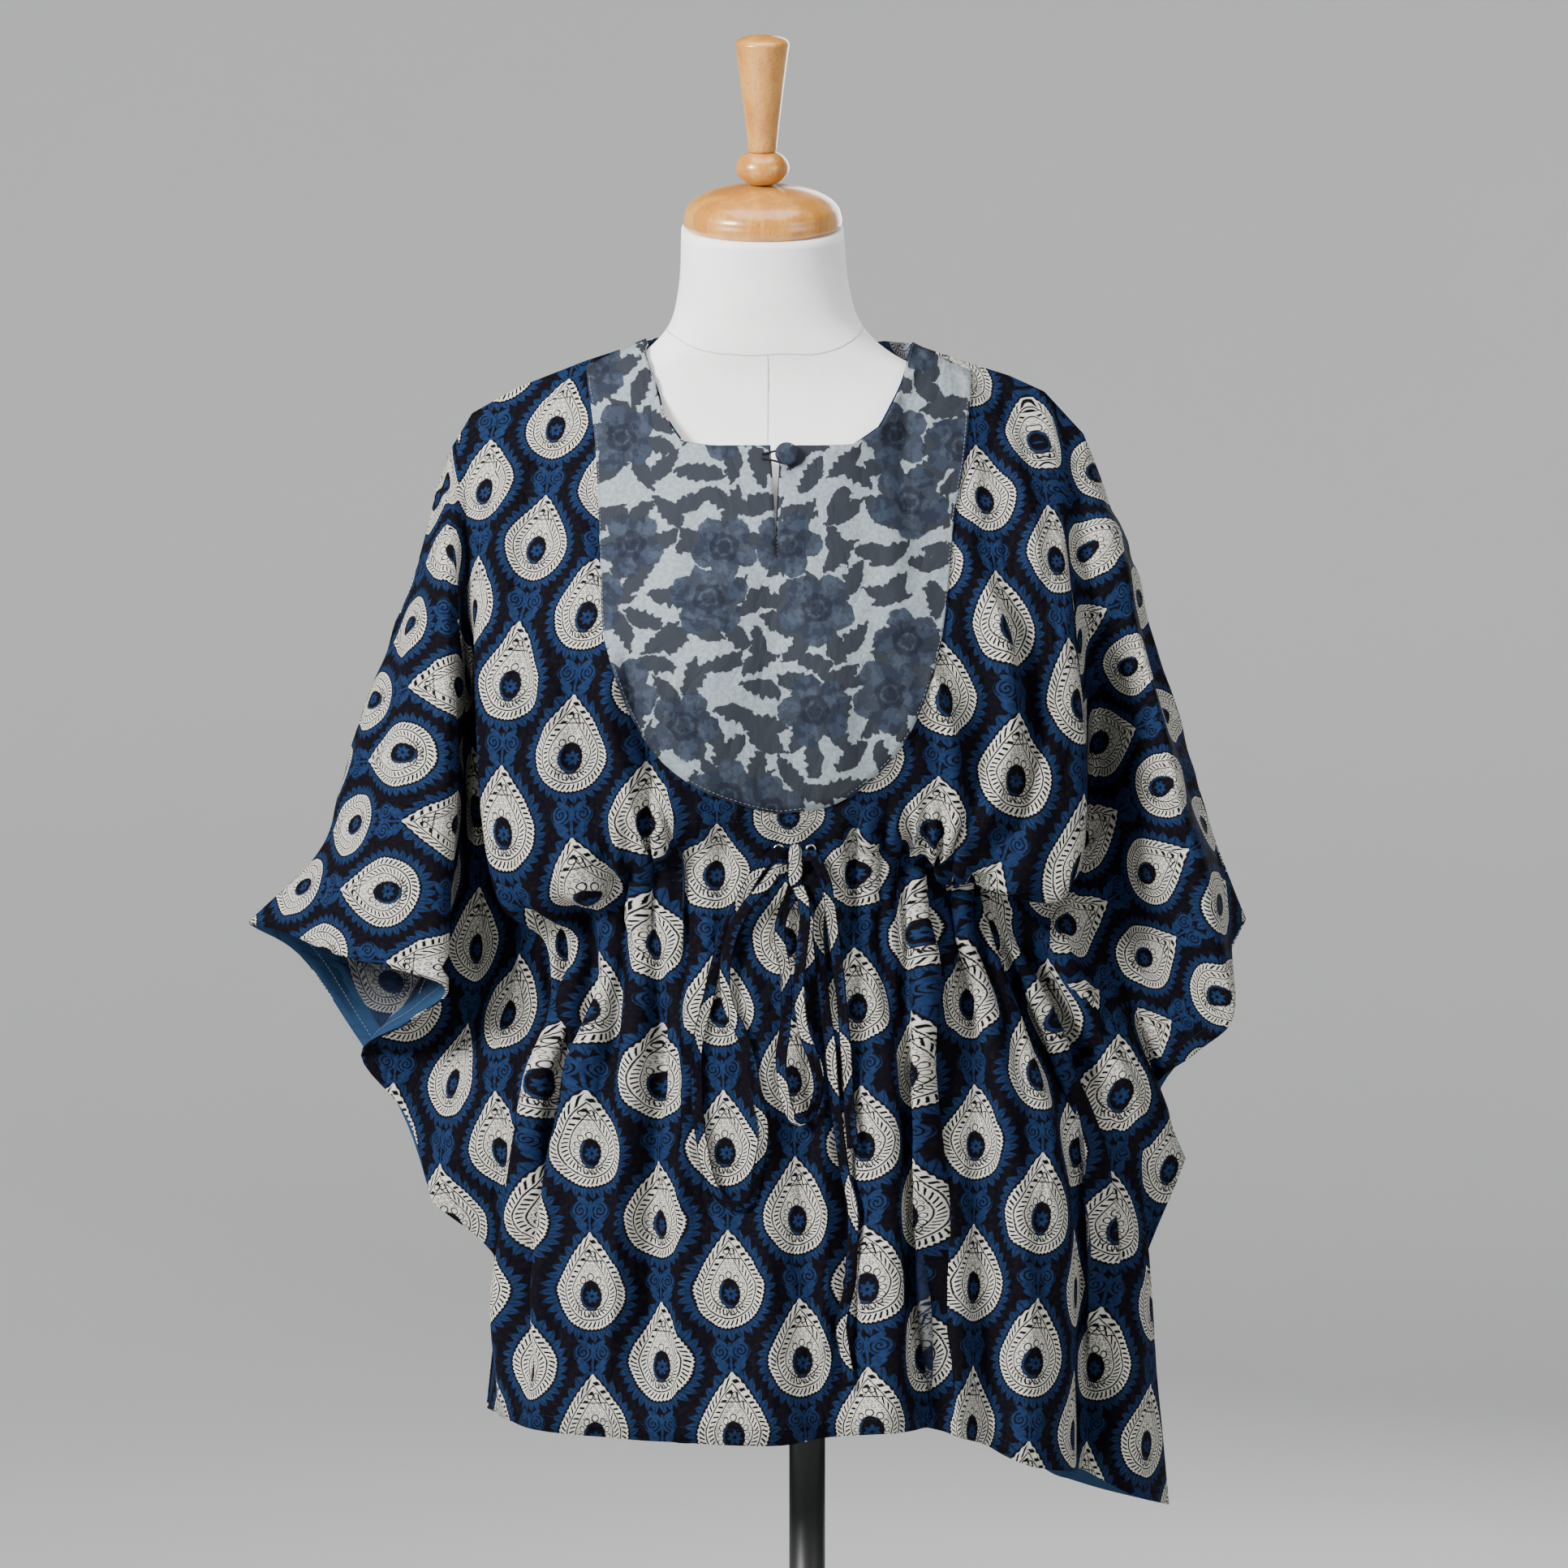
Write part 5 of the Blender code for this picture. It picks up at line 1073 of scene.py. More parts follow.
def print_build(vector):
    """Both lattices of the print, from cloth coordinates in mm."""
    wobble = noise(vector, 0.045, 1.0)
    rough = noise(vector, 0.9, 1.0)
    x, y = parts(vector)[:2]
    x = x + (wobble - 0.5) * WOBBLE_X + (rough - 0.5) * ROUGH_EDGE
    y = y + (wobble - 0.5) * WOBBLE_Y + (rough - 0.5) * ROUGH_EDGE
    inks = {"Cream": "value", "Blue": "value"}
    motif = group("teardrop_motif", {"X": "value", "Y": "value"}, inks, teardrop)
    made = [use(vector.tree, motif, X=(x + half).wrap(REPEAT),
                Y=(y + half + MOTIF_LOW).wrap(REPEAT) - MOTIF_LOW) for half in (0.0, REPEAT / 2)]
    cream = made[0]["Cream"].high(made[1]["Cream"])
    return cream, made[0]["Blue"].high(made[1]["Blue"]) * (1.0 - cream)


# ---- the yoke's print: large flowers with dark hearts and serrated leaves on a crackled ground ----

FLOWER_STEP, LEAF_STEPS, LEAF_SHIFTS = 62.0, (27.0, 27.0 * 1.13), (41.0, 87.0)  # mm between them
FLOWER_REACH, FLOWER_PETALS, FLOWER_DENT = 23.0, 5.0, 30.0
HEART_DOT, HEART_RING = 4.2, (6.2, 9.0)
PETAL_LINE, PATCHES = (0.33, 1.0), 0.49  # share across a petal, share of the cloth
LEAF_LONG, LEAF_WIDE = 18.0, 6.6  # half its length and width
LEAF_TOOTH, LEAF_TOOTH_DEEP, LEAF_BEND = 5.5, 2.2, 0.012
HAND_CUT, HAND_RATE, HAND_ROUGH = 7.0, 0.16, 0.65  # mm by which an outline wanders, and how
FULL_TURN = 6.28
CRACKLE_STEP = 6.0


def scattered(vector, step, shift, randomness):
    """Place of a point from the nearest of some scattered middles, and that middle's own chance values."""
    tree = vector.tree
    node = tree.nodes.new("ShaderNodeTexVoronoi")
    node.voronoi_dimensions = "2D"
    moved = vector.math_vector("ADD", (shift, shift * 1.7, 0.0))
    put(tree, node.inputs["Vector"], moved)
    node.inputs["Scale"].default_value = 1 / step
    node.inputs["Randomness"].default_value = randomness
    px, py = parts(moved)[:2]
    cx, cy = parts(Wire(tree, node.outputs["Position"]))[:2]
    return px - cx, py - cy, parts(Wire(tree, node.outputs["Color"]))


def floral_build(vector):
    """Flower, petal shade, heart, leaf and crackle masks, from coordinates in mm."""
    tree = vector.tree
    x, y = parts(vector)[:2]
    cut_x = noise(vector, HAND_RATE, 3.0, HAND_ROUGH)
    cut_y = noise(join(y, x), HAND_RATE, 3.0, HAND_ROUGH)
    hand = join(x + (cut_x - 0.5) * HAND_CUT, y + (cut_y - 0.5) * HAND_CUT)

    x, y, chance = scattered(hand, FLOWER_STEP, 3.0, 0.55)
    turn = angle_of(x, y) + chance[0]
    r = far(x, y)
    petal = (turn * FLOWER_PETALS).wrap(1.0).size()
    flower = r.below(FLOWER_REACH + chance[1] * 4.0 - petal * petal * FLOWER_DENT, 0.5)
    shade = petal.between(*PETAL_LINE, 0.05).high(noise(vector, 0.11, 3.0, 0.6).below(PATCHES, 0.03))
    heart = r.below(HEART_DOT, 0.5).high(r.between(HEART_RING[0], HEART_RING[1] + petal * 4.0, 0.5))

    leaves = []
    for step, shift in zip(LEAF_STEPS, LEAF_SHIFTS):
        x, y, chance = scattered(hand, step, shift, 0.6)
        lean = chance[0] * FULL_TURN
        c, s = lean.math("COSINE"), lean.math("SINE")
        along, off = x * c + y * s, y * c - x * s + (x * c + y * s).power(2.0) * LEAF_BEND
        wide = LEAF_WIDE * (1.0 - (along / LEAF_LONG) * (along / LEAF_LONG))
        teeth = off.below(0.0, 0.1) * along.teeth(LEAF_TOOTH) * LEAF_TOOTH_DEEP
        leaves.append(off.size().below(wide - teeth, 0.4))
    leaf = leaves[0].high(leaves[1])

    crack = tree.nodes.new("ShaderNodeTexVoronoi")
    crack.feature = "DISTANCE_TO_EDGE"
    crack.voronoi_dimensions = "2D"
    put(tree, crack.inputs["Vector"], hand)
    crack.inputs["Scale"].default_value = 1 / CRACKLE_STEP
    crackle = Wire(tree, crack.outputs["Distance"]).below(0.04, 0.03)
    return flower, shade, heart, leaf, crackle


THREAD_STEP = 0.55  # mm between every second thread
CRUMPLE_SWING, CRUMPLE_STRETCH, CRUMPLE_RATE = 60.0, 0.45, 0.042


def weave_build(vector):
    """Plain-weave threads and slubs from cloth coordinates in mm."""
    x, y = parts(vector)[:2]
    warp = (x * (2 * math.pi / THREAD_STEP)).math("SINE")
    weft = (y * (2 * math.pi / THREAD_STEP)).math("SINE")
    slub = noise(join(x * 0.25, y * 4.0), 1.0, 2.0)
    bent = noise(vector, 0.012, 1.0)
    pressed = join(x + bent * CRUMPLE_SWING, y * CRUMPLE_STRETCH)
    crumple = (noise(pressed, CRUMPLE_RATE, 3.0, 0.45) - 0.5).size()
    return (warp * weft * 0.5 + 0.5 + slub * 0.6, noise(vector, 0.35, 3.0, 0.6), crumple)


def cloth_group(name, outputs, build):
    """A node group that reads cloth coordinates in mm and puts out masks."""
    return group(name, {"Vector": "vector"}, dict.fromkeys(outputs, "value"), build)


PRINT = cloth_group("block_print", ("Cream", "Blue"), print_build)
FLORAL = cloth_group("floral_print", ("Flower", "Shade", "Heart", "Leaf", "Crackle"), floral_build)
WEAVE = cloth_group("weave", ("Height", "Fade", "Crumple"), weave_build)


def coordinates(tree, kind, scale):
    """Texture coordinates times a scale."""
    node = tree.nodes.new("ShaderNodeTexCoord")
    times = tree.nodes.new("ShaderNodeVectorMath")
    times.operation = "SCALE"
    tree.links.new(node.outputs[kind], times.inputs[0])
    times.inputs["Scale"].default_value = scale
    return Wire(tree, times.outputs[0])


MM_SCALE = 1000.0


def start_material(name, kind="Object", scale=MM_SCALE):
    """A new material with its graph, its shader and its coordinates, in mm where no scale is given."""
    m = bpy.data.materials.new(name)
    m.use_nodes = True
    tree = m.node_tree
    return m, tree, tree.nodes["Principled BSDF"], coordinates(tree, kind, scale)


def finish(tree, shader, color, roughness, specular=None):
    """Give a shader its colour and roughness, and its gloss where it isn't the usual one."""
    put(tree, shader.inputs["Base Color"], color)
    put(tree, shader.inputs["Roughness"], roughness)
    if specular is not None:
        shader.inputs["Specular IOR Level"].default_value = specular


def bump(tree, shader, height, distance, strength=1.0):
    node = tree.nodes.new("ShaderNodeBump")
    node.inputs["Distance"].default_value = distance
    node.inputs["Strength"].default_value = strength
    put(tree, node.inputs["Height"], height)
    tree.links.new(node.outputs[0], shader.inputs["Normal"])


def attribute(tree, name):
    node = tree.nodes.new("ShaderNodeAttribute")
    node.attribute_name = name
    return Wire(tree, node.outputs["Fac"])


# dyes of the main cotton, each as printed and as worn
GROUND, GROUND_WORN = (0.0018, 0.0014, 0.0030, 1), (0.0040, 0.0036, 0.0070, 1)
INDIGO, INDIGO_WORN = (0.0048, 0.0135, 0.044, 1), (0.0070, 0.021, 0.064, 1)
CREAM, CREAM_WORN = (0.45, 0.435, 0.385, 1), (0.39, 0.38, 0.35, 1)
WRONG_SIDE_BLUE, HEM_BLUE = (0.014, 0.022, 0.048, 1), (0.013, 0.033, 0.075, 1)
HEM_BLUE_WIDE = 0.021
BAND_EDGE_SHADE, BAND_FOLD_SHADE = (0.80, 2.0), (0.30, 0.40)  # painted shade along the band's turned edges and its middle fold, in half widths of the drawstring
THREAD_RELIEF, CRUMPLE = 0.00007, 0.010  # metres


def cotton(name, wrong_side=False, folded=False):
    """Block-printed cotton, faint with blue hems on its wrong side, with painted shade along a folded band's
    edges and middle fold.
    """
    m, tree, shader, at = start_material(name, "UV")
    ink = use(tree, PRINT, Vector=at)
    cloth = use(tree, WEAVE, Vector=at)
    fade = cloth["Fade"]
    cream, blue = ink["Cream"], ink["Blue"]
    ground = blend(GROUND, GROUND_WORN, fade.below(0.42, 0.12))
    color = blend(ground, blend(INDIGO, INDIGO_WORN, fade.below(0.5, 0.15)), blue * 0.95)
    color = blend(color, blend(CREAM, CREAM_WORN, fade.below(0.45, 0.12)), cream * 0.97)
    if wrong_side:
        color = blend(WRONG_SIDE_BLUE, color, fade * 0.2 + 0.30)
        color = blend(color, HEM_BLUE, attribute(tree, "edge").below(HEM_BLUE_WIDE, 0.0006))
    if folded:
        # painted shade: dark lines where the band turns at its edges and along its middle fold
        side = attribute(tree, "across").size()
        lines = side.between(*BAND_EDGE_SHADE, 0.04).high(side.between(*BAND_FOLD_SHADE, 0.05) * 0.7)
        color = blend(color, GROUND, lines * 0.9)
    finish(tree, shader, color, fade * 0.15 + 0.74, 0.05)
    bump(tree, shader, (cloth["Height"] + cream * 0.25) * THREAD_RELIEF + cloth["Crumple"] * CRUMPLE, 1.0)
    return m


# dyes of the yoke
PALE, PALE_WORN, CRACKLE = (0.235, 0.270, 0.290, 1), (0.175, 0.208, 0.230, 1), (0.22, 0.27, 0.31, 1)
LEAF_DARK, LEAF_WORN = (0.0095, 0.0102, 0.0160, 1), (0.0135, 0.015, 0.0225, 1)
PETAL_BLUE, PETAL_SHADE = (0.025, 0.034, 0.054, 1), (0.0145, 0.018, 0.029, 1)
HEART_DARK = (0.0075, 0.0085, 0.0145, 1)


def floral_cotton(name):
    """The yoke's softer cotton with its flowers and leaves."""
    m, tree, shader, at = start_material(name, "UV")
    ink = use(tree, FLORAL, Vector=at)
    cloth = use(tree, WEAVE, Vector=at)
    fade = cloth["Fade"]
    color = blend(PALE, PALE_WORN, fade.below(0.5, 0.1))
    color = blend(color, CRACKLE, ink["Crackle"] * 0.35)
    color = blend(color, blend(LEAF_DARK, LEAF_WORN, fade.below(0.5, 0.1)), ink["Leaf"] * 0.94)
    color = blend(color, blend(PETAL_BLUE, PETAL_SHADE, ink["Shade"] * 0.85), ink["Flower"] * 0.95)
    color = blend(color, HEART_DARK, ink["Heart"] * ink["Flower"] * 0.6)
    finish(tree, shader, color, fade * 0.12 + 0.76, 0.08)
    bump(tree, shader, cloth["Height"] * THREAD_RELIEF + cloth["Crumple"] * CRUMPLE * 0.6, 1.0)
    return m


def darker(color, share):
    return tuple(c * share for c in color[:3]) + (1,)


def thread(name, color):
    """Sewing thread, or plain dyed cloth in a narrow strip."""
    m, tree, shader, at = start_material(name)
    finish(tree, shader, blend(color, darker(color, 0.7), noise(at, 1.4)), 0.8, 0.1)
    return m


JERSEY_WHITE, JERSEY_GREY = (0.86, 0.86, 0.86, 1), (0.81, 0.81, 0.81, 1)
RIB_STEP, ROW_STEP = 1.1, 0.8  # mm


def jersey(name):
    """White knitted cover, with rows of fine stitches."""
    m, tree, shader, at = start_material(name)
    x, y, z = parts(at)
    cloth = noise(at, 0.02, 3.0)
    ribs = ((x + y * 0.3) * (2 * math.pi / RIB_STEP)).math("SINE")
    rib = ribs * 0.5 + (z * (2 * math.pi / ROW_STEP)).math("SINE") * 0.5
    finish(tree, shader, blend(JERSEY_WHITE, JERSEY_GREY, cloth.below(0.5, 0.15)), cloth * 0.1 + 0.85, 0.2)
    bump(tree, shader, rib * 0.5 + noise(at, 0.5, 2.0) * 0.8, 0.00015, 0.5)
    return m


WOOD_DARK, WOOD_PALE, WOOD_FLECK = (0.42, 0.165, 0.022, 1), (0.53, 0.245, 0.045, 1), (0.20, 0.072, 0.012, 1)


def wood(name):
    """Pale lacquered turned wood with fine vessels along the grain."""
    m, tree, shader, at = start_material(name)
    x, y, z = parts(at)
    stretch = join(x * 0.9, y * 0.9, z * 0.10)
    bands = noise(join(x * 0.06, y * 0.06, z * 0.012), 1.0, 3.0, 0.6)
    flecks = noise(stretch, 1.0, 3.0, 0.6)
    color = blend(WOOD_DARK, WOOD_PALE, bands.below(0.5, 0.12))
    color = blend(color, WOOD_FLECK, flecks.below(0.40, 0.05) * 0.55)
    finish(tree, shader, color, flecks * 0.12 + 0.26)
    shader.inputs["Coat Weight"].default_value = 0.5
    shader.inputs["Coat Roughness"].default_value = 0.12
    bump(tree, shader, flecks, 0.0001, 0.25)
    return m


PAINT_BLACK, PAINT_SPECK = (0.012, 0.012, 0.013, 1), (0.022, 0.022, 0.023, 1)
NICKEL_DARK, NICKEL_PALE = (0.62, 0.62, 0.61, 1), (0.80, 0.80, 0.79, 1)


def black_paint(name):
    m, tree, shader, at = start_material(name)
    speck = noise(at, 0.6, 4.0, 0.7)
    finish(tree, shader, blend(PAINT_BLACK, PAINT_SPECK, speck), speck * 0.2 + 0.32)
    bump(tree, shader, speck, 0.00005, 0.4)
    return m


def nickel(name):
    m, tree, shader, at = start_material(name)
    scratch = noise(at, 2.0, 3.0, 0.7)
    finish(tree, shader, blend(NICKEL_DARK, NICKEL_PALE, scratch), scratch * 0.2 + 0.16)
    shader.inputs["Metallic"].default_value = 1.0
    return m


def paper(name, color):
    """Plain backdrop paper."""
    m, tree, shader, at = start_material(name, scale=1.0)
    finish(tree, shader, blend(color, darker(color, 0.97), noise(at, 1.5)), 0.9)
    return m


MAIN_COTTON, WRONG_COTTON = cotton("main_cotton"), cotton("main_cotton_wrong_side", wrong_side=True)
STRING_COTTON = cotton("drawstring_cotton", folded=True)
DARK_COTTON = thread("dark_cotton", (0.014, 0.012, 0.020, 1))
BACKDROP = paper("backdrop", (0.80, 0.82, 0.81, 1))
YOKE_COTTON = floral_cotton("yoke_cotton")
PALE_THREAD = thread("pale_thread", (0.22, 0.25, 0.30, 1))
BLUE_THREAD = thread("blue_thread", (0.010, 0.018, 0.045, 1))
SEAM_GREY = thread("seam_grey", (0.50, 0.50, 0.50, 1))
JERSEY, WOOD = jersey("jersey"), wood("lacquered_wood")
BLACK, NICKEL = black_paint("black_paint"), nickel("nickel")


# ---- making the pieces ----


def mesh_from(bm, name):
    """A smooth mesh from finished mesh data."""
    mesh = bpy.data.meshes.new(name)
    bm.to_mesh(mesh)
    bm.free()
    mesh.shade_smooth()
    return mesh


def skin(bm, rings):
    """Faces between closed rings of points, from one ring to the next; a ring of one point is a pole."""
    for first, second in zip(rings, rings[1:]):
        for k in range(max(len(first), len(second))):
            n = k + 1
            corners = [ring[i % len(ring)] for ring, i in ((first, k), (second, k), (second, n), (first, n))]
            bm.faces.new(list(dict.fromkeys(corners)))


def halves(cell, places):
    """The two triangles of a cell, cut along its shorter diagonal."""
    a, b, c, d = cell
    if (places[0] - places[2]).length <= (places[1] - places[3]).length:
        return (a, b, c), (a, c, d)
    return (a, b, d), (b, c, d)


def bvh(grid):
    """A search tree over a panel's middle surface."""
    rows, columns = grid.shape[:2]
    verts = [Vector(p) for p in grid.reshape(-1, 3)]
    faces = []
    for cell in grid_faces(rows, columns):
        faces += halves(cell, [verts[i] for i in cell])
    return BVHTree.FromPolygons(verts, faces)


RAY_START, PAST_EDGE_Y = -0.5, -0.03


def on_panel(tree, x, z):
    """The outermost point of the front at x and z, seen from the front."""
    hit = tree.ray_cast(Vector((x, RAY_START, z)), Vector((0, 1, 0)))[0]
    if hit is None:
        hit = tree.find_nearest(Vector((x, PAST_EDGE_Y, z)))[0]
    return np.array(hit)


def add_object(name, data, materials, replaced=()):
    """A piece that rides with the model."""
    obj = bpy.data.objects.new(name, data)
    bpy.context.scene.collection.objects.link(obj)
    for m in materials:
        obj.data.materials.append(m)
    if replaced:
        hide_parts(*replaced)
    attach(obj, "root")
    return obj


HEM_WIDE, HEM_FADE = 0.010, 0.0015
WALL_AT_HEM = 0.0017


def cloth_mesh(name, grid, uv, cells, edge, slit=None):
    """A panel's mesh; cells says which flat pattern each cell takes, slit is a cut's column and widths."""
    rows, columns = grid.shape[:2]
    verts = [tuple(p) for p in grid.reshape(-1, 3)]
    flat = [list(pattern.reshape(-1, 2)) for pattern in uv]
    edges = list(edge.reshape(-1))
    right_side = {}
    if slit:
        column, widths = slit
        for r, half in enumerate(widths):
            i = r * columns + column
            x, y, z = verts[i]
            right_side[r] = len(verts)
            verts.append((x + half, y, z))
            verts[i] = (x - half, y, z)
            for pattern in flat:
                pattern.append(pattern[i])
            edges.append(edges[i])
    faces = []
    for r in range(rows - 1):
        for c in range(columns - 1):
            a, b = r * columns + c, (r + 1) * columns + c
            left = [a, b]
            if slit and c == slit[0]:
                left = [right_side.get(r, a), right_side.get(r + 1, b)]
            faces.append((left[0], left[1], b + 1, a + 1))
    mesh = bpy.data.meshes.new(name)
    mesh.from_pydata(verts, [], faces)
    layer = mesh.uv_layers.new(name="UVMap")
    corner = np.zeros(len(mesh.loops), int)
    mesh.loops.foreach_get("vertex_index", corner)
    layer.uv.foreach_set("vector", np.array(flat)[np.repeat(cells.reshape(-1), 4), corner].reshape(-1))
    mark = mesh.attributes.new("edge", "FLOAT", "POINT")
    mark.data.foreach_set("value", np.array(edges, float))
    mesh.shade_smooth()
    return mesh


def to_end(grid):
    """Distance along the folds from each point to the panel's last row."""
    steps = np.linalg.norm(np.diff(grid, axis=0), axis=2)
    return np.vstack([np.cumsum(steps[::-1], axis=0)[::-1], np.zeros(grid.shape[1])])


def wall(obj, thick, thick_at_hem):
    """Give a panel its thickness, more at the doubled hem."""
    weights = obj.vertex_groups.new(name="wall")
    for i, value in enumerate(obj.data.attributes["edge"].data):
        near = 1 - smooth((value.value - HEM_WIDE) / HEM_FADE)
        weights.add([i], (thick + (thick_at_hem - thick) * near) / thick_at_hem, "REPLACE")
    solid = obj.modifiers.new("wall", "SOLIDIFY")
    solid.thickness = thick_at_hem
    solid.offset = 0
    solid.vertex_group = "wall"
    solid.material_offset = 1
    solid.material_offset_rim = 0


# ---- stitches ----

HEM_STITCH, YOKE_STITCH = 0.0105, 0.0022  # in from the edge
CASING_HEIGHTS = (1.053, 1.013)
ON_FACE = CLOTH / 2

STITCH_PITCH, STITCH_LENGTH, STITCH_WIDE, STITCH_PROUD = 0.0032, 0.0023, 0.0004, 0.0002
# along, half width, height
STITCH_RINGS = ((0.0, 0.4, -0.9), (0.25, 1.0, 0.5), (0.75, 1.0, 0.5), (1.0, 0.4, -0.9))


def stitches(name, lines, thread_used):
    """Rows of short stitches; each line is its points on the cloth and the directions out of it there."""
    bm = bmesh.new()
    for points, outs in lines:
        run = run_of(points)
        starts = np.arange(0.5 * STITCH_PITCH, run[-1] - STITCH_LENGTH, STITCH_PITCH)
        ends = points_at(points, run, starts + STITCH_LENGTH)
        for a, b, n in zip(points_at(points, run, starts), ends, points_at(outs, run, starts)):
            n = n / np.linalg.norm(n)
            side = np.cross(b - a, n)
            side *= STITCH_WIDE / 2 / max(np.linalg.norm(side), 1e-9)
            rings = []
            for f, w, h in STITCH_RINGS:
                p = a + (b - a) * f
                low, crown = n * STITCH_PROUD * (h - 0.4), n * STITCH_PROUD * (h + 0.5)
                rings.append([bm.verts.new(p + side * w + low), bm.verts.new(p + crown),
                              bm.verts.new(p - side * w + low)])
            skin(bm, rings)
            bm.faces.new(rings[0])
            bm.faces.new(rings[-1][::-1])
    bmesh.ops.recalc_face_normals(bm, faces=bm.faces)
    return add_object(name, mesh_from(bm, name), (thread_used,))


def stitch_line(grid, columns, row_of, outward, lift):
    """Points on a panel's face, one a column at the row that row_of gives, and the directions out of it."""
    n = normals(grid) * outward
    points, outs = [], []
    for c in columns:
        r = row_of(c)
        low = int(min(r, len(grid) - 2))
        f = r - low
        way = n[low, c] * (1 - f) + n[low + 1, c] * f
        points.append(grid[low, c] * (1 - f) + grid[low + 1, c] * f + way * lift)
        outs.append(way)
    return np.array(points), np.array(outs)


def hem_line(grid, edge, outward):
    """Where the hem is sewn, from the distances to the panel's edge."""
    def row_of(c):
        order = np.argsort(edge[:, c])
        return np.interp(HEM_STITCH, edge[order, c], order)
    return stitch_line(grid, range(2, grid.shape[1] - 2), row_of, outward, WALL_AT_HEM / 2)


def level_line(grid, height, columns):
    """A line across the outside of a panel at one height."""
    def row_of(c):
        return np.interp(-height, -grid[:, c, 2], np.arange(len(grid)))
    return stitch_line(grid, columns, row_of, 1, ON_FACE)


def rim_line(grid):
    """A line just inside a panel's last row."""
    points, outs = [], []
    n = normals(grid)
    for c in range(1, grid.shape[1] - 1):
        inward = grid[-2, c] - grid[-1, c]
        inward /= np.linalg.norm(inward)
        points.append(grid[-1, c] + inward * YOKE_STITCH + n[-1, c] * ON_FACE)
        outs.append(n[-1, c])
    return np.array(points), np.array(outs)


# ---- bib yoke ----

YOKE_HALF, YOKE_ROWS = 39, 40  # columns on each side of the centre front, rows
YOKE_BEND_POINTS = 120  # on the outline's curve
YOKE_TOP_DROP = 0.6  # mm below the neckline and shoulder seam
YOKE_LIFT = 0.0006  # from the front's face to the yoke's
SHOULDER_Y = -9
NEAR = 0.012  # how far round a point the front's faces set which way is out
SLIT_END = 1.228
SLIT_HALF, SLIT_CLOSED, SLIT_CURVE = 0.0033, 0.0002, 1.3


def even_line(points, steps):
    """Evenly spaced points of a broken line."""
    line = np.array(points, float)
    run = run_of(line)
    return points_at(line, run, np.linspace(0, run[-1], steps + 1))


def spokes(neckline, outline):
    """Half of the yoke in mm: straight lines from the neckline out to the yoke's outline, shoulder first."""
    inner = even_line(neckline, YOKE_HALF)[::-1]
    control = [(x, SHOULDER_Y, z) for x, z in outline]
    outer = even_line(curve(control, np.linspace(0, len(control) - 1, YOKE_BEND_POINTS)), YOKE_HALF)
    drop = np.array([0, 0, YOKE_TOP_DROP])
    inner = inner - drop
    outer[0] = outer[0] - drop
    return [[a + (b - a) * r / YOKE_ROWS for r in range(YOKE_ROWS + 1)] for a, b in zip(inner, outer)]


def yoke_grid(tree):
    """The yoke's points: those of the front under it, moved out by the two walls and the gap."""
    left, right = spokes(TOP_LEFT[:5], YOKE_LEFT), spokes(TOP_RIGHT[:6], YOKE_RIGHT)
    plan = np.array(left + right[-2::-1]).transpose(1, 0, 2)
    grid = np.zeros(plan.shape)
    for r, c in np.ndindex(plan.shape[:2]):
        at_seam = r == 0 or c in (0, plan.shape[1] - 1)
        place = metres(plan[r, c])
        on_front = on_panel(tree, place[0], place[2])
        if at_seam:
            on_front = np.array(tree.find_nearest(Vector(place))[0])
        n = np.sum([np.array(hit[1]) for hit in tree.find_nearest_range(Vector(on_front), NEAR)], axis=0)
        grid[r, c] = on_front + n / np.linalg.norm(n) * (CLOTH + YOKE_LIFT)
    drape_over(grid, tree, CLOTH + YOKE_LIFT * 0.7, 2)
    return grid, plan[..., [0, 2]] * MM


def slit_of(grid, column):
    """The column of the front slit and half its width at each row down to its end."""
    last = nearest(grid[:, column, 2], SLIT_END)
    opened = SLIT_HALF - SLIT_CLOSED
    return column, [SLIT_CLOSED + opened * (1 - r / last) ** SLIT_CURVE for r in range(last)]


# ---- drawstring ----
# x, z in mm on the front and how far the band's middle stands off it.

KNOT_PLACE = (13.5, 1023)
KNOT_SIZE = (0.0104, 0.0090, 0.0300)  # wide, deep, high
KNOT_POWER = 0.8
KNOT_CUT = (0.023, -1.0320)  # from its place on the object to its place on the print
KNOT_FOLD, KNOT_WIND, KNOT_DENT = 0.05, (9, 2.5), 4  # share of its size; rates up, across and of the dent
STRING_GAP = 0.0002
STRING_WIDTH, STRING_THICK = 0.008, 0.0013
BOW_LEFT = (
    (1, 1032, 6), (-10, 1022, 6), (-27, 992, 5), (-39, 960, 4), (-45, 934, 4), (-52, 905, 4), (-53, 880, 4),
    (-50, 843, 4), (-41, 807, 4), (-29, 796, 4), (-17, 800, 4), (-11, 824, 4), (-8, 846, 4), (-13, 873, 4),
    (-17, 894, 4), (-24, 914, 5), (-31, 928, 6.5), (-34, 948, 8), (-30, 974, 9), (-19, 996, 10),
    (-6, 1011, 11), (1, 1021, 10.5),
)
BOW_RIGHT = (
    (10, 1001, 4), (5, 990, 7), (3, 974, 10), (7, 950, 11), (7, 918, 11), (4, 893, 10), (8, 864, 9),
    (14, 852, 9), (22, 855, 9), (29, 873, 9), (26, 893, 9), (19, 913, 10), (16, 942, 12), (18, 968, 13),
    (20, 988, 12), (19, 1000, 10.5),
)
TAIL_LONG = (
    (26, 1013, 6), (30, 1000, 5), (29, 978, 5), (33, 933, 5), (37, 900, 5), (39, 873, 5), (43, 843, 5),
    (47, 816, 5), (52, 794, 5), (51, 757, 5), (50, 742, 5), (44, 716, 5), (46, 701, 5), (50, 676, 5),
)
TAIL_SHORT = (
    (26, 1030, 8), (34, 1012, 10), (38, 985, 10), (44, 940, 9), (47, 905, 9), (49, 870, 9), (52, 834, 9),
)
BAND_STEP = 0.0035
BAND_REACH = 0.005  # how far beside a point the band still lies on the front
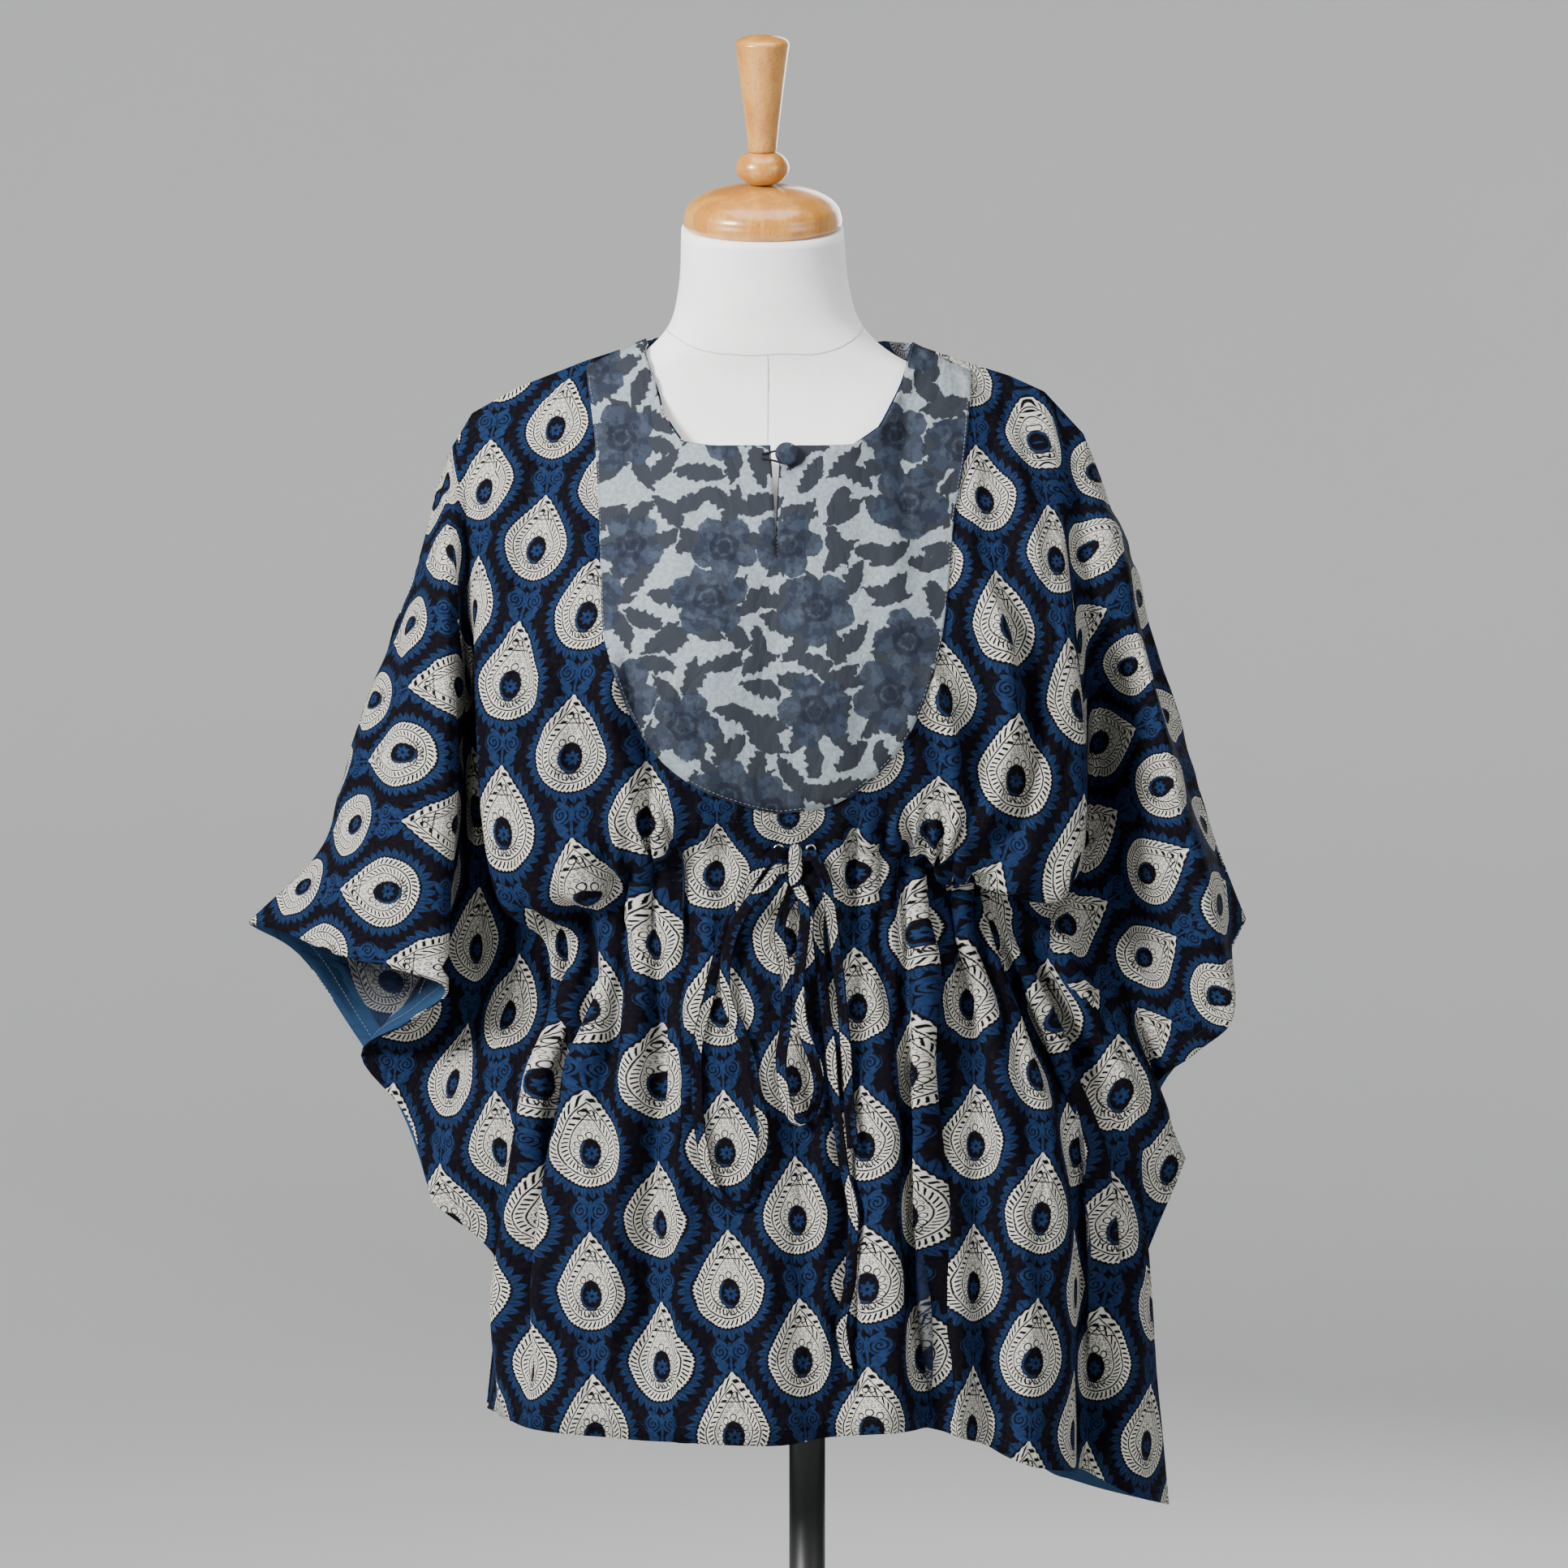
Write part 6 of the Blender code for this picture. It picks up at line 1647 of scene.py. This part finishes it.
BAND_TURNS, BAND_TURN_SHIFT = 2.6, 7  # half turns to and fro, and how the cut's place shifts them
BAND_PINCHES, BAND_PINCH = 9, 0.06  # places where the band is narrower, and by what share


def knot_mesh(tree):
    """The bow's knot, wound with folds, and its search tree."""
    bm = bmesh.new()
    bmesh.ops.create_uvsphere(bm, u_segments=40, v_segments=28, radius=1)
    across = bm.verts.layers.float.new("across")
    for v in bm.verts:
        # across also places the drawstring cotton's painted shade on the knot's left and right sides
        v[across] = v.co.x
        wound = KNOT_FOLD * math.sin(v.co.z * KNOT_WIND[0] + v.co.x * KNOT_WIND[1]) * (1 - abs(v.co.z))
        fold = 1 + wound - KNOT_FOLD * math.exp(-(v.co.x * KNOT_DENT) ** 2)
        v.co = Vector(math.copysign(abs(c) ** KNOT_POWER, c) * size / 2 * fold
                      for c, size in zip(v.co, KNOT_SIZE))
    x, z = GARMENT_X + KNOT_PLACE[0] * MM, KNOT_PLACE[1] * MM
    y = min(on_panel(tree, x + v.co.x, z + v.co.z)[1] - v.co.y for v in bm.verts) - CLOTH / 2 - STRING_GAP
    bmesh.ops.translate(bm, vec=(x, y, z), verts=bm.verts)
    layer = bm.loops.layers.uv.new("UVMap")
    for face in bm.faces:
        for loop in face.loops:
            loop[layer].uv = (loop.vert.co.x + KNOT_CUT[0], loop.vert.co.z + KNOT_CUT[1])
    knot_tree = BVHTree.FromBMesh(bm)
    return mesh_from(bm, "bow_knot"), knot_tree


def from_knot(point, knot_tree):
    """The point of a band's end that faces the knot."""
    place = np.array(knot_tree.find_nearest(Vector(point))[0])
    way = (point - place) / np.linalg.norm(point - place)
    return place + way * STRING_GAP


def band_line(route, tree, knot_tree, loop):
    """Centre points of a flat band that lies over the front's gathers; a loop has both ends at the knot."""
    points = []
    for x, z, stand in route:
        x, z = GARMENT_X + x * MM, z * MM
        beside = (-BAND_REACH, 0, BAND_REACH)
        foremost = min(on_panel(tree, x + dx, z + dz)[1] for dx in beside for dz in beside)
        points.append(np.array([x, foremost - stand * MM, z]))
    line = even(points, BAND_STEP)
    line.insert(0, from_knot(line[0], knot_tree))
    if loop:
        line.append(from_knot(line[-1], knot_tree))
    return np.array(line)


BAND_SECTION = (
    (1.0, 0.0), (0.97, 0.75), (0.80, 1.0), (0.25, 0.9), (0.0, 0.75), (-0.25, 0.9), (-0.80, 1.0),
    (-0.97, 0.75), (-1.0, 0.0), (-0.97, -0.75), (-0.80, -1.0), (0.0, -0.8), (0.80, -1.0), (0.97, -0.75),
)


def band_mesh(name, line, twist, cut):
    """A folded and stitched flat band along its centre line, cut from the print at a place across it."""
    ahead = np.gradient(line, axis=0)
    ahead /= np.linalg.norm(ahead, axis=1, keepdims=True)
    side = np.cross(ahead, np.array([0, -1.0, 0]))
    side /= np.linalg.norm(side, axis=1, keepdims=True)
    out = np.cross(side, ahead)
    run = run_of(line)
    bm = bmesh.new()
    layer = bm.loops.layers.uv.new("UVMap")
    across = bm.verts.layers.float.new("across")
    rings, flat = [], {}
    for i, p in enumerate(line):
        f = i / (len(line) - 1)
        turn = math.sin(math.pi * BAND_TURNS * f + cut * BAND_TURN_SHIFT)
        angle = math.radians(twist) * turn * math.sin(math.pi * f)
        s = side[i] * math.cos(angle) + out[i] * math.sin(angle)
        o = out[i] * math.cos(angle) - side[i] * math.sin(angle)
        wide = STRING_WIDTH / 2 * (1 - BAND_PINCH * math.sin(BAND_PINCHES * f * math.pi) ** 2)
        rings.append([])
        for a, b in BAND_SECTION:
            v = bm.verts.new(p + s * a * wide + o * b * STRING_THICK / 2)
            # across also places the drawstring cotton's painted shade along the band's edges and middle fold
            v[across] = a
            flat[v] = (cut + a * STRING_WIDTH * 0.5, run[i] + cut * 3)
            rings[-1].append(v)
    skin(bm, rings)
    for face in bm.faces:
        for loop in face.loops:
            loop[layer].uv = flat[loop.vert]
    bm.faces.new(rings[0])
    bm.faces.new(rings[-1][::-1])
    bmesh.ops.recalc_face_normals(bm, faces=bm.faces)
    return mesh_from(bm, name)


# ---- turned pieces, button, loop and eyelets ----


def circle(bm, radius, height, steps):
    """A level ring of points round Z, or one point where the radius is 0."""
    if radius < 1e-6:
        return [bm.verts.new((0, 0, height))]
    return [bm.verts.new((radius * math.cos(a), radius * math.sin(a), height))
            for a in np.linspace(0, 2 * math.pi, steps, endpoint=False)]


def turned(name, profile, steps):
    """A closed body turned about Z from (radius, height) points listed from the top down its outer side."""
    bm = bmesh.new()
    skin(bm, [circle(bm, r, z, steps) for r, z in profile])
    return mesh_from(bm, name)


def quarter(radius, height, middle, steps, middle_radius=0.0):
    """Points of a rounded corner, from its top outwards and down, as (radius, height)."""
    return [(middle_radius + radius * math.sin(a), middle + height * math.cos(a))
            for a in np.linspace(0, math.pi / 2, steps)]


def facing(normal):
    """Rotation that turns local +Z onto a normal, keeping local +X level."""
    z = Vector(normal).normalized()
    y = z.cross(Vector((1, 0, 0))).normalized()
    x = y.cross(z)
    return Matrix((x, y, z)).transposed().to_4x4()


PLACE_REACH = 0.006  # how far round a small piece the panel sets its slope


def place_on(mesh, tree, x, z, height):
    """Set a mesh on a panel at garment x, z in mm, standing off its middle surface by a height."""
    x, z = GARMENT_X + x * MM, z * MM
    here = on_panel(tree, x, z)
    side = on_panel(tree, x + PLACE_REACH, z) - on_panel(tree, x - PLACE_REACH, z)
    down = on_panel(tree, x, z - PLACE_REACH) - on_panel(tree, x, z + PLACE_REACH)
    normal = np.cross(down, side)
    normal /= np.linalg.norm(normal)
    mesh.transform(Matrix.Translation(here + normal * height) @ facing(normal))


BUTTON_PLACE = (7.5, 1299.5)
BUTTON_RADIUS, BUTTON_SHANK, BUTTON_HEIGHT = 0.008, 0.0034, 0.0042
BUTTON_BEND = 0.0014  # height of the dome's turned-in edge
BUTTON_CUT = (-0.030, 1.210)  # from its own x and y to its place on the print
PUCKERS, PUCKER = 14, 0.012
LOOP_RADIUS, LOOP_STEP = 0.00075, 0.0008
LAY_GAP = 0.0003
LOOP_ROUTE = (
    (-9.0, 1.6), (-5, 2.2), (-1, 3.2), (3.0, 4.2), (7.5, 4.6), (11.5, 3.2), (12.6, 0), (11.5, -3.2),
    (7.5, -4.6), (3.0, -4.2), (-1, -3.2), (-5, -2.2), (-9.0, -1.6),
)
EYELETS = (("eyelet_ring_left", "eyelet_left", 2.2, 1034), ("eyelet_ring_right", "eyelet_right", 23.7, 1034))
EYELET_RADIUS, EYELET_WIRE = 0.0039, 0.0008
EYELET_STEPS, EYELET_SIDES = 40, 12


def button_mesh():
    """Cloth-covered dome, puckered at its rim, on a short shank."""
    r, low = BUTTON_RADIUS, BUTTON_SHANK
    dome = quarter(r, BUTTON_HEIGHT - BUTTON_BEND, low + BUTTON_BEND, 14)
    dome[0] = (0, low + BUTTON_HEIGHT)
    edge = [(r * 0.99, low + 0.0008), (r * 0.93, low + 0.0002), (0.0024, low), (0.0022, 0), (0, 0)]
    mesh = turned("covered_button", dome + edge, 48)
    for v in mesh.vertices:
        reach = math.hypot(v.co.x, v.co.y)
        if v.co.z > low and reach > r * 0.5:
            turn = math.atan2(v.co.y, v.co.x)
            pucker = PUCKER * math.sin(turn * PUCKERS + math.sin(turn * 3)) * (reach / r - 0.5) * 2
            v.co.x *= 1 + pucker
            v.co.y *= 1 + pucker
    layer = mesh.uv_layers.new(name="UVMap")
    for loop in mesh.loops:
        co = mesh.vertices[loop.vertex_index].co
        layer.data[loop.index].uv = (co.x + BUTTON_CUT[0], co.y + BUTTON_CUT[1])
    return mesh


def tube_curve(name, points, radius, sides=4, closed=False):
    """A round cord through the points."""
    data = bpy.data.curves.new(name, "CURVE")
    data.dimensions = "3D"
    data.bevel_depth = radius
    data.bevel_resolution = sides
    data.use_fill_caps = not closed
    spline = data.splines.new("POLY")
    spline.points.add(len(points) - 1)
    spline.use_cyclic_u = closed
    for point, place in zip(spline.points, points):
        point.co = (*place, 1)
    return data


def loop_points(tree):
    """The button loop's centre line: it lies on the yoke, round the button."""
    points = []
    for x, z in LOOP_ROUTE:
        p = on_panel(tree, GARMENT_X + x * MM, (BUTTON_PLACE[1] + z) * MM)
        points.append(p + np.array([0, -(CLOTH / 2 + LAY_GAP + LOOP_RADIUS), 0]))
    return even(points, LOOP_STEP)


def ring_mesh(name):
    """A rolled metal eyelet: a flat-backed ring with a rounded lip."""
    bm = bmesh.new()
    rings = []
    for i in range(EYELET_STEPS):
        a = 2 * math.pi * i / EYELET_STEPS
        rings.append([])
        for k in range(EYELET_SIDES):
            b = 2 * math.pi * k / EYELET_SIDES
            r = EYELET_RADIUS - EYELET_WIRE + EYELET_WIRE * math.cos(b)
            height = EYELET_WIRE * max(math.sin(b), -0.5)
            rings[-1].append(bm.verts.new((r * math.cos(a), r * math.sin(a), height)))
    skin(bm, rings + rings[:1])
    bmesh.ops.recalc_face_normals(bm, faces=bm.faces)
    return mesh_from(bm, name)


# ---- dress form and stand ----

CAP_RADIUS, CAP_HEIGHT, CAP_EDGE = 0.055, 0.030, 0.009
BALL_RADIUS, BALL_TALL, BALL_ARC = 0.0185, 0.0125, (30, 158)  # the arc in degrees from the top
HANDLE_LENGTH, HANDLE_WIDE, HANDLE_NARROW, HANDLE_DOME, HANDLE_FLARE = 0.080, 0.0187, 0.0098, 0.006, 1.15
PART_GAP = 0.0003
POLE_RADIUS, BASE_RADIUS, BASE_HEIGHT, TORSO_BOTTOM = 0.0125, 0.175, 0.008, 0.720
BASE_ROUND = 0.003


def torso_mesh(rings):
    """The padded torso and neck, closed below and above."""
    bm = bmesh.new()
    loops = [[bm.verts.new(p) for p in ring] for ring in rings]
    for low, high in zip(loops, loops[1:]):
        for k in range(FORM_SIDES):
            n = (k + 1) % FORM_SIDES
            bm.faces.new((low[k], low[n], high[n], high[k]))
    bm.faces.new(loops[0][::-1])
    bm.faces.new(loops[-1])
    return mesh_from(bm, "padded_torso")


def on_neck(mesh, height):
    """Stand a turned piece on the leaning neck."""
    z, *_, cx, cy = FORM_SECTIONS[-1]
    neck = Matrix.Translation((cx, cy, z)) @ Matrix.Rotation(NECK_LEAN, 4, "X")
    mesh.transform(neck @ Matrix.Translation((0, 0, height)))
    return mesh


def cap_profile():
    r, edge = CAP_RADIUS, CAP_EDGE
    dome = quarter(r * 0.985, CAP_HEIGHT - edge, edge, 28)
    dome[0] = (0, CAP_HEIGHT)
    return dome + [(r * 0.995, edge * 0.85), (r, edge * 0.6), (r * 0.998, edge * 0.4),
                   (r * 0.985, edge * 0.2), (r * 0.965, 0.0004), (r * 0.95, 0), (0, 0)]


def ball_profile():
    arc = [(BALL_RADIUS * math.sin(a), BALL_TALL * math.cos(a))
           for a in np.linspace(*np.radians(BALL_ARC), 30)]
    return [(0, arc[0][1])] + arc + [(0, arc[-1][1])]


def handle_profile():
    shaft = HANDLE_LENGTH - HANDLE_DOME
    crown = quarter(HANDLE_WIDE, HANDLE_DOME, shaft, 16)
    crown[0] = (0, HANDLE_LENGTH)
    side = [(HANDLE_NARROW + (HANDLE_WIDE - HANDLE_NARROW) * f ** HANDLE_FLARE, shaft * f)
            for f in np.linspace(0.97, 0.03, 24)]
    return crown + side + [(HANDLE_NARROW * 0.96, 0.0006), (HANDLE_NARROW * 0.90, 0), (0, 0)]


NECK_SEAM = (
    (-0.0967, -0.03, 1.3899), (-0.0696, -0.07, 1.370), (-0.0426, -0.08, 1.3612), (-0.0155, -0.08, 1.3628),
    (0.0065, -0.07, 1.3678), (0.0292, -0.05, 1.381), (0.042, -0.02, 1.396), (0.040, 0.03, 1.412),
    (-0.010, 0.07, 1.420), (-0.060, 0.07, 1.418), (-0.100, 0.03, 1.408),
)
FRONT_SEAM = (
    (-0.0272, -0.08, 1.3608), (-0.0275, -0.09, 1.335), (-0.0280, -0.10, 1.305), (-0.0285, -0.12, 1.24),
)
SEAM_RADIUS = 0.00035


def form_seam(name, tree, points, closed):
    """A sewn seam that lies on the form's cover."""
    line = list(points) + [points[0]] if closed else points
    fine = curve(line, np.linspace(0, len(line) - 1, 16 * len(line)))
    places = [np.array(tree.find_nearest(Vector(p))[0]) for p in (fine[:-1] if closed else fine)]
    add_object(name, tube_curve(name, places, SEAM_RADIUS, 3, closed), (SEAM_GREY,))


# ---- the kaftan ----


def panel_piece(name, node, grid, uv, cells, edge, slit=None):
    """A walled panel of the main cotton, with its wrong side inside."""
    mesh = cloth_mesh(name, grid, uv, cells, edge, slit)
    piece = add_object(name, mesh, (MAIN_COTTON, WRONG_COTTON), (node,))
    wall(piece, CLOTH, WALL_AT_HEM)
    return piece


form = form_rings()
form_tree = ring_tree(form)
front, front_uv, front_cells, front_names, front_columns = fine_front(form_tree)
back, back_uv, back_cells = fine_back(form_tree)[:3]
front_edge, back_edge = to_end(front), to_end(back)
front_slit = slit_of(front, nearest(front[0, :, 0], GARMENT_X))
front_piece = panel_piece("front_panel", "front", front, front_uv, front_cells, front_edge, front_slit)
# the back's columns in the other order, so that its faces look outwards
back_piece = panel_piece("back_panel", "back", back[:, ::-1], back_uv[:, :, ::-1], back_cells[:, ::-1],
                         back_edge[:, ::-1])

front_tree = bvh(front)
yoke, yoke_uv = yoke_grid(front_tree)
yoke_rows, yoke_columns = yoke.shape[:2]
yoke_data = cloth_mesh("bib_yoke", yoke, yoke_uv[None], np.zeros((yoke_rows - 1, yoke_columns - 1), int),
                       np.ones((yoke_rows, yoke_columns)), slit_of(yoke, YOKE_HALF))
yoke_piece = add_object("bib_yoke", yoke_data, (YOKE_COTTON, YOKE_COTTON), ("yoke",))
wall(yoke_piece, CLOTH, CLOTH)
yoke_tree = bvh(yoke)

button = button_mesh()
place_on(button, yoke_tree, *BUTTON_PLACE, CLOTH / 2 + LAY_GAP)
add_object("covered_button", button, (YOKE_COTTON,), ("button",))
loop_data = tube_curve("rouleau_loop", loop_points(yoke_tree), LOOP_RADIUS)
add_object("rouleau_loop", loop_data, (DARK_COTTON,), ("button_loop",))
for name, node, x, z in EYELETS:
    ring = ring_mesh(name)
    place_on(ring, front_tree, x, z, CLOTH / 2 + EYELET_WIRE * 0.5)
    add_object(name, ring, (NICKEL,), (node,))

# ---- the drawstring's bow ----

BANDS = (
    # name, node, route, loop, twist in degrees, where across the print it is cut
    ("bow_band_left", "bow_loop_left", BOW_LEFT, True, 28, 0.0178),
    ("bow_band_right", "bow_loop_right", BOW_RIGHT, True, 34, 0.0773),
    ("tail_band_long", "drawstring_tail_long", TAIL_LONG, False, 38, 0.0182),
    ("tail_band_short", "drawstring_tail_short", TAIL_SHORT, False, 30, 0.0770),
)
knot, knot_tree = knot_mesh(front_tree)
add_object("bow_knot", knot, (STRING_COTTON,), ("drawstring_knot",))
for name, node, route, loop, twist, cut in BANDS:
    line = band_line(route, front_tree, knot_tree, loop)
    piece = add_object(name, band_mesh(name, line, twist, cut), (STRING_COTTON,), (node,))

# ---- stitching on the kaftan ----

HEMS = (
    # name, panel, distances to its edge, which side, thread
    ("front_hem_stitches", front, front_edge, 1, BLUE_THREAD),
    ("back_hem_stitches", back, back_edge, -1, BLUE_THREAD),
    ("front_hem_stitches_inside", front, front_edge, -1, PALE_THREAD),
    ("back_hem_stitches_inside", back, back_edge, 1, PALE_THREAD),
)
for name, grid, edge, outward, thread_used in HEMS:
    stitches(name, [hem_line(grid, edge, outward)], thread_used)
casing = range(nearest(front_columns, front_names.index("skirt_b_l")),
               nearest(front_columns, front_names.index("skirt_a_r")) + 1)
stitches("casing_stitches", [level_line(front, height, casing) for height in CASING_HEIGHTS], BLUE_THREAD)
stitches("yoke_stitches", [rim_line(yoke)], PALE_THREAD)

# ---- the dress form and stand ----

add_object("padded_torso", torso_mesh(form), (JERSEY,), ("form_torso",))
form_seam("neck_seam", form_tree, NECK_SEAM, True)
form_seam("front_seam", form_tree, FRONT_SEAM, False)
ball = ball_profile()
cap_foot = PART_GAP
ball_middle = cap_foot + CAP_HEIGHT + PART_GAP - ball[-1][1]
handle_foot = ball_middle + ball[0][1] + PART_GAP
TURNED = (
    # name, node, profile, height of its origin over the neck, steps round
    ("turned_cap", "neck_cap", cap_profile(), cap_foot, 96),
    ("turned_ball", "finial_ball", ball, ball_middle, 64),
    ("turned_handle", "finial_handle", handle_profile(), handle_foot, 64),
)
for name, node, profile, height, steps in TURNED:
    add_object(name, on_neck(turned(name, profile, steps), height), (WOOD,), (node,))

corner = quarter(BASE_ROUND, BASE_ROUND, BASE_HEIGHT - BASE_ROUND, 8, BASE_RADIUS - BASE_ROUND)
foot = [(BASE_RADIUS, 0.0006), (BASE_RADIUS - 0.0006, 0), (0, 0)]
base = turned("round_base", [(0, BASE_HEIGHT)] + corner + foot, 128)
add_object("round_base", base, (BLACK,), ("stand_base",))
length = TORSO_BOTTOM - BASE_HEIGHT - 2 * PART_GAP
pole = turned("round_pole", [(0, length), (POLE_RADIUS, length), (POLE_RADIUS, 0), (0, 0)], 64)
pole.transform(Matrix.Translation((0, 0, BASE_HEIGHT + PART_GAP)))
add_object("round_pole", pole, (BLACK,), ("stand_pole",))

# ---- floor, backdrop and light ----

SWEEP = ((0, 0), (2.2, 0), (3.6, 0.03), (4.8, 0.30), (5.6, 0.95), (6.0, 2.0), (6.1, 4.0))
SWEEP_POINTS, SWEEP_STEPS = 40, 96
FLOOR_GAP = 0.0002  # from the floor to the base plate


def sweep():
    """A round floor that curves up into the backdrop on all sides."""
    profile = curve([(r, 0, z) for r, z in SWEEP], np.linspace(0, len(SWEEP) - 1, SWEEP_POINTS))
    mesh = turned("sweep", [(float(p[0]), float(p[2])) for p in profile], SWEEP_STEPS)
    mesh.flip_normals()
    mesh.transform(Matrix.Translation((0, 0, -FLOOR_GAP)))
    obj = bpy.data.objects.new("sweep", mesh)
    bpy.context.scene.collection.objects.link(obj)
    obj.data.materials.append(BACKDROP)


# name, place, aimed at, width, height, watts, colour
LIGHTS = (
    ("key", (-2.1, -2.0, 2.3), (0, 0, 1.0), 0.9, 0.9, 255, (1.0, 0.99, 0.97)),
    ("fill", (2.3, -1.9, 1.8), (0, 0, 1.0), 1.2, 1.4, 22, (0.97, 0.985, 1.0)),
    ("top", (0, -0.6, 3.1), (0, 0, 0.9), 1.8, 1.4, 48, (1.0, 1.0, 1.0)),
    ("back", (1.2, 3.0, 2.4), (0, 0, 1.0), 2.0, 2.0, 60, (1.0, 1.0, 1.0)),
)
WORLD_GREY, WORLD_STRENGTH = (0.86, 0.87, 0.89, 1), 0.10


def lights():
    for name, place, target, wide, high, watts, color in LIGHTS:
        data = bpy.data.lights.new(name, "AREA")
        data.shape = "RECTANGLE"
        data.size, data.size_y = wide, high
        data.energy = watts
        data.color = color
        obj = bpy.data.objects.new(name, data)
        obj.location = place
        obj.rotation_euler = (Vector(target) - Vector(place)).to_track_quat("-Z", "Y").to_euler()
        bpy.context.scene.collection.objects.link(obj)
    world = bpy.data.worlds.new("soft_light")
    world.use_nodes = True
    shade = world.node_tree.nodes["Background"]
    shade.inputs["Color"].default_value = WORLD_GREY
    shade.inputs["Strength"].default_value = WORLD_STRENGTH
    bpy.context.scene.world = world


sweep()
lights()
